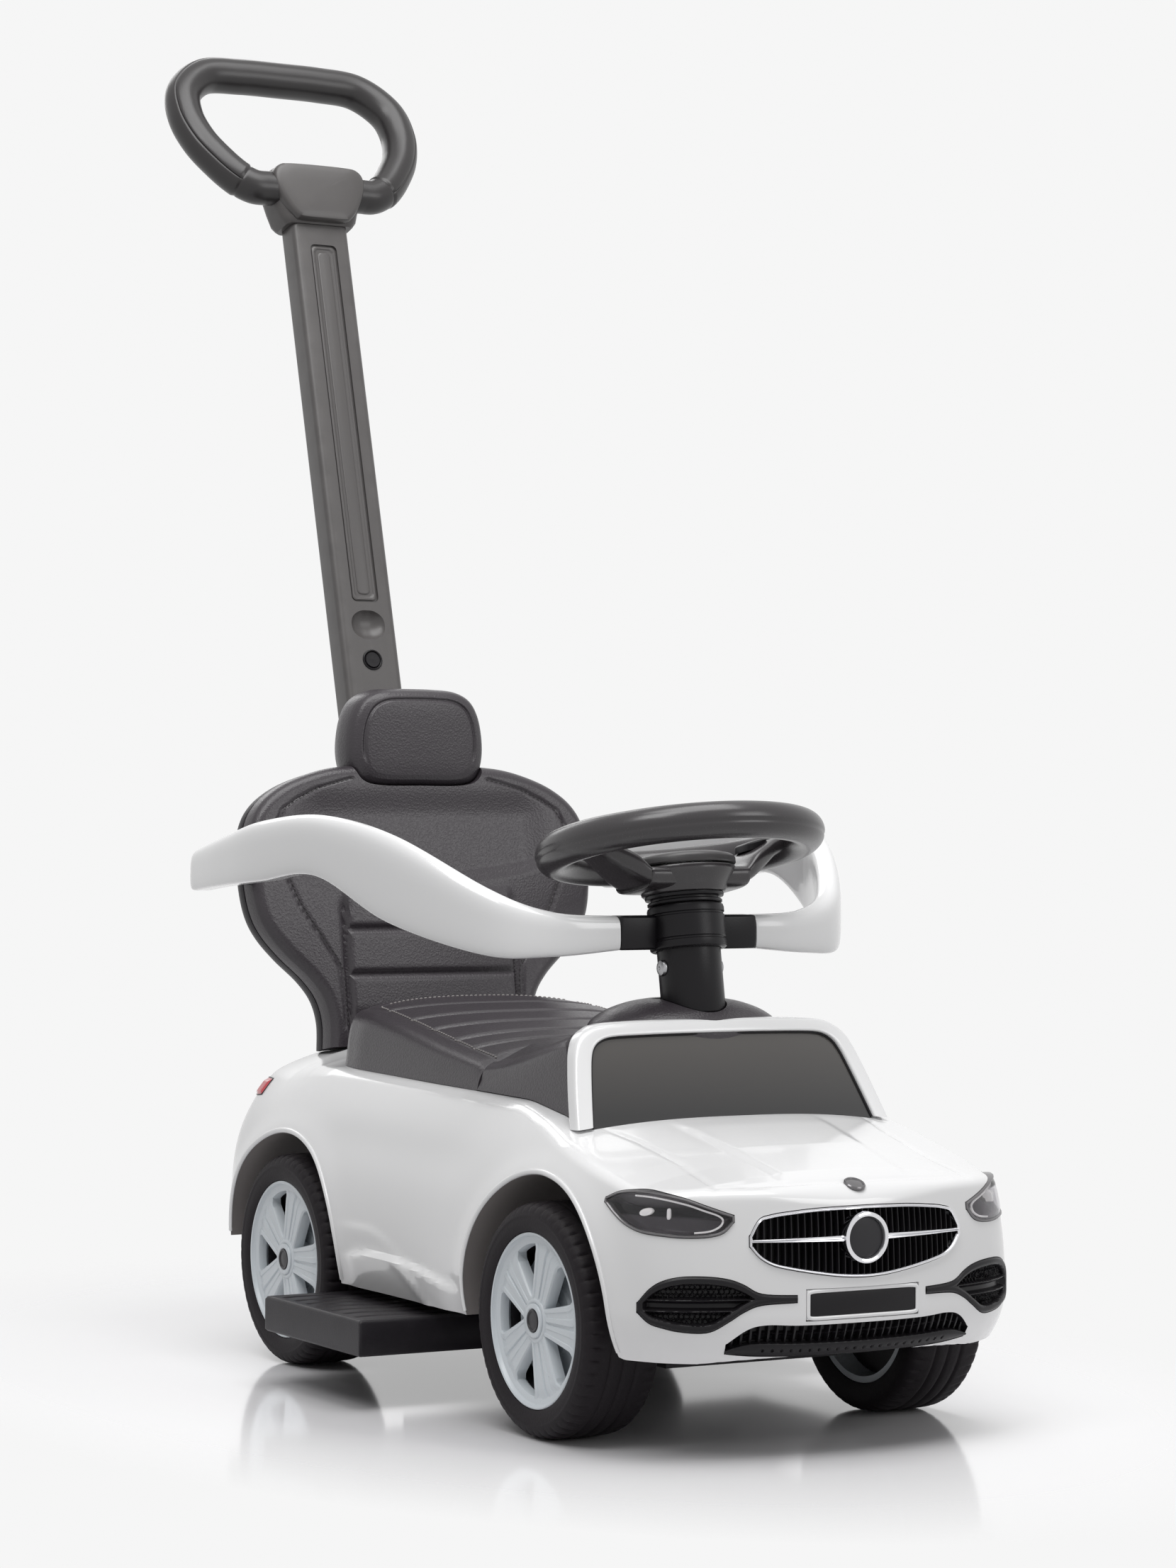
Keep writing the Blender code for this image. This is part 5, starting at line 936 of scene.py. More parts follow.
def intake_height(girth, z, low, high):
    """Matt rim, honeycomb recess and two blades of a side intake."""
    girth = np.abs(girth)
    edge = np.minimum(np.minimum(z - low, high - z) * 0.9, (0.1425 - girth) * 0.9)
    inside = soft_step(edge, 0.0036, 0.0047)
    between = bump(z - 0.0921, 0.0046)
    floor = -0.0046 + 0.0016 * honeycomb(girth, z, 0.0033) * (1 - soft_step(between, 0.3, 0.6))
    blades = 0.0040 * np.maximum(bump(z - 0.0953, 0.0011), bump(z - 0.0889, 0.0011))
    rim = 0.0010 * soft_step(edge, 0.0, 0.0012) - 0.0006 * soft_step(edge, 0.0022, 0.0036)
    return rim * (1 - inside) + (floor + blades) * inside


def build_intakes():
    for side, word in LEFT_RIGHT:
        form = Panel(INTAKE, side).slab(270, 84, intake_height, -LENS_DEPTH)
        add("side_intake_form_" + word, form, TRIM_BLACK, "car", "side_intake_" + word, angle=50)


def chin_height(girth, z, low, high):
    """Upright slats over a smooth lip with a row of small round holes."""
    share = (z - low) / (high - low)
    lip = 1 - soft_step(share, 0.42, 0.50)
    wall = np.abs((girth / 0.0056) % 1 - 0.5)
    level = bump(share - 0.74, 0.045)
    slats = -0.0064 + 0.0036 * np.maximum(soft_step(wall, 0.30, 0.38), 0.7 * level)
    spot = np.hypot(((girth / 0.0062) % 1 - 0.5) * 0.0062, z - low - 0.20 * (high - low))
    hole = (1 - soft_step(spot, 0.0006, 0.0011)) * (np.abs(girth) < 0.070)
    smooth = 0.0016 - 0.0026 * ((share - 0.22) / 0.26) ** 2 - 0.0014 * hole
    return slats * (1 - lip) + smooth * lip


def build_chin():
    form = Panel(CHIN).slab(420, 44, chin_height, -LENS_DEPTH - 0.003)
    add("chin_grille_form", form, TRIM_BLACK, "car", "chin_grille", angle=50)


SURROUND = [
    (0.0, -0.0060), (0.0, 0.0006), (0.0004, 0.0015), (0.0009, 0.0011), (0.0012, 0.0013), (0.0017, 0.0008),
    (0.0020, -0.0010), (0.0020, -0.0060),
]
GRILLE_MIDDLE = 0.1290
RING_PROFILE = [
    (0.0118, -0.004), (0.0120, 0.0018), (0.0126, 0.0030), (0.0138, 0.0034), (0.0150, 0.0028),
    (0.0155, 0.0014), (0.0155, -0.004),
]
DOME_PROFILE = [
    (0.0124, -0.0042), (0.0122, 0.0), (0.0116, 0.0007), (0.0090, 0.0011), (0.0045, 0.0014), (0.0004, 0.0015),
]


def grille_slat(girth):
    low, high = edges_at(GRILLE, girth)
    z = np.linspace(low + 0.0020, high - 0.0020, 7)
    g, z = np.meshgrid(girth + np.array([-0.00085, -0.0003, 0.0003, 0.00085]), z, indexing="ij")
    out = np.array([-0.0030, -0.0012, -0.0012, -0.0030])[:, None]
    return Form().slab(skin_point(g, z, out), skin_point(g, z, -0.0070))


def grille_bar(side):
    """A level bar from the ring to the grille's end, grooved along its middle."""
    g, share = np.meshgrid(np.linspace(0.0130, 0.0738, 40), np.linspace(-1, 1, 9), indexing="ij")
    half, lean = [np.interp(g, [0.013, 0.074], ends) for ends in ([0.0021, 0.0011], [0.0, 0.0003])]
    out = 0.0004 + 0.0016 * (1 - share ** 2) ** 0.5 - 0.0009 * bump(share, 0.22)
    z = GRILLE_MIDDLE + lean + half * share
    return Form().slab(skin_point(g * side, z, out), skin_point(g * side, z, -0.0046))


def build_grille():
    panel = Panel(GRILLE)
    add("grille_back", panel.slab(96, 12, -0.0064, -LENS_DEPTH), LAMP_DARK, "car", "grille_insert")
    slats = joined(*[grille_slat(girth) for girth in np.linspace(-0.0700, 0.0700, 33)])
    add("grille_slats", slats, TRIM_BLACK, "car")
    add("grille_surround", panel.band(SURROUND), CHROME, "car", "grille_trim")
    centre = skin_point(0.0, GRILLE_MIDDLE)
    ring = lathed(RING_PROFILE, centre, (0, -1, 0), 72, closed=True)
    add("grille_bar_and_ring", joined(ring, grille_bar(-1), grille_bar(1)), CHROME, "car")
    add("grille_disc", lathed(DOME_PROFILE, centre, (0, -1, 0), 64), CAP_DARK, "car")


def build_plate():
    """A blank plate: a holder, its raised border and the sunk dark field."""
    low, high = PLATE_Z
    base = box_form((-PLATE_HALF_W, PLATE_FRONT, low), (PLATE_HALF_W, PLATE_BACK, high))
    add("plate_holder", base, WHITE, "car", "number_plate", edge=(0.0012, 4))
    inner_w, inner_z = PLATE_HALF_W - 0.0010, (high - low) / 2 - 0.0010
    x, z = (oval(1, 1, 96, 14) * (inner_w, inner_z)).T
    path = xyz(x, PLATE_FRONT, z + (low + high) / 2)
    rim = carried(path, oval(0.0012, 0.0009, 12, 2.6), (0, -1, 0), closed=True)
    add("plate_border", rim, WHITE, "car")
    field_w = inner_w - 0.0008
    field = box_form((-field_w, PLATE_FRONT - 0.0002, low + 0.0017), (field_w, -0.4100, high - 0.0017))
    add("plate_blank_field", field, TRIM_BLACK, "car", edge=(0.0004, 2))


# Windscreen and console

SCREEN_INNER = [
    (0.1020, 0.1860), (0.0978, 0.2030), (0.0938, 0.2180), (0.0908, 0.2272), (0.0875, 0.2328),
    (0.0822, 0.2366), (0.0740, 0.2386), (0.0560, 0.2394), (0.0280, 0.2399), (0, 0.2400),
]
SCREEN_OUTER = [
    (0.1135, 0.1845), (0.1092, 0.2040), (0.1050, 0.2200), (0.1016, 0.2305), (0.0974, 0.2378),
    (0.0910, 0.2428), (0.0815, 0.2462), (0.0600, 0.2478), (0.0300, 0.2484), (0, 0.2485),
]
SCREEN_DEPTH = 0.0120
SCREEN_FOOT_Y, SCREEN_FOOT_Z = -0.279, 0.1895
SCREEN_SLOPE, SCREEN_BOW = 0.572, 0.82


def screen_y(x, z):
    """Front of the windscreen, which leans back and bows towards its sides."""
    return SCREEN_FOOT_Y + (z - SCREEN_FOOT_Z) * SCREEN_SLOPE + SCREEN_BOW * x * x


def build_windscreen():
    inner, outer = [mirrored_line(flowing(half, 12)) for half in (SCREEN_INNER, SCREEN_OUTER)]
    around = oval(0.5, 0.5, 28, 4.5) + 0.5
    rings = []
    for a, b in zip(inner, outer):
        x, z = [a[k] + (b[k] - a[k]) * around[:, 0] for k in (0, 1)]
        y = screen_y(x, z) + SCREEN_DEPTH * around[:, 1]
        rings.append(xyz(x, y, np.maximum(z, crest(x, y) + 0.0004)))
    add("windscreen_hoop", lofted(rings), WHITE, "car", "windscreen_frame")
    seal_path = [(x * 0.996, screen_y(x, z) + 0.0034, z - 0.0006) for x, z in inner]
    seal = carried(seal_path, oval(0.0008, 0.0008, 10), (0, -1, 0.5))
    add("windscreen_seal", seal, TRIM_BLACK, "car")
    tops = flowing(SCREEN_INNER[::-1], 12)
    x = 0.1012 * np.sin(np.linspace(-1, 1, 81) * math.pi / 2)
    high = np.interp(np.abs(x), tops[:, 0], tops[:, 1]) + 0.0012
    low = np.minimum(crest(x, screen_y(x, SCREEN_FOOT_Z)) + 0.0006, high - 0.0008)
    share = np.linspace(0, 1, 24)[None, :]
    z = low[:, None] + (high - low)[:, None] * share
    x = np.broadcast_to(x[:, None], z.shape)
    sheets = [xyz(x, screen_y(x, z) + back, z) for back in (0.0040, 0.0070)]
    # The sheet's colour grows lighter towards its top: a painted reflection.
    add("windscreen_sheet", Form().slab(*sheets), SCREEN_SMOKE_PAINTED_REFLECTION, "car", "windscreen_panel")


CONSOLE_STATIONS = [
    (-0.1243, 0.2290, 0.2165), (-0.150, 0.2292, 0.2200), (-0.175, 0.2310, 0.2255), (-0.200, 0.2350, 0.2320),
    (-0.225, 0.2400, 0.2380), (-0.2480, 0.2425, 0.2405), (-0.268, 0.2430, 0.2410),
]
COWL_Y = -0.2055
COWL_HALF = (0.0650, 0.0420)
HINGE = (0, -0.1190, 0.2245)
HINGE_BARREL = [(0.0014, -0.0119), (0.0028, -0.0119), (0.0028, 0.0119), (0.0014, 0.0119)]

COWL_PROFILE = [
    (1.02, 0.2340), (1.02, 0.2400), (1.00, 0.2440), (0.94, 0.2480), (0.80, 0.2530), (0.60, 0.2572),
    (0.42, 0.2592), (0.36, 0.2594), (0.33, 0.2580), (0.33, 0.2500),
]


def console_ring(y, middle, side_z):
    """A ring over the console at one station: its upper side, then the body under it."""
    half = [(0.1040, crest(0.104, y) + 0.0006), (0.1014, side_z - 0.0120), (0.0990, side_z - 0.0050),
            (0.0935, side_z - 0.0006), (0.0860, side_z + 0.0012), (0.0600, middle - 0.0008), (0.0300, middle)]
    upper = mirrored_line(flowing(half + [(0, middle + 0.0002)], 5))
    lower = np.array([(x, crest(x, y) + 0.0004) for x in np.linspace(-0.098, 0.098, 15)])
    x, z = np.vstack([upper, lower]).T
    return xyz(x, np.maximum(y, screen_y(x, z) + SCREEN_DEPTH + 0.0003), z)


def cowl_ring(size, angles, z):
    """An oval round the steering column."""
    return xyz(COWL_HALF[0] * size * np.sin(angles), COWL_Y - COWL_HALF[1] * size * np.cos(angles), z)


def build_console():
    console = lofted([console_ring(*station) for station in flowing(CONSOLE_STATIONS, 8)])
    add("console_cover", console, HIDE_DARK, "car", "seat_console")
    cowl = lofted([cowl_ring(size, full_turn(96), z) for size, z in flowing(COWL_PROFILE, 5)])
    well = lathed([(0.0212, -0.13), (0.0212, -0.05)], WHEEL_CENTRE, COLUMN, 64)
    add("column_cowl", cowl, HIDE_DARK, "car", cuts=[well])
    path = cowl_ring(1.02, np.linspace(0.9, 2 * math.pi - 0.9, 60), 0.2412)
    path[:, 2] -= np.where(np.abs(path[:, 0]) > 0.02, 0.0004, 0)
    seam = carried(path + (0, 0, 0.0004), oval(0.0007, 0.0006, 8), (0, 0, 1))
    add("cowl_piping", seam, HIDE_SEAM, "car")
    barrel = lathed(HINGE_BARREL, HINGE, (1, 0, 0), 32, closed=True)
    neck = box_form((-0.0118, -0.1304, 0.2122), (0.0118, -0.1168, 0.2165))
    leg = box_form((-0.0118, -0.1214, 0.2130), (0.0118, -0.1166, 0.2232))
    add("seat_hinge_bracket", joined(barrel, neck, leg), BLACK, "car", edge=(0.0005, 2))


# Wheels


TYRE_PROFILE = [
    (0.0534, 0.0930), (0.0590, 0.0917), (0.0650, 0.0915), (0.0690, 0.0935), (0.0707, 0.0975),
    (0.0712, 0.1060), (0.0713, 0.1175), (0.0712, 0.1290), (0.0707, 0.1365), (0.0690, 0.1405),
    (0.0655, 0.1430), (0.0600, 0.1434), (0.0560, 0.1428), (0.0534, 0.1418),
]
TREAD_GROOVES = (0.1085, 0.1175, 0.1265)
TREAD_BLOCKS = 54


def tyre_form(centre, side):
    """Tyre: rounded walls with a raised band, shoulder blocks and round grooves in the tread."""
    a = full_turn(432)
    block = (0.5 + 0.5 * np.cos(a * TREAD_BLOCKS)) ** 6
    rings = []
    for radius, along in flowing(TYRE_PROFILE, 9):
        on_face = along > 0.13
        groove = 0.0011 * soft_step(radius, 0.0700, 0.0708) * max(bump(along - g, 0.0011) for g in TREAD_GROOVES)
        shoulder = min(1.0, bump(along - 0.1370, 0.0042) + bump(along - 0.0975, 0.0042))
        r = radius - (groove + 0.0012 * block * shoulder * soft_step(radius, 0.0672, 0.0694))
        out = along + 0.0003 * bump(radius - 0.0632, 0.0009) * on_face
        x = centre[0] + side * (out - 0.0006 * block * bump(radius - 0.0675, 0.0016) * on_face)
        rings.append(xyz(x, centre[1] + r * np.cos(a), centre[2] + r * np.sin(a)))
    return lofted(rings, closed=True)


SPOKE_RELIEF = [
    (0, -0.0010), (0.07, -0.0010), (0.11, 0.0), (0.36, 0.0), (0.40, -0.0005), (0.70, -0.0005), (0.74, 0.0001),
    (0.92, 0.0001), (1.0, -0.0010),
]
SPOKE_SHARES = (
    0, 0.04, 0.07, 0.09, 0.11, 0.20, 0.34, 0.36, 0.38, 0.40, 0.42, 0.55, 0.68, 0.70, 0.72, 0.74, 0.76, 0.90,
    0.92, 0.96, 1.0,
)
SPOKE_BACK = 0.1322
SPOKES = 5


def spoke_forms(centre, side):
    """Five broad flat spokes, each with raised bands and a groove, that spread into the rim."""
    half_share = np.array(SPOKE_SHARES)
    share = np.concatenate([-half_share[:0:-1], half_share])
    r, s = np.meshgrid(np.linspace(0.0100, 0.0498, 34), share, indexing="ij")
    half = 0.0078 + 0.0068 * (np.maximum(r - 0.010, 0) / 0.035) ** 1.1 + 0.0042 * soft_step(r, 0.0415, 0.0485)
    across = s * half
    length = np.sqrt(np.maximum(r * r - across * across * 0.8, 0.00004))
    crown = 0.1398 - 0.0012 * soft_step(r, 0.040, 0.0475)
    relief = linear(SPOKE_RELIEF, np.abs(s)) * soft_step(r, 0.0120, 0.0150)
    face = crown + relief * (1 - soft_step(r, 0.0440, 0.0480))
    forms = []
    for k in range(SPOKES):
        lean = math.pi + k * 2 * math.pi / SPOKES
        c, n = math.cos(lean), math.sin(lean)
        y, z = centre[1] + length * c - across * n, centre[2] + length * n + across * c
        forms.append(Form().slab(*[xyz(centre[0] + side * x, y, z) for x in (face, SPOKE_BACK)]))
    return forms


# Turned parts of a wheel: name, finish, whether it replaces the solid, points round, whether it is a ring,
# and rows of (radius, distance out)
TURNED = (
    ("rim", WHEEL_BLUE, True, 160, True, [
        (0.0490, 0.0940), (0.0530, 0.0940), (0.0531, 0.1300), (0.0531, 0.1408), (0.0529, 0.1416), (0.0522, 0.1420),
        (0.0512, 0.1416), (0.0508, 0.1404), (0.0500, 0.1394), (0.0480, 0.1390), (0.0462, 0.1384), (0.0456, 0.1366),
        (0.0454, 0.1330), (0.0480, 0.1300), (0.0484, 0.1200), (0.0486, 0.1000)]),
    ("spokes", WHEEL_BLUE, False, 72, True, [
        (0.0055, 0.1000), (0.0130, 0.1000), (0.0136, 0.1380), (0.0134, 0.1396), (0.0128, 0.1404), (0.0116, 0.1406),
        (0.0107, 0.1403), (0.0107, 0.1392), (0.0055, 0.1392)]),
    # The disc behind the spokes is darker than the rim: painted shade.
    ("wheel_disc", WHEEL_BACK_PAINTED_SHADE, False, 96, True, [
        (0.0060, 0.1200), (0.0395, 0.1200), (0.0412, 0.1210), (0.0415, 0.1262), (0.0400, 0.1276), (0.0372, 0.1270),
        (0.0360, 0.1262), (0.0230, 0.1262), (0.0215, 0.1275), (0.0060, 0.1275)]),
    # A black cup that lines the rim's barrel and closes the wheel's back: a dark sheet for the shade inside the
    # wheel.
    ("wheel_painted_shade_lining", BLACK, False, 96, True, [
        (0.0100, 0.1085), (0.0483, 0.1085), (0.0483, 0.1312), (0.0478, 0.1318), (0.0474, 0.1312), (0.0470, 0.1115),
        (0.0440, 0.1105), (0.0100, 0.1105)]),
    ("cap", WHEEL_BLUE, True, 56, False, [
        (0.0105, 0.1386), (0.0105, 0.1408), (0.0102, 0.1414), (0.0094, 0.1417), (0.0078, 0.1418), (0.0072, 0.1414),
        (0.0070, 0.1400), (0.0004, 0.1400)]),
    ("cap_disc", CAP_DARK, False, 48, False, [
        (0.0068, 0.1396), (0.0068, 0.1416), (0.0064, 0.1420), (0.0056, 0.1418), (0.0052, 0.1413), (0.0030, 0.1415),
        (0.0004, 0.1416)]),
)


def build_wheels():
    for end, axle_y in AXLES:
        for side, word in LEFT_RIGHT:
            label = end + "_" + word
            body = label + "_wheel"
            centre = (0, axle_y, HUB_Z)
            add("tread_" + label, tyre_form(centre, side), TYRE_BLACK, body, "tyre_" + label)
            for name, colour, replaces, count, ring, profile in TURNED:
                form = lathed(profile, centre, (side, 0, 0), count, closed=ring)
                if name == "spokes":
                    form = joined(form, *spoke_forms(centre, side))
                slot = ("hub_cap_" if name.startswith("cap") else "wheel_") + label
                sharp = 45 if name == "spokes" else 35
                add(name + "_" + label, form, colour, body, slot if replaces else None, sharp)


# Seat and backrest

STITCH_PITCH = 0.0036
STITCH_LENGTH = 0.0023


def even_points(path, pitch):
    """Points at an even pitch along a path, with the direction of travel."""
    path = np.array(path, float)
    run = np.concatenate([[0], np.cumsum(np.linalg.norm(np.diff(path, axis=0), axis=1))])
    spots = np.arange(pitch / 2, run[-1], pitch)
    points, ahead = [np.stack([np.interp(at, run, path[:, k]) for k in range(3)], axis=1)
                     for at in (spots, spots + 0.0005)]
    ahead = ahead - points
    return points, ahead / np.maximum(np.linalg.norm(ahead, axis=1)[:, None], 1e-9)


def stitches(path, tree, width):
    """Short threads that lie on a cushion along a seam."""
    forms = []
    for point, ahead in zip(*even_points(path, STITCH_PITCH)):
        spot, normal = tree.find_nearest(Vector(point))[:2]
        if spot is None:
            continue
        across = Vector(ahead).cross(normal).normalized()
        rings = []
        for share, size in ((-0.5, 0.3), (-0.32, 0.9), (0, 1.0), (0.32, 0.9), (0.5, 0.3)):
            middle = spot + Vector(ahead) * STITCH_LENGTH * share + normal * 0.00015
            rings.append([middle + (across * math.cos(a) + normal * math.sin(a)) * width * size
                          for a in full_turn(6)])
        forms.append(lofted(rings))
    return joined(*forms)


def sew(name, paths, cushion, body, thread, width):
    """Lays threads on a finished cushion along its seams."""
    mesh = cushion.data
    tree = BVHTree.FromPolygons([v.co.copy() for v in mesh.vertices], [tuple(p.vertices) for p in mesh.polygons])
    add(name, joined(*[stitches(path, tree, width) for path in paths]), thread, body)


SEAT_FOOT = [
    (-0.1236, 0.1035), (-0.06, 0.1040), (0.05, 0.1035), (0.075, 0.1005), (0.090, 0.0900), (0.100, 0.0720),
]
SEAT_SHOULDER = [
    (-0.1236, 0.0930), (-0.06, 0.0900), (0.05, 0.0860), (0.075, 0.0830), (0.090, 0.0760), (0.100, 0.0640),
]
SEAT_EDGE_Z = [
    (-0.1236, 0.2130), (-0.119, 0.2160), (-0.06, 0.2240), (0.0, 0.2330), (0.05, 0.2395), (0.085, 0.2400),
    (0.100, 0.2330),
]
SEAT_TOP_Z = [
    (-0.1236, 0.2245), (-0.1222, 0.2278), (-0.119, 0.2291), (-0.09, 0.2300), (-0.03, 0.2370), (0.03, 0.2445),
    (0.07, 0.2480), (0.088, 0.2475), (0.095, 0.2440), (0.100, 0.2380),
]


SEAT_CHANNELS = (0.040, 0.004, -0.030, -0.065, -0.0925)


def gentle(rows, at):
    """A table read with its corners rounded off."""
    return sum(linear(rows, at + step) for step in (-0.006, -0.003, 0, 0.003, 0.006)) / 5


def seat_seam_x(y):
    return gentle(SEAT_SHOULDER, y) - 0.0040


def seat_height(x, y):
    """Height of the seat's upper side: crowned, sewn in channels inside a border seam."""
    shoulder, edge, top = [gentle(rows, y) for rows in (SEAT_SHOULDER, SEAT_EDGE_Z, SEAT_TOP_Z)]
    share = np.minimum(np.abs(x) / shoulder, 1.0)
    z = edge + (top - edge) * (1 - share ** 2.6) ** 0.8
    seam = seat_seam_x(y) * (1 - 0.12 * soft_step(y, 0.060, 0.082))
    inside = soft_step(seam - np.abs(x), 0.0, 0.006) * (1 - soft_step(y, 0.066, 0.074))
    dent = np.zeros(np.shape(z))
    for line_y in SEAT_CHANNELS:
        dent = np.maximum(dent, bump(y - line_y - 0.0085 * (x / 0.085) ** 2, 0.0026))
    z = z - 0.0024 * dent * inside
    border = np.maximum(bump(np.abs(x) - seam, 0.0014) * (1 - soft_step(y, 0.066, 0.076)),
                        bump(y - 0.0745 + 0.010 * (np.abs(x) / 0.085) ** 4, 0.0015) * (np.abs(x) < seam))
    return z - 0.0014 * border


SEAT_Y = np.concatenate([np.linspace(*span) for span in ((-0.1236, -0.116, 9), (-0.1150, 0.0840, 200),
                                                        (0.0855, 0.1000, 14))])


def seat_row(y, foot, shoulder, low_z):
    """Points across the seat pad: up one side wall, over the crown and down the other wall."""
    across = np.linspace(-1, 1, 151) * shoulder
    top = np.stack([across, seat_height(across, y)], axis=1)
    edge_z = top[-1, 1]
    wall = flowing([top[-1], (shoulder + (foot - shoulder) * 0.45, edge_z - 0.0022),
                    (foot - 0.0032, low_z + (edge_z - low_z) * 0.66), (foot - 0.0008, low_z + 0.0040),
                    (foot, low_z)], 5)[1:]
    x, z = np.vstack([wall[::-1] * (-1, 1), top, wall]).T
    return xyz(x, y, np.maximum(z - 0.0016 * soft_step(y, 0.090, 0.100), low_z))


def seat_sheets():
    """The pad's upper side, with its shoulders smoothed, and its under side on the body."""
    foot, shoulder = gentle(SEAT_FOOT, SEAT_Y), gentle(SEAT_SHOULDER, SEAT_Y)
    top = np.array([seat_row(*at) for at in zip(SEAT_Y, foot, shoulder, crest(foot, SEAT_Y) + 0.0012)])
    for _ in range(3):
        smooth = top.copy()
        smooth[:, 1:-1] = 0.25 * top[:, :-2] + 0.5 * top[:, 1:-1] + 0.25 * top[:, 2:]
        band = np.r_[1:26, top.shape[1] - 26:top.shape[1] - 1]
        top[:, band] = smooth[:, band]
    x, y, z = np.moveaxis(top, -1, 0)
    return top, xyz(x, y, np.minimum(z - 0.0010, crest(x, y) + 0.0012))


def seat_seams():
    """The border seam: both sides, then across the rear."""
    along = np.linspace(-0.118, 0.070, 90)
    x = seat_seam_x(along) * (1 - 0.12 * soft_step(along, 0.060, 0.082)) - 0.0022
    seams = [xyz(side * x, along, seat_height(x, along)) for side in (-1, 1)]
    x = np.linspace(-0.0700, 0.0700, 60)
    along = 0.0722 - 0.010 * (np.abs(x) / 0.085) ** 4
    return seams + [xyz(x, along, seat_height(x, along))]


def build_seat():
    notch = box_form((-0.030, -0.14, 0.19), (0.030, -0.1050, 0.2278))
    pad = add("seat_cushion", Form().slab(*seat_sheets()), HIDE_DARK, "seat_lid", "seat_pad", cuts=[notch])
    sew("seat_stitches", seat_seams(), pad, "seat_lid", THREAD, 0.0007)


BACK_OUTLINE = [
    (0.2112, 0.0830), (0.2300, 0.0820), (0.2460, 0.0860), (0.2600, 0.0960), (0.2750, 0.1120),
    (0.2900, 0.1250), (0.3050, 0.1325), (0.3250, 0.1360), (0.3500, 0.1362), (0.3690, 0.1330),
    (0.3830, 0.1240), (0.3940, 0.1090), (0.4020, 0.0900), (0.4075, 0.0680), (0.4100, 0.0400),
]
COVER_THICK = 0.0200
BACK_SEAM = [
    (0.0713, 0.2250), (0.0713, 0.2386), (0.0733, 0.2658), (0.0837, 0.2832), (0.1002, 0.3081),
    (0.1085, 0.3260), (0.1150, 0.3500), (0.1165, 0.3650), (0.1100, 0.3770), (0.0985, 0.3842),
    (0.0820, 0.3920), (0.0550, 0.3992),
]
LEAN_BACK = Vector((0, math.cos(BACK_LEAN), -math.sin(BACK_LEAN)))
BACK_TOP_Y, BACK_TOP_Z = 0.1560, 0.3900


def back_spot(x, z, behind):
    """Points on the backrest: across, up and behind its front plane."""
    y = BACK_TOP_Y + (z - BACK_TOP_Z) * math.tan(BACK_LEAN)
    return xyz(x, y + behind * LEAN_BACK.y, z + behind * LEAN_BACK.z)


def cover_depth(x, z, outline):
    """How far behind the front plane the cover's face lies."""
    x = np.abs(x)
    edge = line_distance(outline, x, z)
    near = np.clip(edge / 0.0085, 0, 1)
    rise = 0.0195 - 0.0095 * (1 - np.sqrt(1 - (1 - near) ** 2.2))
    seam = bump(line_distance(BACK_SEAM, x, z), 0.0010)
    inside = soft_step(0.067 - x, -0.001, 0.003)
    level = np.maximum(bump(z - 0.2929, 0.0024), bump(z - 0.2612, 0.0024)) * inside
    upright = bump(x - 0.067, 0.0022) * (1 - soft_step(z, 0.306, 0.318))
    pads = 0.0022 * inside * (1 - soft_step(z, 0.312, 0.326)) * soft_step(z, 0.222, 0.240)
    dish_z = 0.3250 + 0.0096 * (x / 0.09) ** 2
    dish = soft_step(z, dish_z - 0.003, dish_z + 0.010)
    well = soft_step(0.108 - x, 0.0, 0.030) * dish * (1 - soft_step(z, 0.372, 0.396))
    return COVER_THICK - rise + 0.0011 * seam + 0.0026 * np.maximum(level, upright) - pads + 0.0030 * well + 0.0012


def cover_sheets(outline, loop):
    """The cover's sewn face and its flat back."""
    z_rows = np.concatenate([np.linspace(0.2112, 0.2150, 4)[:-1], np.linspace(0.2150, 0.3900, 150)[:-1],
                             np.linspace(0.3900, 0.4100, 36)])
    share = np.sin(np.linspace(-1, 1, 133) * math.pi / 2 * 0.86) / math.sin(math.pi / 2 * 0.86)
    z, share = np.meshgrid(z_rows, share, indexing="ij")
    x = share * (np.interp(z, outline[:, 0], outline[:, 1]) - 0.0008)
    return back_spot(x, z, cover_depth(x, z, loop)), back_spot(x, z, COVER_THICK)


# (behind the cover, drawn in from the outline)
SHELL_DEPTHS = [
    (0.0002, 0.0004), (0.0030, 0.0), (0.0080, 0.0004), (0.0130, 0.0026), (0.0160, 0.0060), (0.0160, 0.0120),
    (0.0145, 0.0135), (0.0140, 0.0160),
]


def back_shell_form(half):
    """The stiff back, from half its outline: rounded behind, and closed across at both ends."""
    x, z = np.vstack([half, half[::-1] * (-1, 1)]).T
    rings = []
    for behind, shrink in flowing([(COVER_THICK + depth, inset) for depth, inset in SHELL_DEPTHS], 2):
        low_z = z - shrink * np.maximum(0.0, (z - 0.36) / 0.05)
        rings.append(back_spot(x - np.sign(x) * shrink, low_z, behind))
    form = Form().grid(rings, wrap_columns=True)
    count = len(x)
    for start in (0, (len(rings) - 1) * count):
        form.faces += [(start + i, start + i + 1, start + count - i - 2, start + count - i - 1)
                       for i in range(count // 2 - 1)]
    return form


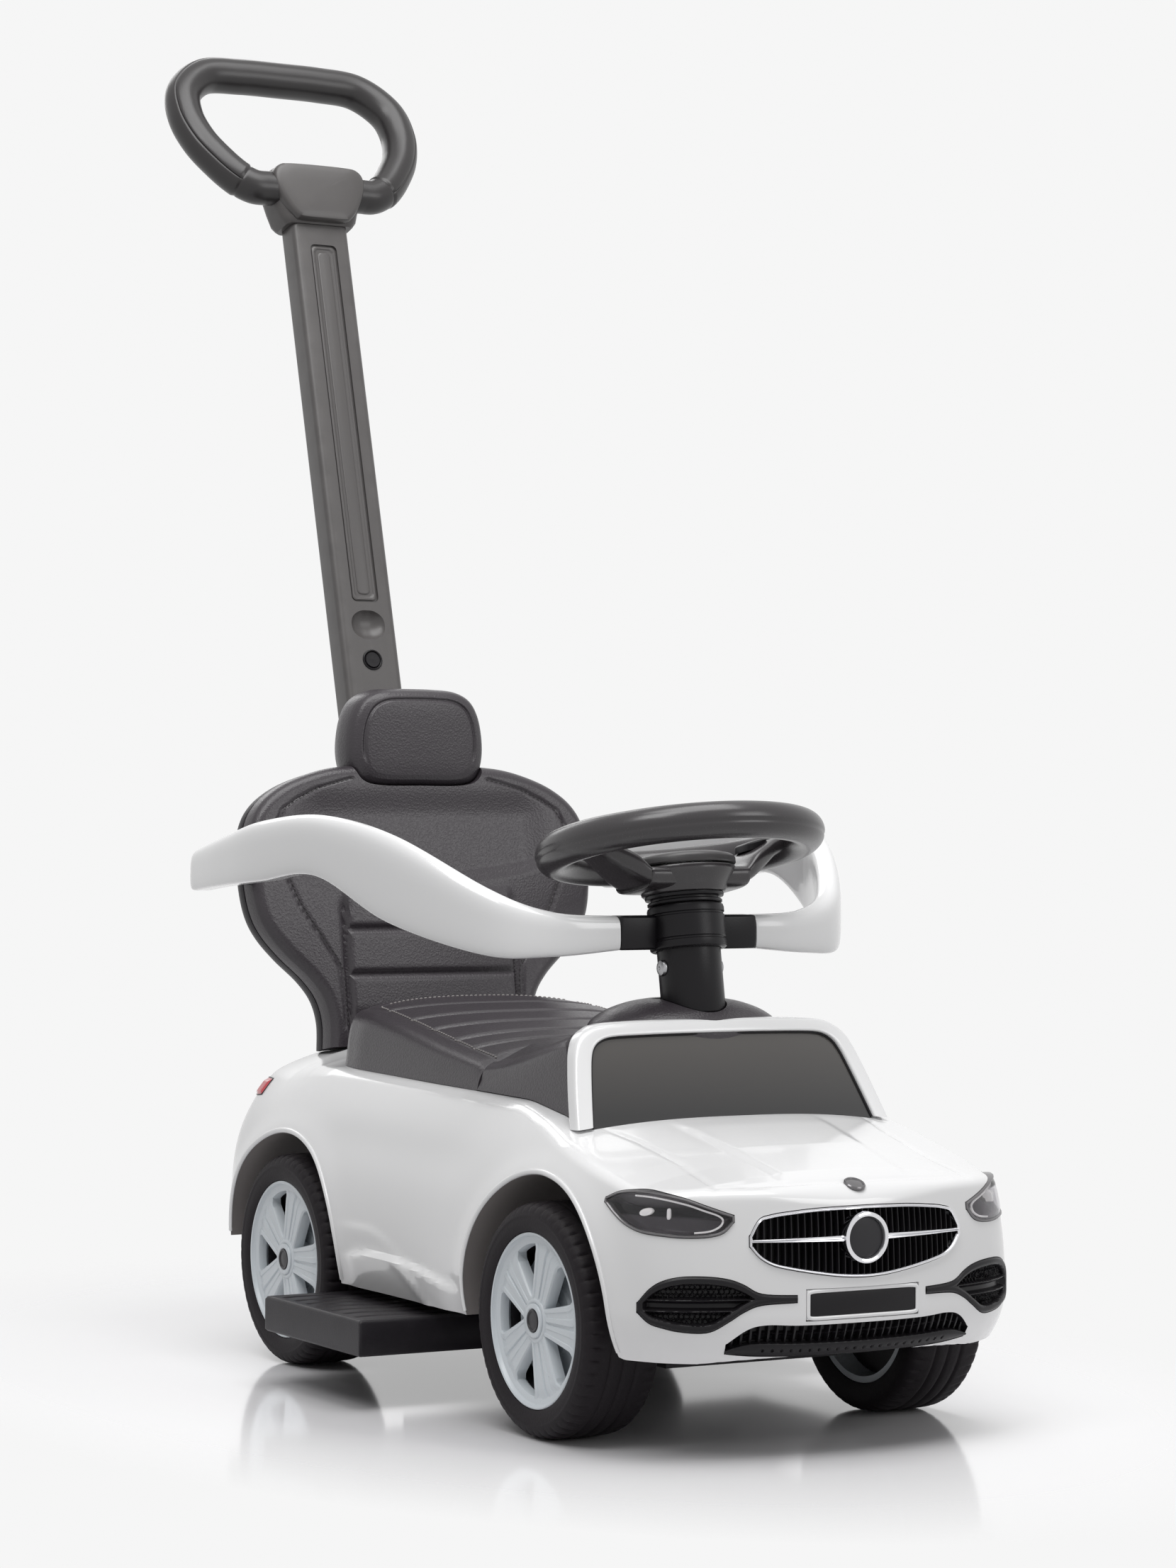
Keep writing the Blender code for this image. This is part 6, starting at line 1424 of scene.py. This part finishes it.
def build_backrest():
    outline = flowing(BACK_OUTLINE, 8)
    loop = [(w, z) for z, w in outline] + [(0.0, outline[-1][0])]
    deck = skin_grid([0.5, 1.0], [0.3, 0.6, 0.95], -0.0007, relief=False)
    deck = Form().grid(deck, wrap_columns=True, caps="strip")
    room = headrest_form([(0.10, 0.97), (0.1990, 0.97)])
    cover = add("backrest_cushion", Form().slab(*cover_sheets(outline, loop)), HIDE_DARK, "car", "backrest_cover",
                cuts=[room, deck])
    x, z = flowing(BACK_SEAM, 8).T
    x = x - 0.0020
    seams = [back_spot(side * x, z, cover_depth(x, z, loop)) for side in (-1, 1)]
    sew("backrest_stitches", seams, cover, "car", HIDE_SEAM, 0.0004)
    mast_way = mast_bar(0.16, 0.34, 0.0276, -0.0046, 0.054)
    add("backrest_rear_shell", back_shell_form(np.array(loop[:-1])), BLACK, "car", "backrest_shell",
        cuts=[deck, room, mast_way])


HEADREST_OUTLINE = [
    (0, 0.3928), (0.0300, 0.3928), (0.0450, 0.3955), (0.0520, 0.4030), (0.0550, 0.4150), (0.0545, 0.4300),
    (0.0510, 0.4450), (0.0440, 0.4560), (0.0320, 0.4618), (0.0150, 0.4632), (0, 0.4634),
]
HEADREST_MIDDLE = 0.4281


HEADREST_FRONT, HEADREST_BACK = 0.1585, 0.1985
# (distance from the front or the back, size)
HEADREST_FACE = [
    (0, 0.02), (0.0001, 0.30), (0.0003, 0.55), (0.0008, 0.74), (0.0011, 0.775), (0.0016, 0.815),
    (0.0024, 0.86), (0.0052, 0.940), (0.0105, 0.985), (0.0180, 1.0),
]
HEADREST_REAR = [
    (-0.0150, 0.992), (-0.0075, 0.955), (-0.0020, 0.880), (0, 0.760), (0.0006, 0.40), (0.0008, 0.02),
]


def headrest_loop():
    half = flowing(HEADREST_OUTLINE, 6)
    return np.vstack([half, half[-2:0:-1] * (-1, 1)])


def headrest_form(layers):
    """The headrest's outline in layers of (y, size)."""
    x, z = headrest_loop().T
    return lofted([xyz(x * size, y, HEADREST_MIDDLE + (z - HEADREST_MIDDLE) * size) for y, size in layers])


def build_headrest():
    layers = [(HEADREST_FRONT + y, size) for y, size in HEADREST_FACE]
    layers += [(HEADREST_BACK + y, size) for y, size in HEADREST_REAR]
    form = headrest_form(flowing(layers, 9))
    points = np.vstack(form.points)
    x, y, z = points.T
    loop = headrest_loop()
    loop[:, 0] *= 0.80
    loop[:, 1] = HEADREST_MIDDLE + 0.0008 + (loop[:, 1] - HEADREST_MIDDLE) * 0.755
    seam = bump(line_distance(loop, x, z), 0.0011) * soft_step(z, 0.4080, 0.4200) * (y < HEADREST_FRONT + 0.012)
    points[:, 1] += 0.0013 * seam
    form.points = [points]
    rest = add("headrest_cushion", form, HIDE_DARK, "car", "headrest", angle=60)


# Steering wheel, column and guard

def tilted(sections):
    """Rings of (sideways, across, along) measured from the steering wheel's centre."""
    centre, side, rear, axis = [np.array(v) for v in (WHEEL_CENTRE, (1.0, 0, 0), COLUMN_REAR, COLUMN)]
    return [centre + side * ring[:, :1] + rear * ring[:, 1:2] + axis * ring[:, 2:3] for ring in sections]


def rounded_spoke(rows):
    """A spoke along a line; rows are (distance, low, high, half width)."""
    width, lift = oval(1, 1, 28, 3.6).T
    rings = []
    for distance, low, high, half in flowing(rows, 6):
        narrowed = half * width * (1 - 0.14 * (1 - lift) / 2)
        rings.append(xyz(distance, narrowed, (low + high) / 2 + (high - low) / 2 * lift))
    return rings


def on_column(profile, count=96, closed=True):
    """A form turned about the steering column."""
    return lathed(profile, WHEEL_CENTRE, COLUMN, count, closed=closed)


BRIDGE = [
    (0.0300, -0.0330, -0.0186, 0.0260), (0.0355, -0.0305, -0.0184, 0.0252),
    (0.0437, -0.0265, -0.0100, 0.0240), (0.0547, -0.0186, -0.0040, 0.0200), (0.0635, -0.0120, 0.0000, 0.0170),
    (0.0770, -0.0060, 0.0030, 0.0150),
]
LOWER_SPOKE = [
    (0.0100, -0.0300, -0.0186, 0.0160), (0.0365, -0.0270, -0.0184, 0.0140),
    (0.0600, -0.0130, -0.0050, 0.0125), (0.0740, -0.0050, 0.0030, 0.0115),
]
# Turned parts on the column: (radius, distance along it)
HUB = [
    (0.0205, -0.0349), (0.0262, -0.0349), (0.0270, -0.0342), (0.0272, -0.0330), (0.0290, -0.0302),
    (0.0332, -0.0244), (0.0340, -0.0225), (0.0341, -0.0196), (0.0337, -0.0190), (0.0205, -0.0190),
]
CENTRE_PAD = [
    (0.0132, -0.0160), (0.0338, -0.0176), (0.0345, -0.0168), (0.0344, -0.0140), (0.0338, -0.0126),
    (0.0322, -0.0116), (0.0316, -0.0119), (0.0306, -0.0114), (0.0280, -0.0104), (0.0240, -0.0098),
    (0.0190, -0.0095), (0.0160, -0.0095), (0.0152, -0.0101), (0.0142, -0.0101), (0.0133, -0.0108),
]
HORN = [
    (0.0004, -0.0124), (0.0129, -0.0124), (0.0129, -0.0101), (0.0124, -0.0093), (0.0112, -0.0087),
    (0.0100, -0.0090), (0.0088, -0.0090), (0.0060, -0.0085), (0.0004, -0.0082),
]
STEM_R = 0.0203
STEM = [
    (0.0060, -0.1118), (0.0196, -0.1118), (STEM_R, -0.1108), (STEM_R, -0.0700), (STEM_R, -0.0417),
    (0.0232, -0.0415), (0.0238, -0.0409), (0.0238, -0.0396), (0.0230, -0.0390), (0.0216, -0.0387),
    (0.0216, -0.0376), (0.0248, -0.0372), (0.0252, -0.0362), (0.0252, -0.0354), (0.0060, -0.0352),
]
SCREW_HEAD = [
    (0.0030, -0.0030), (0.0052, -0.0002), (0.0052, 0.0006), (0.0046, 0.0017), (0.0030, 0.0023),
    (0.0012, 0.0024), (0.0008, 0.0016), (0.0002, 0.0016),
]


RIM_R, RIM_TUBE_R = 0.0810, 0.0115
RIM_TILT = math.radians(2.0)


def steering_ring():
    """The round rim, a little thicker at both sides, with a fine parting ridge."""
    a, b = full_turn(168)[:, None], full_turn(60)
    tube = RIM_TUBE_R - 0.0008 * bump(b - math.radians(348), math.radians(5))
    thick = 1 + 0.035 * bump(np.abs(np.cos(a)) - 1, 0.12)
    radius = RIM_R + np.cos(b) * tube * thick
    height = np.sin(b) * tube * thick - 0.0025 - radius * np.sin(a) * math.tan(RIM_TILT)
    ring = xyz(radius * np.cos(a), radius * np.sin(a), height)
    return lofted(tilted(ring), closed=True)


def steering_spokes():
    """One bridge from side to side, and a spoke towards the rider."""
    bridge = rounded_spoke([(-d, low, high, w) for d, low, high, w in BRIDGE[::-1]] + BRIDGE)
    lower = [ring[:, [1, 0, 2]] for ring in rounded_spoke(LOWER_SPOKE)]
    return [lofted(tilted(rings)) for rings in (bridge, lower)]


def spoke_pad(side):
    """A pad of buttons, level with the bridge that it lies on."""
    rings = []
    for size, lift in ((1.0, -0.0050), (1.0, -0.0012), (0.93, -0.0004), (0.80, 0.0), (0.1, 0.0004)):
        x, across = oval(0.0085 * size, 0.0110 * size, 32, 3.0).T
        x = x + side * 0.0530
        rings.append(xyz(x, across, lift - 0.0008 + 0.25 * (np.abs(x) - 0.053)))
    return lofted(tilted(rings))


def build_steering_wheel():
    wheel = joined(steering_ring(), *steering_spokes(), on_column(HUB))
    add("steering_rim", wheel, RIM_BLACK, "steering", "steering_wheel", angle=50)
    add("spoke_button_pads", joined(spoke_pad(-1), spoke_pad(1)), TRIM_BLACK, "steering")
    add("wheel_centre_pad", on_column(CENTRE_PAD), SATIN, "steering", "steering_cover")
    add("horn_push", on_column(HORN, 72, closed=False), TRIM_BLACK, "horn", "horn_button")


def build_column():
    bolt_way = lathed([(0.0031, -0.05), (0.0031, 0.05)], column_point(COLUMN_BOLT), (1, 0, 0), 24)
    add("column_tube", on_column(STEM), TRIM_BLACK, "steering", "steering_stem", cuts=[bolt_way])
    heads = [lathed(SCREW_HEAD, column_point(COLUMN_BOLT, 0, side * STEM_R), (side, 0, 0), 32)
             for side in (-1, 1)]
    shank = lathed([(0.0028, -0.0200), (0.0028, 0.0200)], column_point(COLUMN_BOLT), (1, 0, 0), 24)
    add("column_screw", joined(shank, *heads), STEEL, "steering", "stem_bolt")


ARM_PATH = [
    (0.1720, 0.1780, 0.3190, 0.3480), (0.1820, 0.1060, 0.3245, 0.3590), (0.1870, 0.0360, 0.3290, 0.3695),
    (0.1830, -0.0440, 0.3340, 0.3735), (0.1680, -0.1190, 0.3060, 0.3610), (0.1330, -0.1840, 0.2875, 0.3290),
    (0.0950, -0.2080, 0.2868, 0.3147), (0.0503, -0.2130, 0.2905, 0.3120),
]
ARM_THICK = 0.0160


ARM_SECTION = [
    (0.0, 0.22), (0.0, 0.50), (0.0004, 0.72), (0.0018, 0.88), (0.0048, 0.975), (0.0086, 1.0), (0.0122, 0.975),
    (0.0152, 0.90), (0.0160, 0.80), (0.0160, 0.50), (0.0160, 0.16), (0.0154, 0.05), (0.0132, 0.0),
    (0.0080, 0.0), (0.0030, 0.0), (0.0008, 0.05),
]
# One end of the clamp's ring: (radius, distance from that end)
CLAMP_BAND = [(0.0245, 0.0022), (0.0245, 0.0050), (0.0238, 0.0056), (0.0238, 0.0066), (0.0245, 0.0072)]


def guard_arm(side):
    """Tall band with a rolled upper edge, a flat lower edge and softened ends."""
    line = flowing(ARM_PATH, 22)
    ahead = np.gradient(line[:, :2], axis=0)
    ahead[-1] = (-1.0, 0.0)
    speed = np.linalg.norm(ahead[-6:-1], axis=1)[:, None]
    ahead[-6:-1] = ahead[-6:-1] * 0.5 + np.array([-1.0, 0.0]) * speed * 0.5
    ahead /= np.linalg.norm(ahead, axis=1)[:, None]
    depths, heights = flowing(ARM_SECTION, 3, closed=True).T
    rings = []
    for i, (x, y, low, high) in enumerate(line):
        shrink = 0.0030 * (1 - math.sqrt(max(0.0, 1 - ((5 - min(i, 5)) / 5) ** 2)))
        share = (heights - 0.5) * (1 - 2 * shrink / (high - low)) + 0.5
        depth = (depths - ARM_THICK / 2) * (1 - 2 * shrink / ARM_THICK) + ARM_THICK / 2
        rings.append(xyz(side * (x + ahead[i, 1] * depth), y - ahead[i, 0] * depth, low + (high - low) * share))
    return lofted(rings)


def build_guard():
    for side, word in LEFT_RIGHT:
        add("guard_arm_form_" + word, guard_arm(side), WHITE, "car", "guard_arm_" + word)
        near, far = sorted((side * 0.1368, side * 0.1560))
        plug = box_form((near, 0.1480, 0.3240), (far, 0.1610, 0.3440))
        add("guard_end_plug_" + word, plug, BLACK, "car", "guard_bracket_" + word, edge=(0.0015, 3))


def build_clamp():
    start, end = [(z - WHEEL_Z) / COLUMN.z for z in CLAMP_Z]
    ring = [(0.0208, start), (0.0232, start), (0.0242, start + 0.0008)] + [(r, start + d) for r, d in CLAMP_BAND]
    ring += [(r, end - d) for r, d in CLAMP_BAND[::-1]] + [(0.0240, end - 0.0006), (0.0228, end), (0.0208, end)]
    wings = [box_form((near, -0.2130, 0.2905), (near + 0.0290, -0.1970, 0.3120)) for near in (-0.0502, 0.0212)]
    add("clamp_wings", joined(*wings), TRIM_BLACK, "car", edge=(0.0020, 3))
    add("clamp_ring", on_column(ring), TRIM_BLACK, "car", "guard_clamp")


# Push handle

def corner_box(half_w, low, high, radius):
    """Points round a box with rounded corners."""
    points = []
    for cx, cy, start in ((half_w - radius, high - radius, 0), (-half_w + radius, high - radius, 90),
                          (-half_w + radius, low + radius, 180), (half_w - radius, low + radius, 270)):
        for i in range(7):
            a = math.radians(start + 15 * i)
            points.append((cx + radius * math.cos(a), cy + radius * math.sin(a)))
    return points


def mast_block(rows):
    """A form up the mast's line: rows are (z, half width, near, far, corner radius)."""
    return lofted([[mast_point(z, across, x) for x, across in corner_box(half_w, near, far, radius)]
                   for z, half_w, near, far, radius in rows])


def on_mast(outline, layers):
    """A plate on the mast's face: layers are (inset, across)."""
    middle = np.mean(np.array(outline), axis=0)
    rings = []
    for inset, across in layers:
        ring = []
        for x, z in outline:
            x -= math.copysign(min(inset, abs(x)), x)
            z -= math.copysign(inset, z - middle[1])
            ring.append(mast_point(z, across, x))
        rings.append(ring)
    return lofted(rings)


MAST_ROWS = [
    (0.1320, 0.0220, 0.001, MAST_DEPTH - 0.001, 0.004), (0.1330, 0.0230, 0, MAST_DEPTH, 0.005),
    (0.8162, 0.0230, 0, MAST_DEPTH, 0.005),
]
SCOOP = [
    (0.0030, -0.0165), (0.0100, -0.0125), (0.0135, -0.0060), (0.0140, 0), (0.0135, 0.0060), (0.0100, 0.0125),
    (0.0030, 0.0165),
]
# Layers of the inlay in the mast's long recess and of the rail on it: (inset, across)
INLAY = [(0, 0.0018), (0, 0.0008), (0.0006, 0.0003), (0.0016, 0.0003), (0.0024, 0.0011), (0.0032, 0.0012)]
INLAY_RAIL = [(0, 0.0018), (0, 0.0009), (0.0005, 0.0005), (0.0010, 0.0004)]
BUTTON_RING = [
    (0.0064, 0.0020), (0.0064, -0.0004), (0.0070, -0.0009), (0.0078, -0.0006), (0.0080, 0.0004),
    (0.0080, 0.0020),
]
BUTTON = [(0.0060, 0.0080), (0.0060, -0.0002), (0.0055, -0.0009), (0.0040, -0.0010), (0.0002, -0.0008)]


def at_button(profile, count, closed=False):
    """A form turned about the axis of the mast's button."""
    return lathed(profile, mast_point(MAST_BUTTON_Z), MAST_REAR, count, closed=closed)


def build_handle():
    recess = on_mast(corner_box(0.0110, 0.5290, 0.8009, 0.0040), [(0, -0.004), (0, 0.0017)])
    scoop = lathed(flowing(SCOOP, 4), mast_point(0.5120, -0.0085), (1, 0, 0), 48)
    hole = at_button([(0.0064, -0.010), (0.0064, 0.012)], 40)
    add("mast_tube", mast_block(MAST_ROWS), GRAPHITE, "handle", "handle_mast", cuts=[joined(recess, scoop, hole)])
    inlay = on_mast(corner_box(0.0096, 0.5304, 0.7995, 0.0032), INLAY)
    add("mast_inlay", inlay, GRAPHITE, "handle")
    rail = on_mast(corner_box(0.0050, 0.5350, 0.7949, 0.0030), INLAY_RAIL)
    add("mast_inlay_rail", rail, GRAPHITE, "handle")
    add("mast_button_ring", at_button(BUTTON_RING, 48, closed=True), TRIM_BLACK, "handle")
    add("mast_push_button", at_button(BUTTON, 40), TRIM_BLACK, "handle_button", "mast_button")


def build_socket():
    near, far = -0.0040, MAST_DEPTH + 0.0040
    sleeve = mast_block([
        (0.0900, 0.0262, near + 0.0008, far - 0.0008, 0.005), (0.0910, 0.0270, near, far, 0.006),
        (0.2540, 0.0270, near, far, 0.006), (0.2588, 0.0266, near + 0.0004, far - 0.0004, 0.006),
        (0.2600, 0.0256, near + 0.0014, far - 0.0014, 0.005),
    ])
    bore = mast_block([(z, 0.0233, -0.0003, MAST_DEPTH + 0.0003, 0.0050) for z in (0.1300, 0.30)])
    add("mast_sleeve", sleeve, BLACK, "car", "mast_socket", cuts=[bore])


YOKE_FOOT, YOKE_LENGTH = 0.8164, 0.0445
# (share of the length, half width, corner radius, inset)
YOKE_ROWS = [
    (0.0, 0.0270, 0.0060, 0.0030), (0.03, 0.0286, 0.0070, 0.0018), (0.10, 0.0312, 0.0085, 0.0002),
    (0.30, 0.0345, 0.0100, 0.0), (0.55, 0.0375, 0.0110, 0.0), (0.74, 0.0380, 0.0120, 0.0),
    (0.86, 0.0372, 0.0130, 0.0006), (0.94, 0.0354, 0.0130, 0.0016), (0.985, 0.0328, 0.0110, 0.0030),
    (1.0, 0.0300, 0.0090, 0.0045),
]
YOKE_FACE = [
    (0.0, 0.8176), (0.0170, 0.8178), (0.0225, 0.8196), (0.0285, 0.8262), (0.0345, 0.8370), (0.0372, 0.8460),
    (0.0366, 0.8540), (0.0320, 0.8588), (0.0240, 0.8602), (0.0, 0.8606),
]
YOKE_MIDDLE = 0.8400
YOKE_LAYERS = [
    (1.0, -0.0010), (1.0, -0.0052), (0.985, -0.0072), (0.95, -0.0086), (0.88, -0.0093), (0.70, -0.0099),
    (0.40, -0.0103), (0.02, -0.0104),
]


def build_yoke():
    block = mast_block([(YOKE_FOOT + YOKE_LENGTH * share, half_w, -0.0040 + inset, 0.0280 - inset, radius)
                        for share, half_w, radius, inset in YOKE_ROWS])
    add("yoke_block", block, GRAPHITE, "handle", "grip_yoke")
    face = flowing(both_sides(YOKE_FACE), 5, closed=True)
    plate = lofted([[mast_point(YOKE_MIDDLE + (z - YOKE_MIDDLE) * size, across, x * size) for x, z in face]
                    for size, across in YOKE_LAYERS])
    add("yoke_face", plate, GRAPHITE, "handle")


# The grip's middle line from the yoke to the top: (sideways, up the loop)
GRIP_LINE = [
    (0.0300, -0.0186), (0.0390, -0.0185), (0.0500, -0.0180), (0.0610, -0.0110), (0.0725, 0.0030),
    (0.0840, 0.0230), (0.0895, 0.0470), (0.0850, 0.0720), (0.0640, 0.0915), (0.0330, 0.0952), (0, 0.0955),
]
GRIP_R = 0.0136
GRIP_SLEEVE_END = 0.0296
GRIP_FOOT = (0.8609, 0.0110)
GRIP_LEAN = math.radians(34.0)


def build_grip():
    """The loop: a soft sleeve between two bare ends, which have a parting line."""
    up = Vector((0, math.sin(GRIP_LEAN), math.cos(GRIP_LEAN)))
    face = Vector((0, -math.cos(GRIP_LEAN), math.sin(GRIP_LEAN)))
    centre = mast_point(*GRIP_FOOT)
    line = mirrored_line(flowing(GRIP_LINE, 14))
    path = np.array([centre + up * s + Vector((x, 0, 0)) for x, s in line])
    run = np.concatenate([[0], np.cumsum(np.linalg.norm(np.diff(path, axis=0), axis=1))])
    seam_angles = np.radians([48.0, 228.0])
    near_seams = [seam_angles + step for step in (-0.075, -0.045, 0, 0.045, 0.075)]
    a = np.sort(np.concatenate([full_turn(36)] + near_seams))
    seams = sum(bump(np.angle(np.exp(1j * (a - seam))), 0.04) for seam in seam_angles)
    sections = []
    for from_end in np.minimum(run, run[-1] - run):
        sleeve = 1 - soft_step(from_end, 0.0290, 0.0302)
        notch = 0.0009 * bump(from_end - GRIP_SLEEVE_END, 0.0006)
        radius = GRIP_R - 0.0007 * sleeve - 0.0008 * seams * (1 - sleeve) - notch
        sections.append(np.stack([radius * np.cos(a), radius * np.sin(a)], axis=1))
    add("grip_tube", carried(path, sections, face), GRIP_BLACK, "handle", "grip_loop")


# Foot rests

FOOT_X, FOOT_Y, FOOT_Z = (0.0520, 0.1900), (-0.1310, 0.0080), (0.0345, 0.0575)
FOOT_GROOVES = 7


def build_foot_rests():
    (low_x, high_x), (y0, y1), (z0, z1) = FOOT_X, FOOT_Y, FOOT_Z
    x = np.concatenate([np.linspace(low_x, 0.1000, 5)[:-1], np.linspace(0.1000, high_x, 76)])
    y = np.linspace(y0, y1, 190)
    gx, gy = np.meshgrid(x, y, indexing="ij")
    margin = np.minimum(np.minimum(gy - y0, y1 - gy), high_x - gx)
    inside = soft_step(margin, 0.0062, 0.0076) * soft_step(gx, 0.1010, 0.1030)
    wave = 0.0030 * np.sin((gx - 0.150) / 0.040 * math.pi)
    groove = np.zeros_like(gx)
    for i in range(FOOT_GROOVES):
        line = y0 + 0.0080 + (y1 - y0 - 0.0160) / FOOT_GROOVES * (i + 0.5) + wave
        groove = np.maximum(groove, bump(gy - line, 0.0017))
    top_round, under_round = [radius * (1 - np.sqrt(1 - (1 - np.clip(margin / radius, 0, 1)) ** 2))
                              for radius in (0.0022, 0.0016)]
    top = z1 - 0.0019 * groove * inside - top_round - 0.0003 * bump(margin - 0.0056, 0.0005)
    for side, word in LEFT_RIGHT:
        form = Form().slab(*[xyz(side * gx, gy, z) for z in (top, z0 + under_round)])
        add("foot_tray_" + word, form, BLACK, word + "_rest", "foot_rest_" + word, angle=50)


# Stage: camera, floor and light

CAMERA_PLACE = (-1.2748, -2.3128, 0.3854)
CAMERA_ANGLES = (-29.751, -0.2154, 0.3783)
CAMERA_LENS = 89.18
# Lamp, place, size, watts
SOFTBOXES = (
    ("top_softbox", (0.0, -0.5, 2.3), 1.5, 30), ("left_softbox", (-1.35, -0.9, 2.35), 1.1, 21),
    ("right_softbox", (1.2, -2.3, 1.3), 1.2, 13), ("rear_softbox", (0.2, 2.0, 1.7), 1.2, 8),
)


def build_camera(scene):
    """A long lens at the photograph's angle: turned about Z, tilted, then rolled."""
    turn, tilt, roll = [math.radians(a) for a in CAMERA_ANGLES]
    right = Vector((math.cos(turn), math.sin(turn), 0))
    back = Vector((math.sin(turn) * math.cos(tilt), -math.cos(turn) * math.cos(tilt), math.sin(tilt)))
    up = back.cross(right)
    axis_x = right * math.cos(roll) + up * math.sin(roll)
    axis_y = up * math.cos(roll) - right * math.sin(roll)
    lens = bpy.data.cameras.new("camera")
    lens.lens = CAMERA_LENS
    lens.sensor_width = 36
    camera = bpy.data.objects.new("camera", lens)
    scene.collection.objects.link(camera)
    place = Matrix((axis_x, axis_y, back)).transposed().to_4x4()
    place.translation = CAMERA_PLACE
    camera.matrix_world = place
    scene.camera = camera


FLOOR_Y, FLOOR_Z = 0.02, -0.0004
FLOOR_RADII = (0.0001, 0.3, 0.6, 1.0, 1.5)
FLOOR_FADE = (0.40, 0.68)


def build_floor():
    """A pale gloss floor that fades into the white around it."""
    rings = [[(r * math.cos(a), FLOOR_Y + r * math.sin(a), FLOOR_Z) for a in full_turn(96)] for r in FLOOR_RADII]
    pale = bpy.data.materials.new("pale_floor")
    pale.use_nodes = True
    tree = pale.node_tree
    shader = tree.nodes["Principled BSDF"]
    shader.inputs["Base Color"].default_value = (0.90, 0.892, 0.91, 1)
    shader.inputs["Roughness"].default_value = 0.10
    shader.inputs["IOR"].default_value = 1.5
    place = object_place(tree)
    beside = node(tree, "VectorMath", {0: place, 1: (1.6, 1.0, 1.0)}, operation="MULTIPLY").outputs["Vector"]
    far = node(tree, "VectorMath", {0: beside}, operation="LENGTH").outputs["Value"]
    fade = spread(tree, far, *FLOOR_FADE)
    clear = node(tree, "BsdfTransparent").outputs[0]
    mixed = node(tree, "MixShader", {0: fade, 1: shader.outputs[0], 2: clear})
    tree.links.new(mixed.outputs[0], tree.nodes["Material Output"].inputs["Surface"])
    shaped("floor", Form().grid(rings, wrap_columns=True), pale)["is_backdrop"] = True


def build_light(scene):
    """Four softboxes, and a world that lights less than it shows."""
    world = bpy.data.worlds.new("studio")
    scene.world = world
    world.use_nodes = True
    tree = world.node_tree
    tree.nodes.clear()
    rays = node(tree, "LightPath").outputs
    seen = sum_of(tree, "MAXIMUM", rays["Is Camera Ray"], rays["Is Transmission Ray"])
    seen = sum_of(tree, "MAXIMUM", seen, rays["Is Glossy Ray"])
    lit = node(tree, "Background", {"Color": (1.0, 1.0, 1.0, 1), "Strength": 0.32})
    shown = node(tree, "Background", {"Color": (0.921, 0.921, 0.921, 1), "Strength": 1.0})
    mixed = node(tree, "MixShader", {0: seen, 1: lit.outputs[0], 2: shown.outputs[0]})
    out = tree.nodes.new("ShaderNodeOutputWorld")
    tree.links.new(mixed.outputs[0], out.inputs["Surface"])
    for name, spot, size, power in SOFTBOXES:
        lamp = bpy.data.lights.new(name, "AREA")
        lamp.energy = power
        lamp.size = size
        holder = bpy.data.objects.new(name, lamp)
        scene.collection.objects.link(holder)
        holder.location = spot
        holder.rotation_euler = (Vector((0, 0, 0.25)) - Vector(spot)).to_track_quat("-Z", "Y").to_euler()


def dress_solids():
    """Gives every solid that stays in view the finish of its kind."""
    kinds = (
        (BLACK, "floor_pan storage_bin seat_base mast_socket mast_button guard_bracket_left guard_bracket_right "
                "knuckle_left knuckle_right steering_stem backrest_shell guard_clamp chin_grille grille_insert "
                "side_intake_left side_intake_right"),
        (STEEL, "rear_axle kingpin_left kingpin_right seat_hinge_pin stem_bolt steering_rod tie_rod"),
        (WHITE, "number_plate windscreen_frame guard_arm_left guard_arm_right"),
        (SATIN, "handle_mast grip_yoke grip_loop steering_cover steering_wheel horn_button foot_rest_left "
                "foot_rest_right"),
        (HIDE_DARK, "seat_pad backrest_cover headrest seat_console"),
        (SMOKED, "windscreen_panel headlight_left headlight_right"),
        (RED, "taillight_left taillight_right"),
        (CHROME, "grille_trim"),
    )
    finishes = {name: material for material, names in kinds for name in names.split()}
    for name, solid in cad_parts.items():
        if name.startswith("tyre_"):
            finishes[name] = TYRE_BLACK
        elif name.startswith(("wheel_", "hub_cap_")):
            finishes[name] = WHEEL_BLUE
        if name in finishes:
            solid.data.materials.clear()
            solid.data.materials.append(finishes[name])


SCENE = bpy.context.scene
SCENE.view_settings.view_transform = "Standard"
build_camera(SCENE)
build_floor()
build_light(SCENE)
dress_solids()
for build in (
    build_body, build_arch_lips, build_hood_disc, build_headlights, build_tail_lamps, build_intakes,
    build_chin, build_grille, build_plate, build_windscreen, build_console, build_wheels, build_seat,
    build_backrest, build_headrest, build_steering_wheel, build_column, build_guard, build_clamp,
    build_handle, build_socket, build_yoke, build_grip, build_foot_rests,
):
    build()

boxes = [[list(map(float, corner)) for corner in box] for box in (CAD_BOX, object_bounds())]
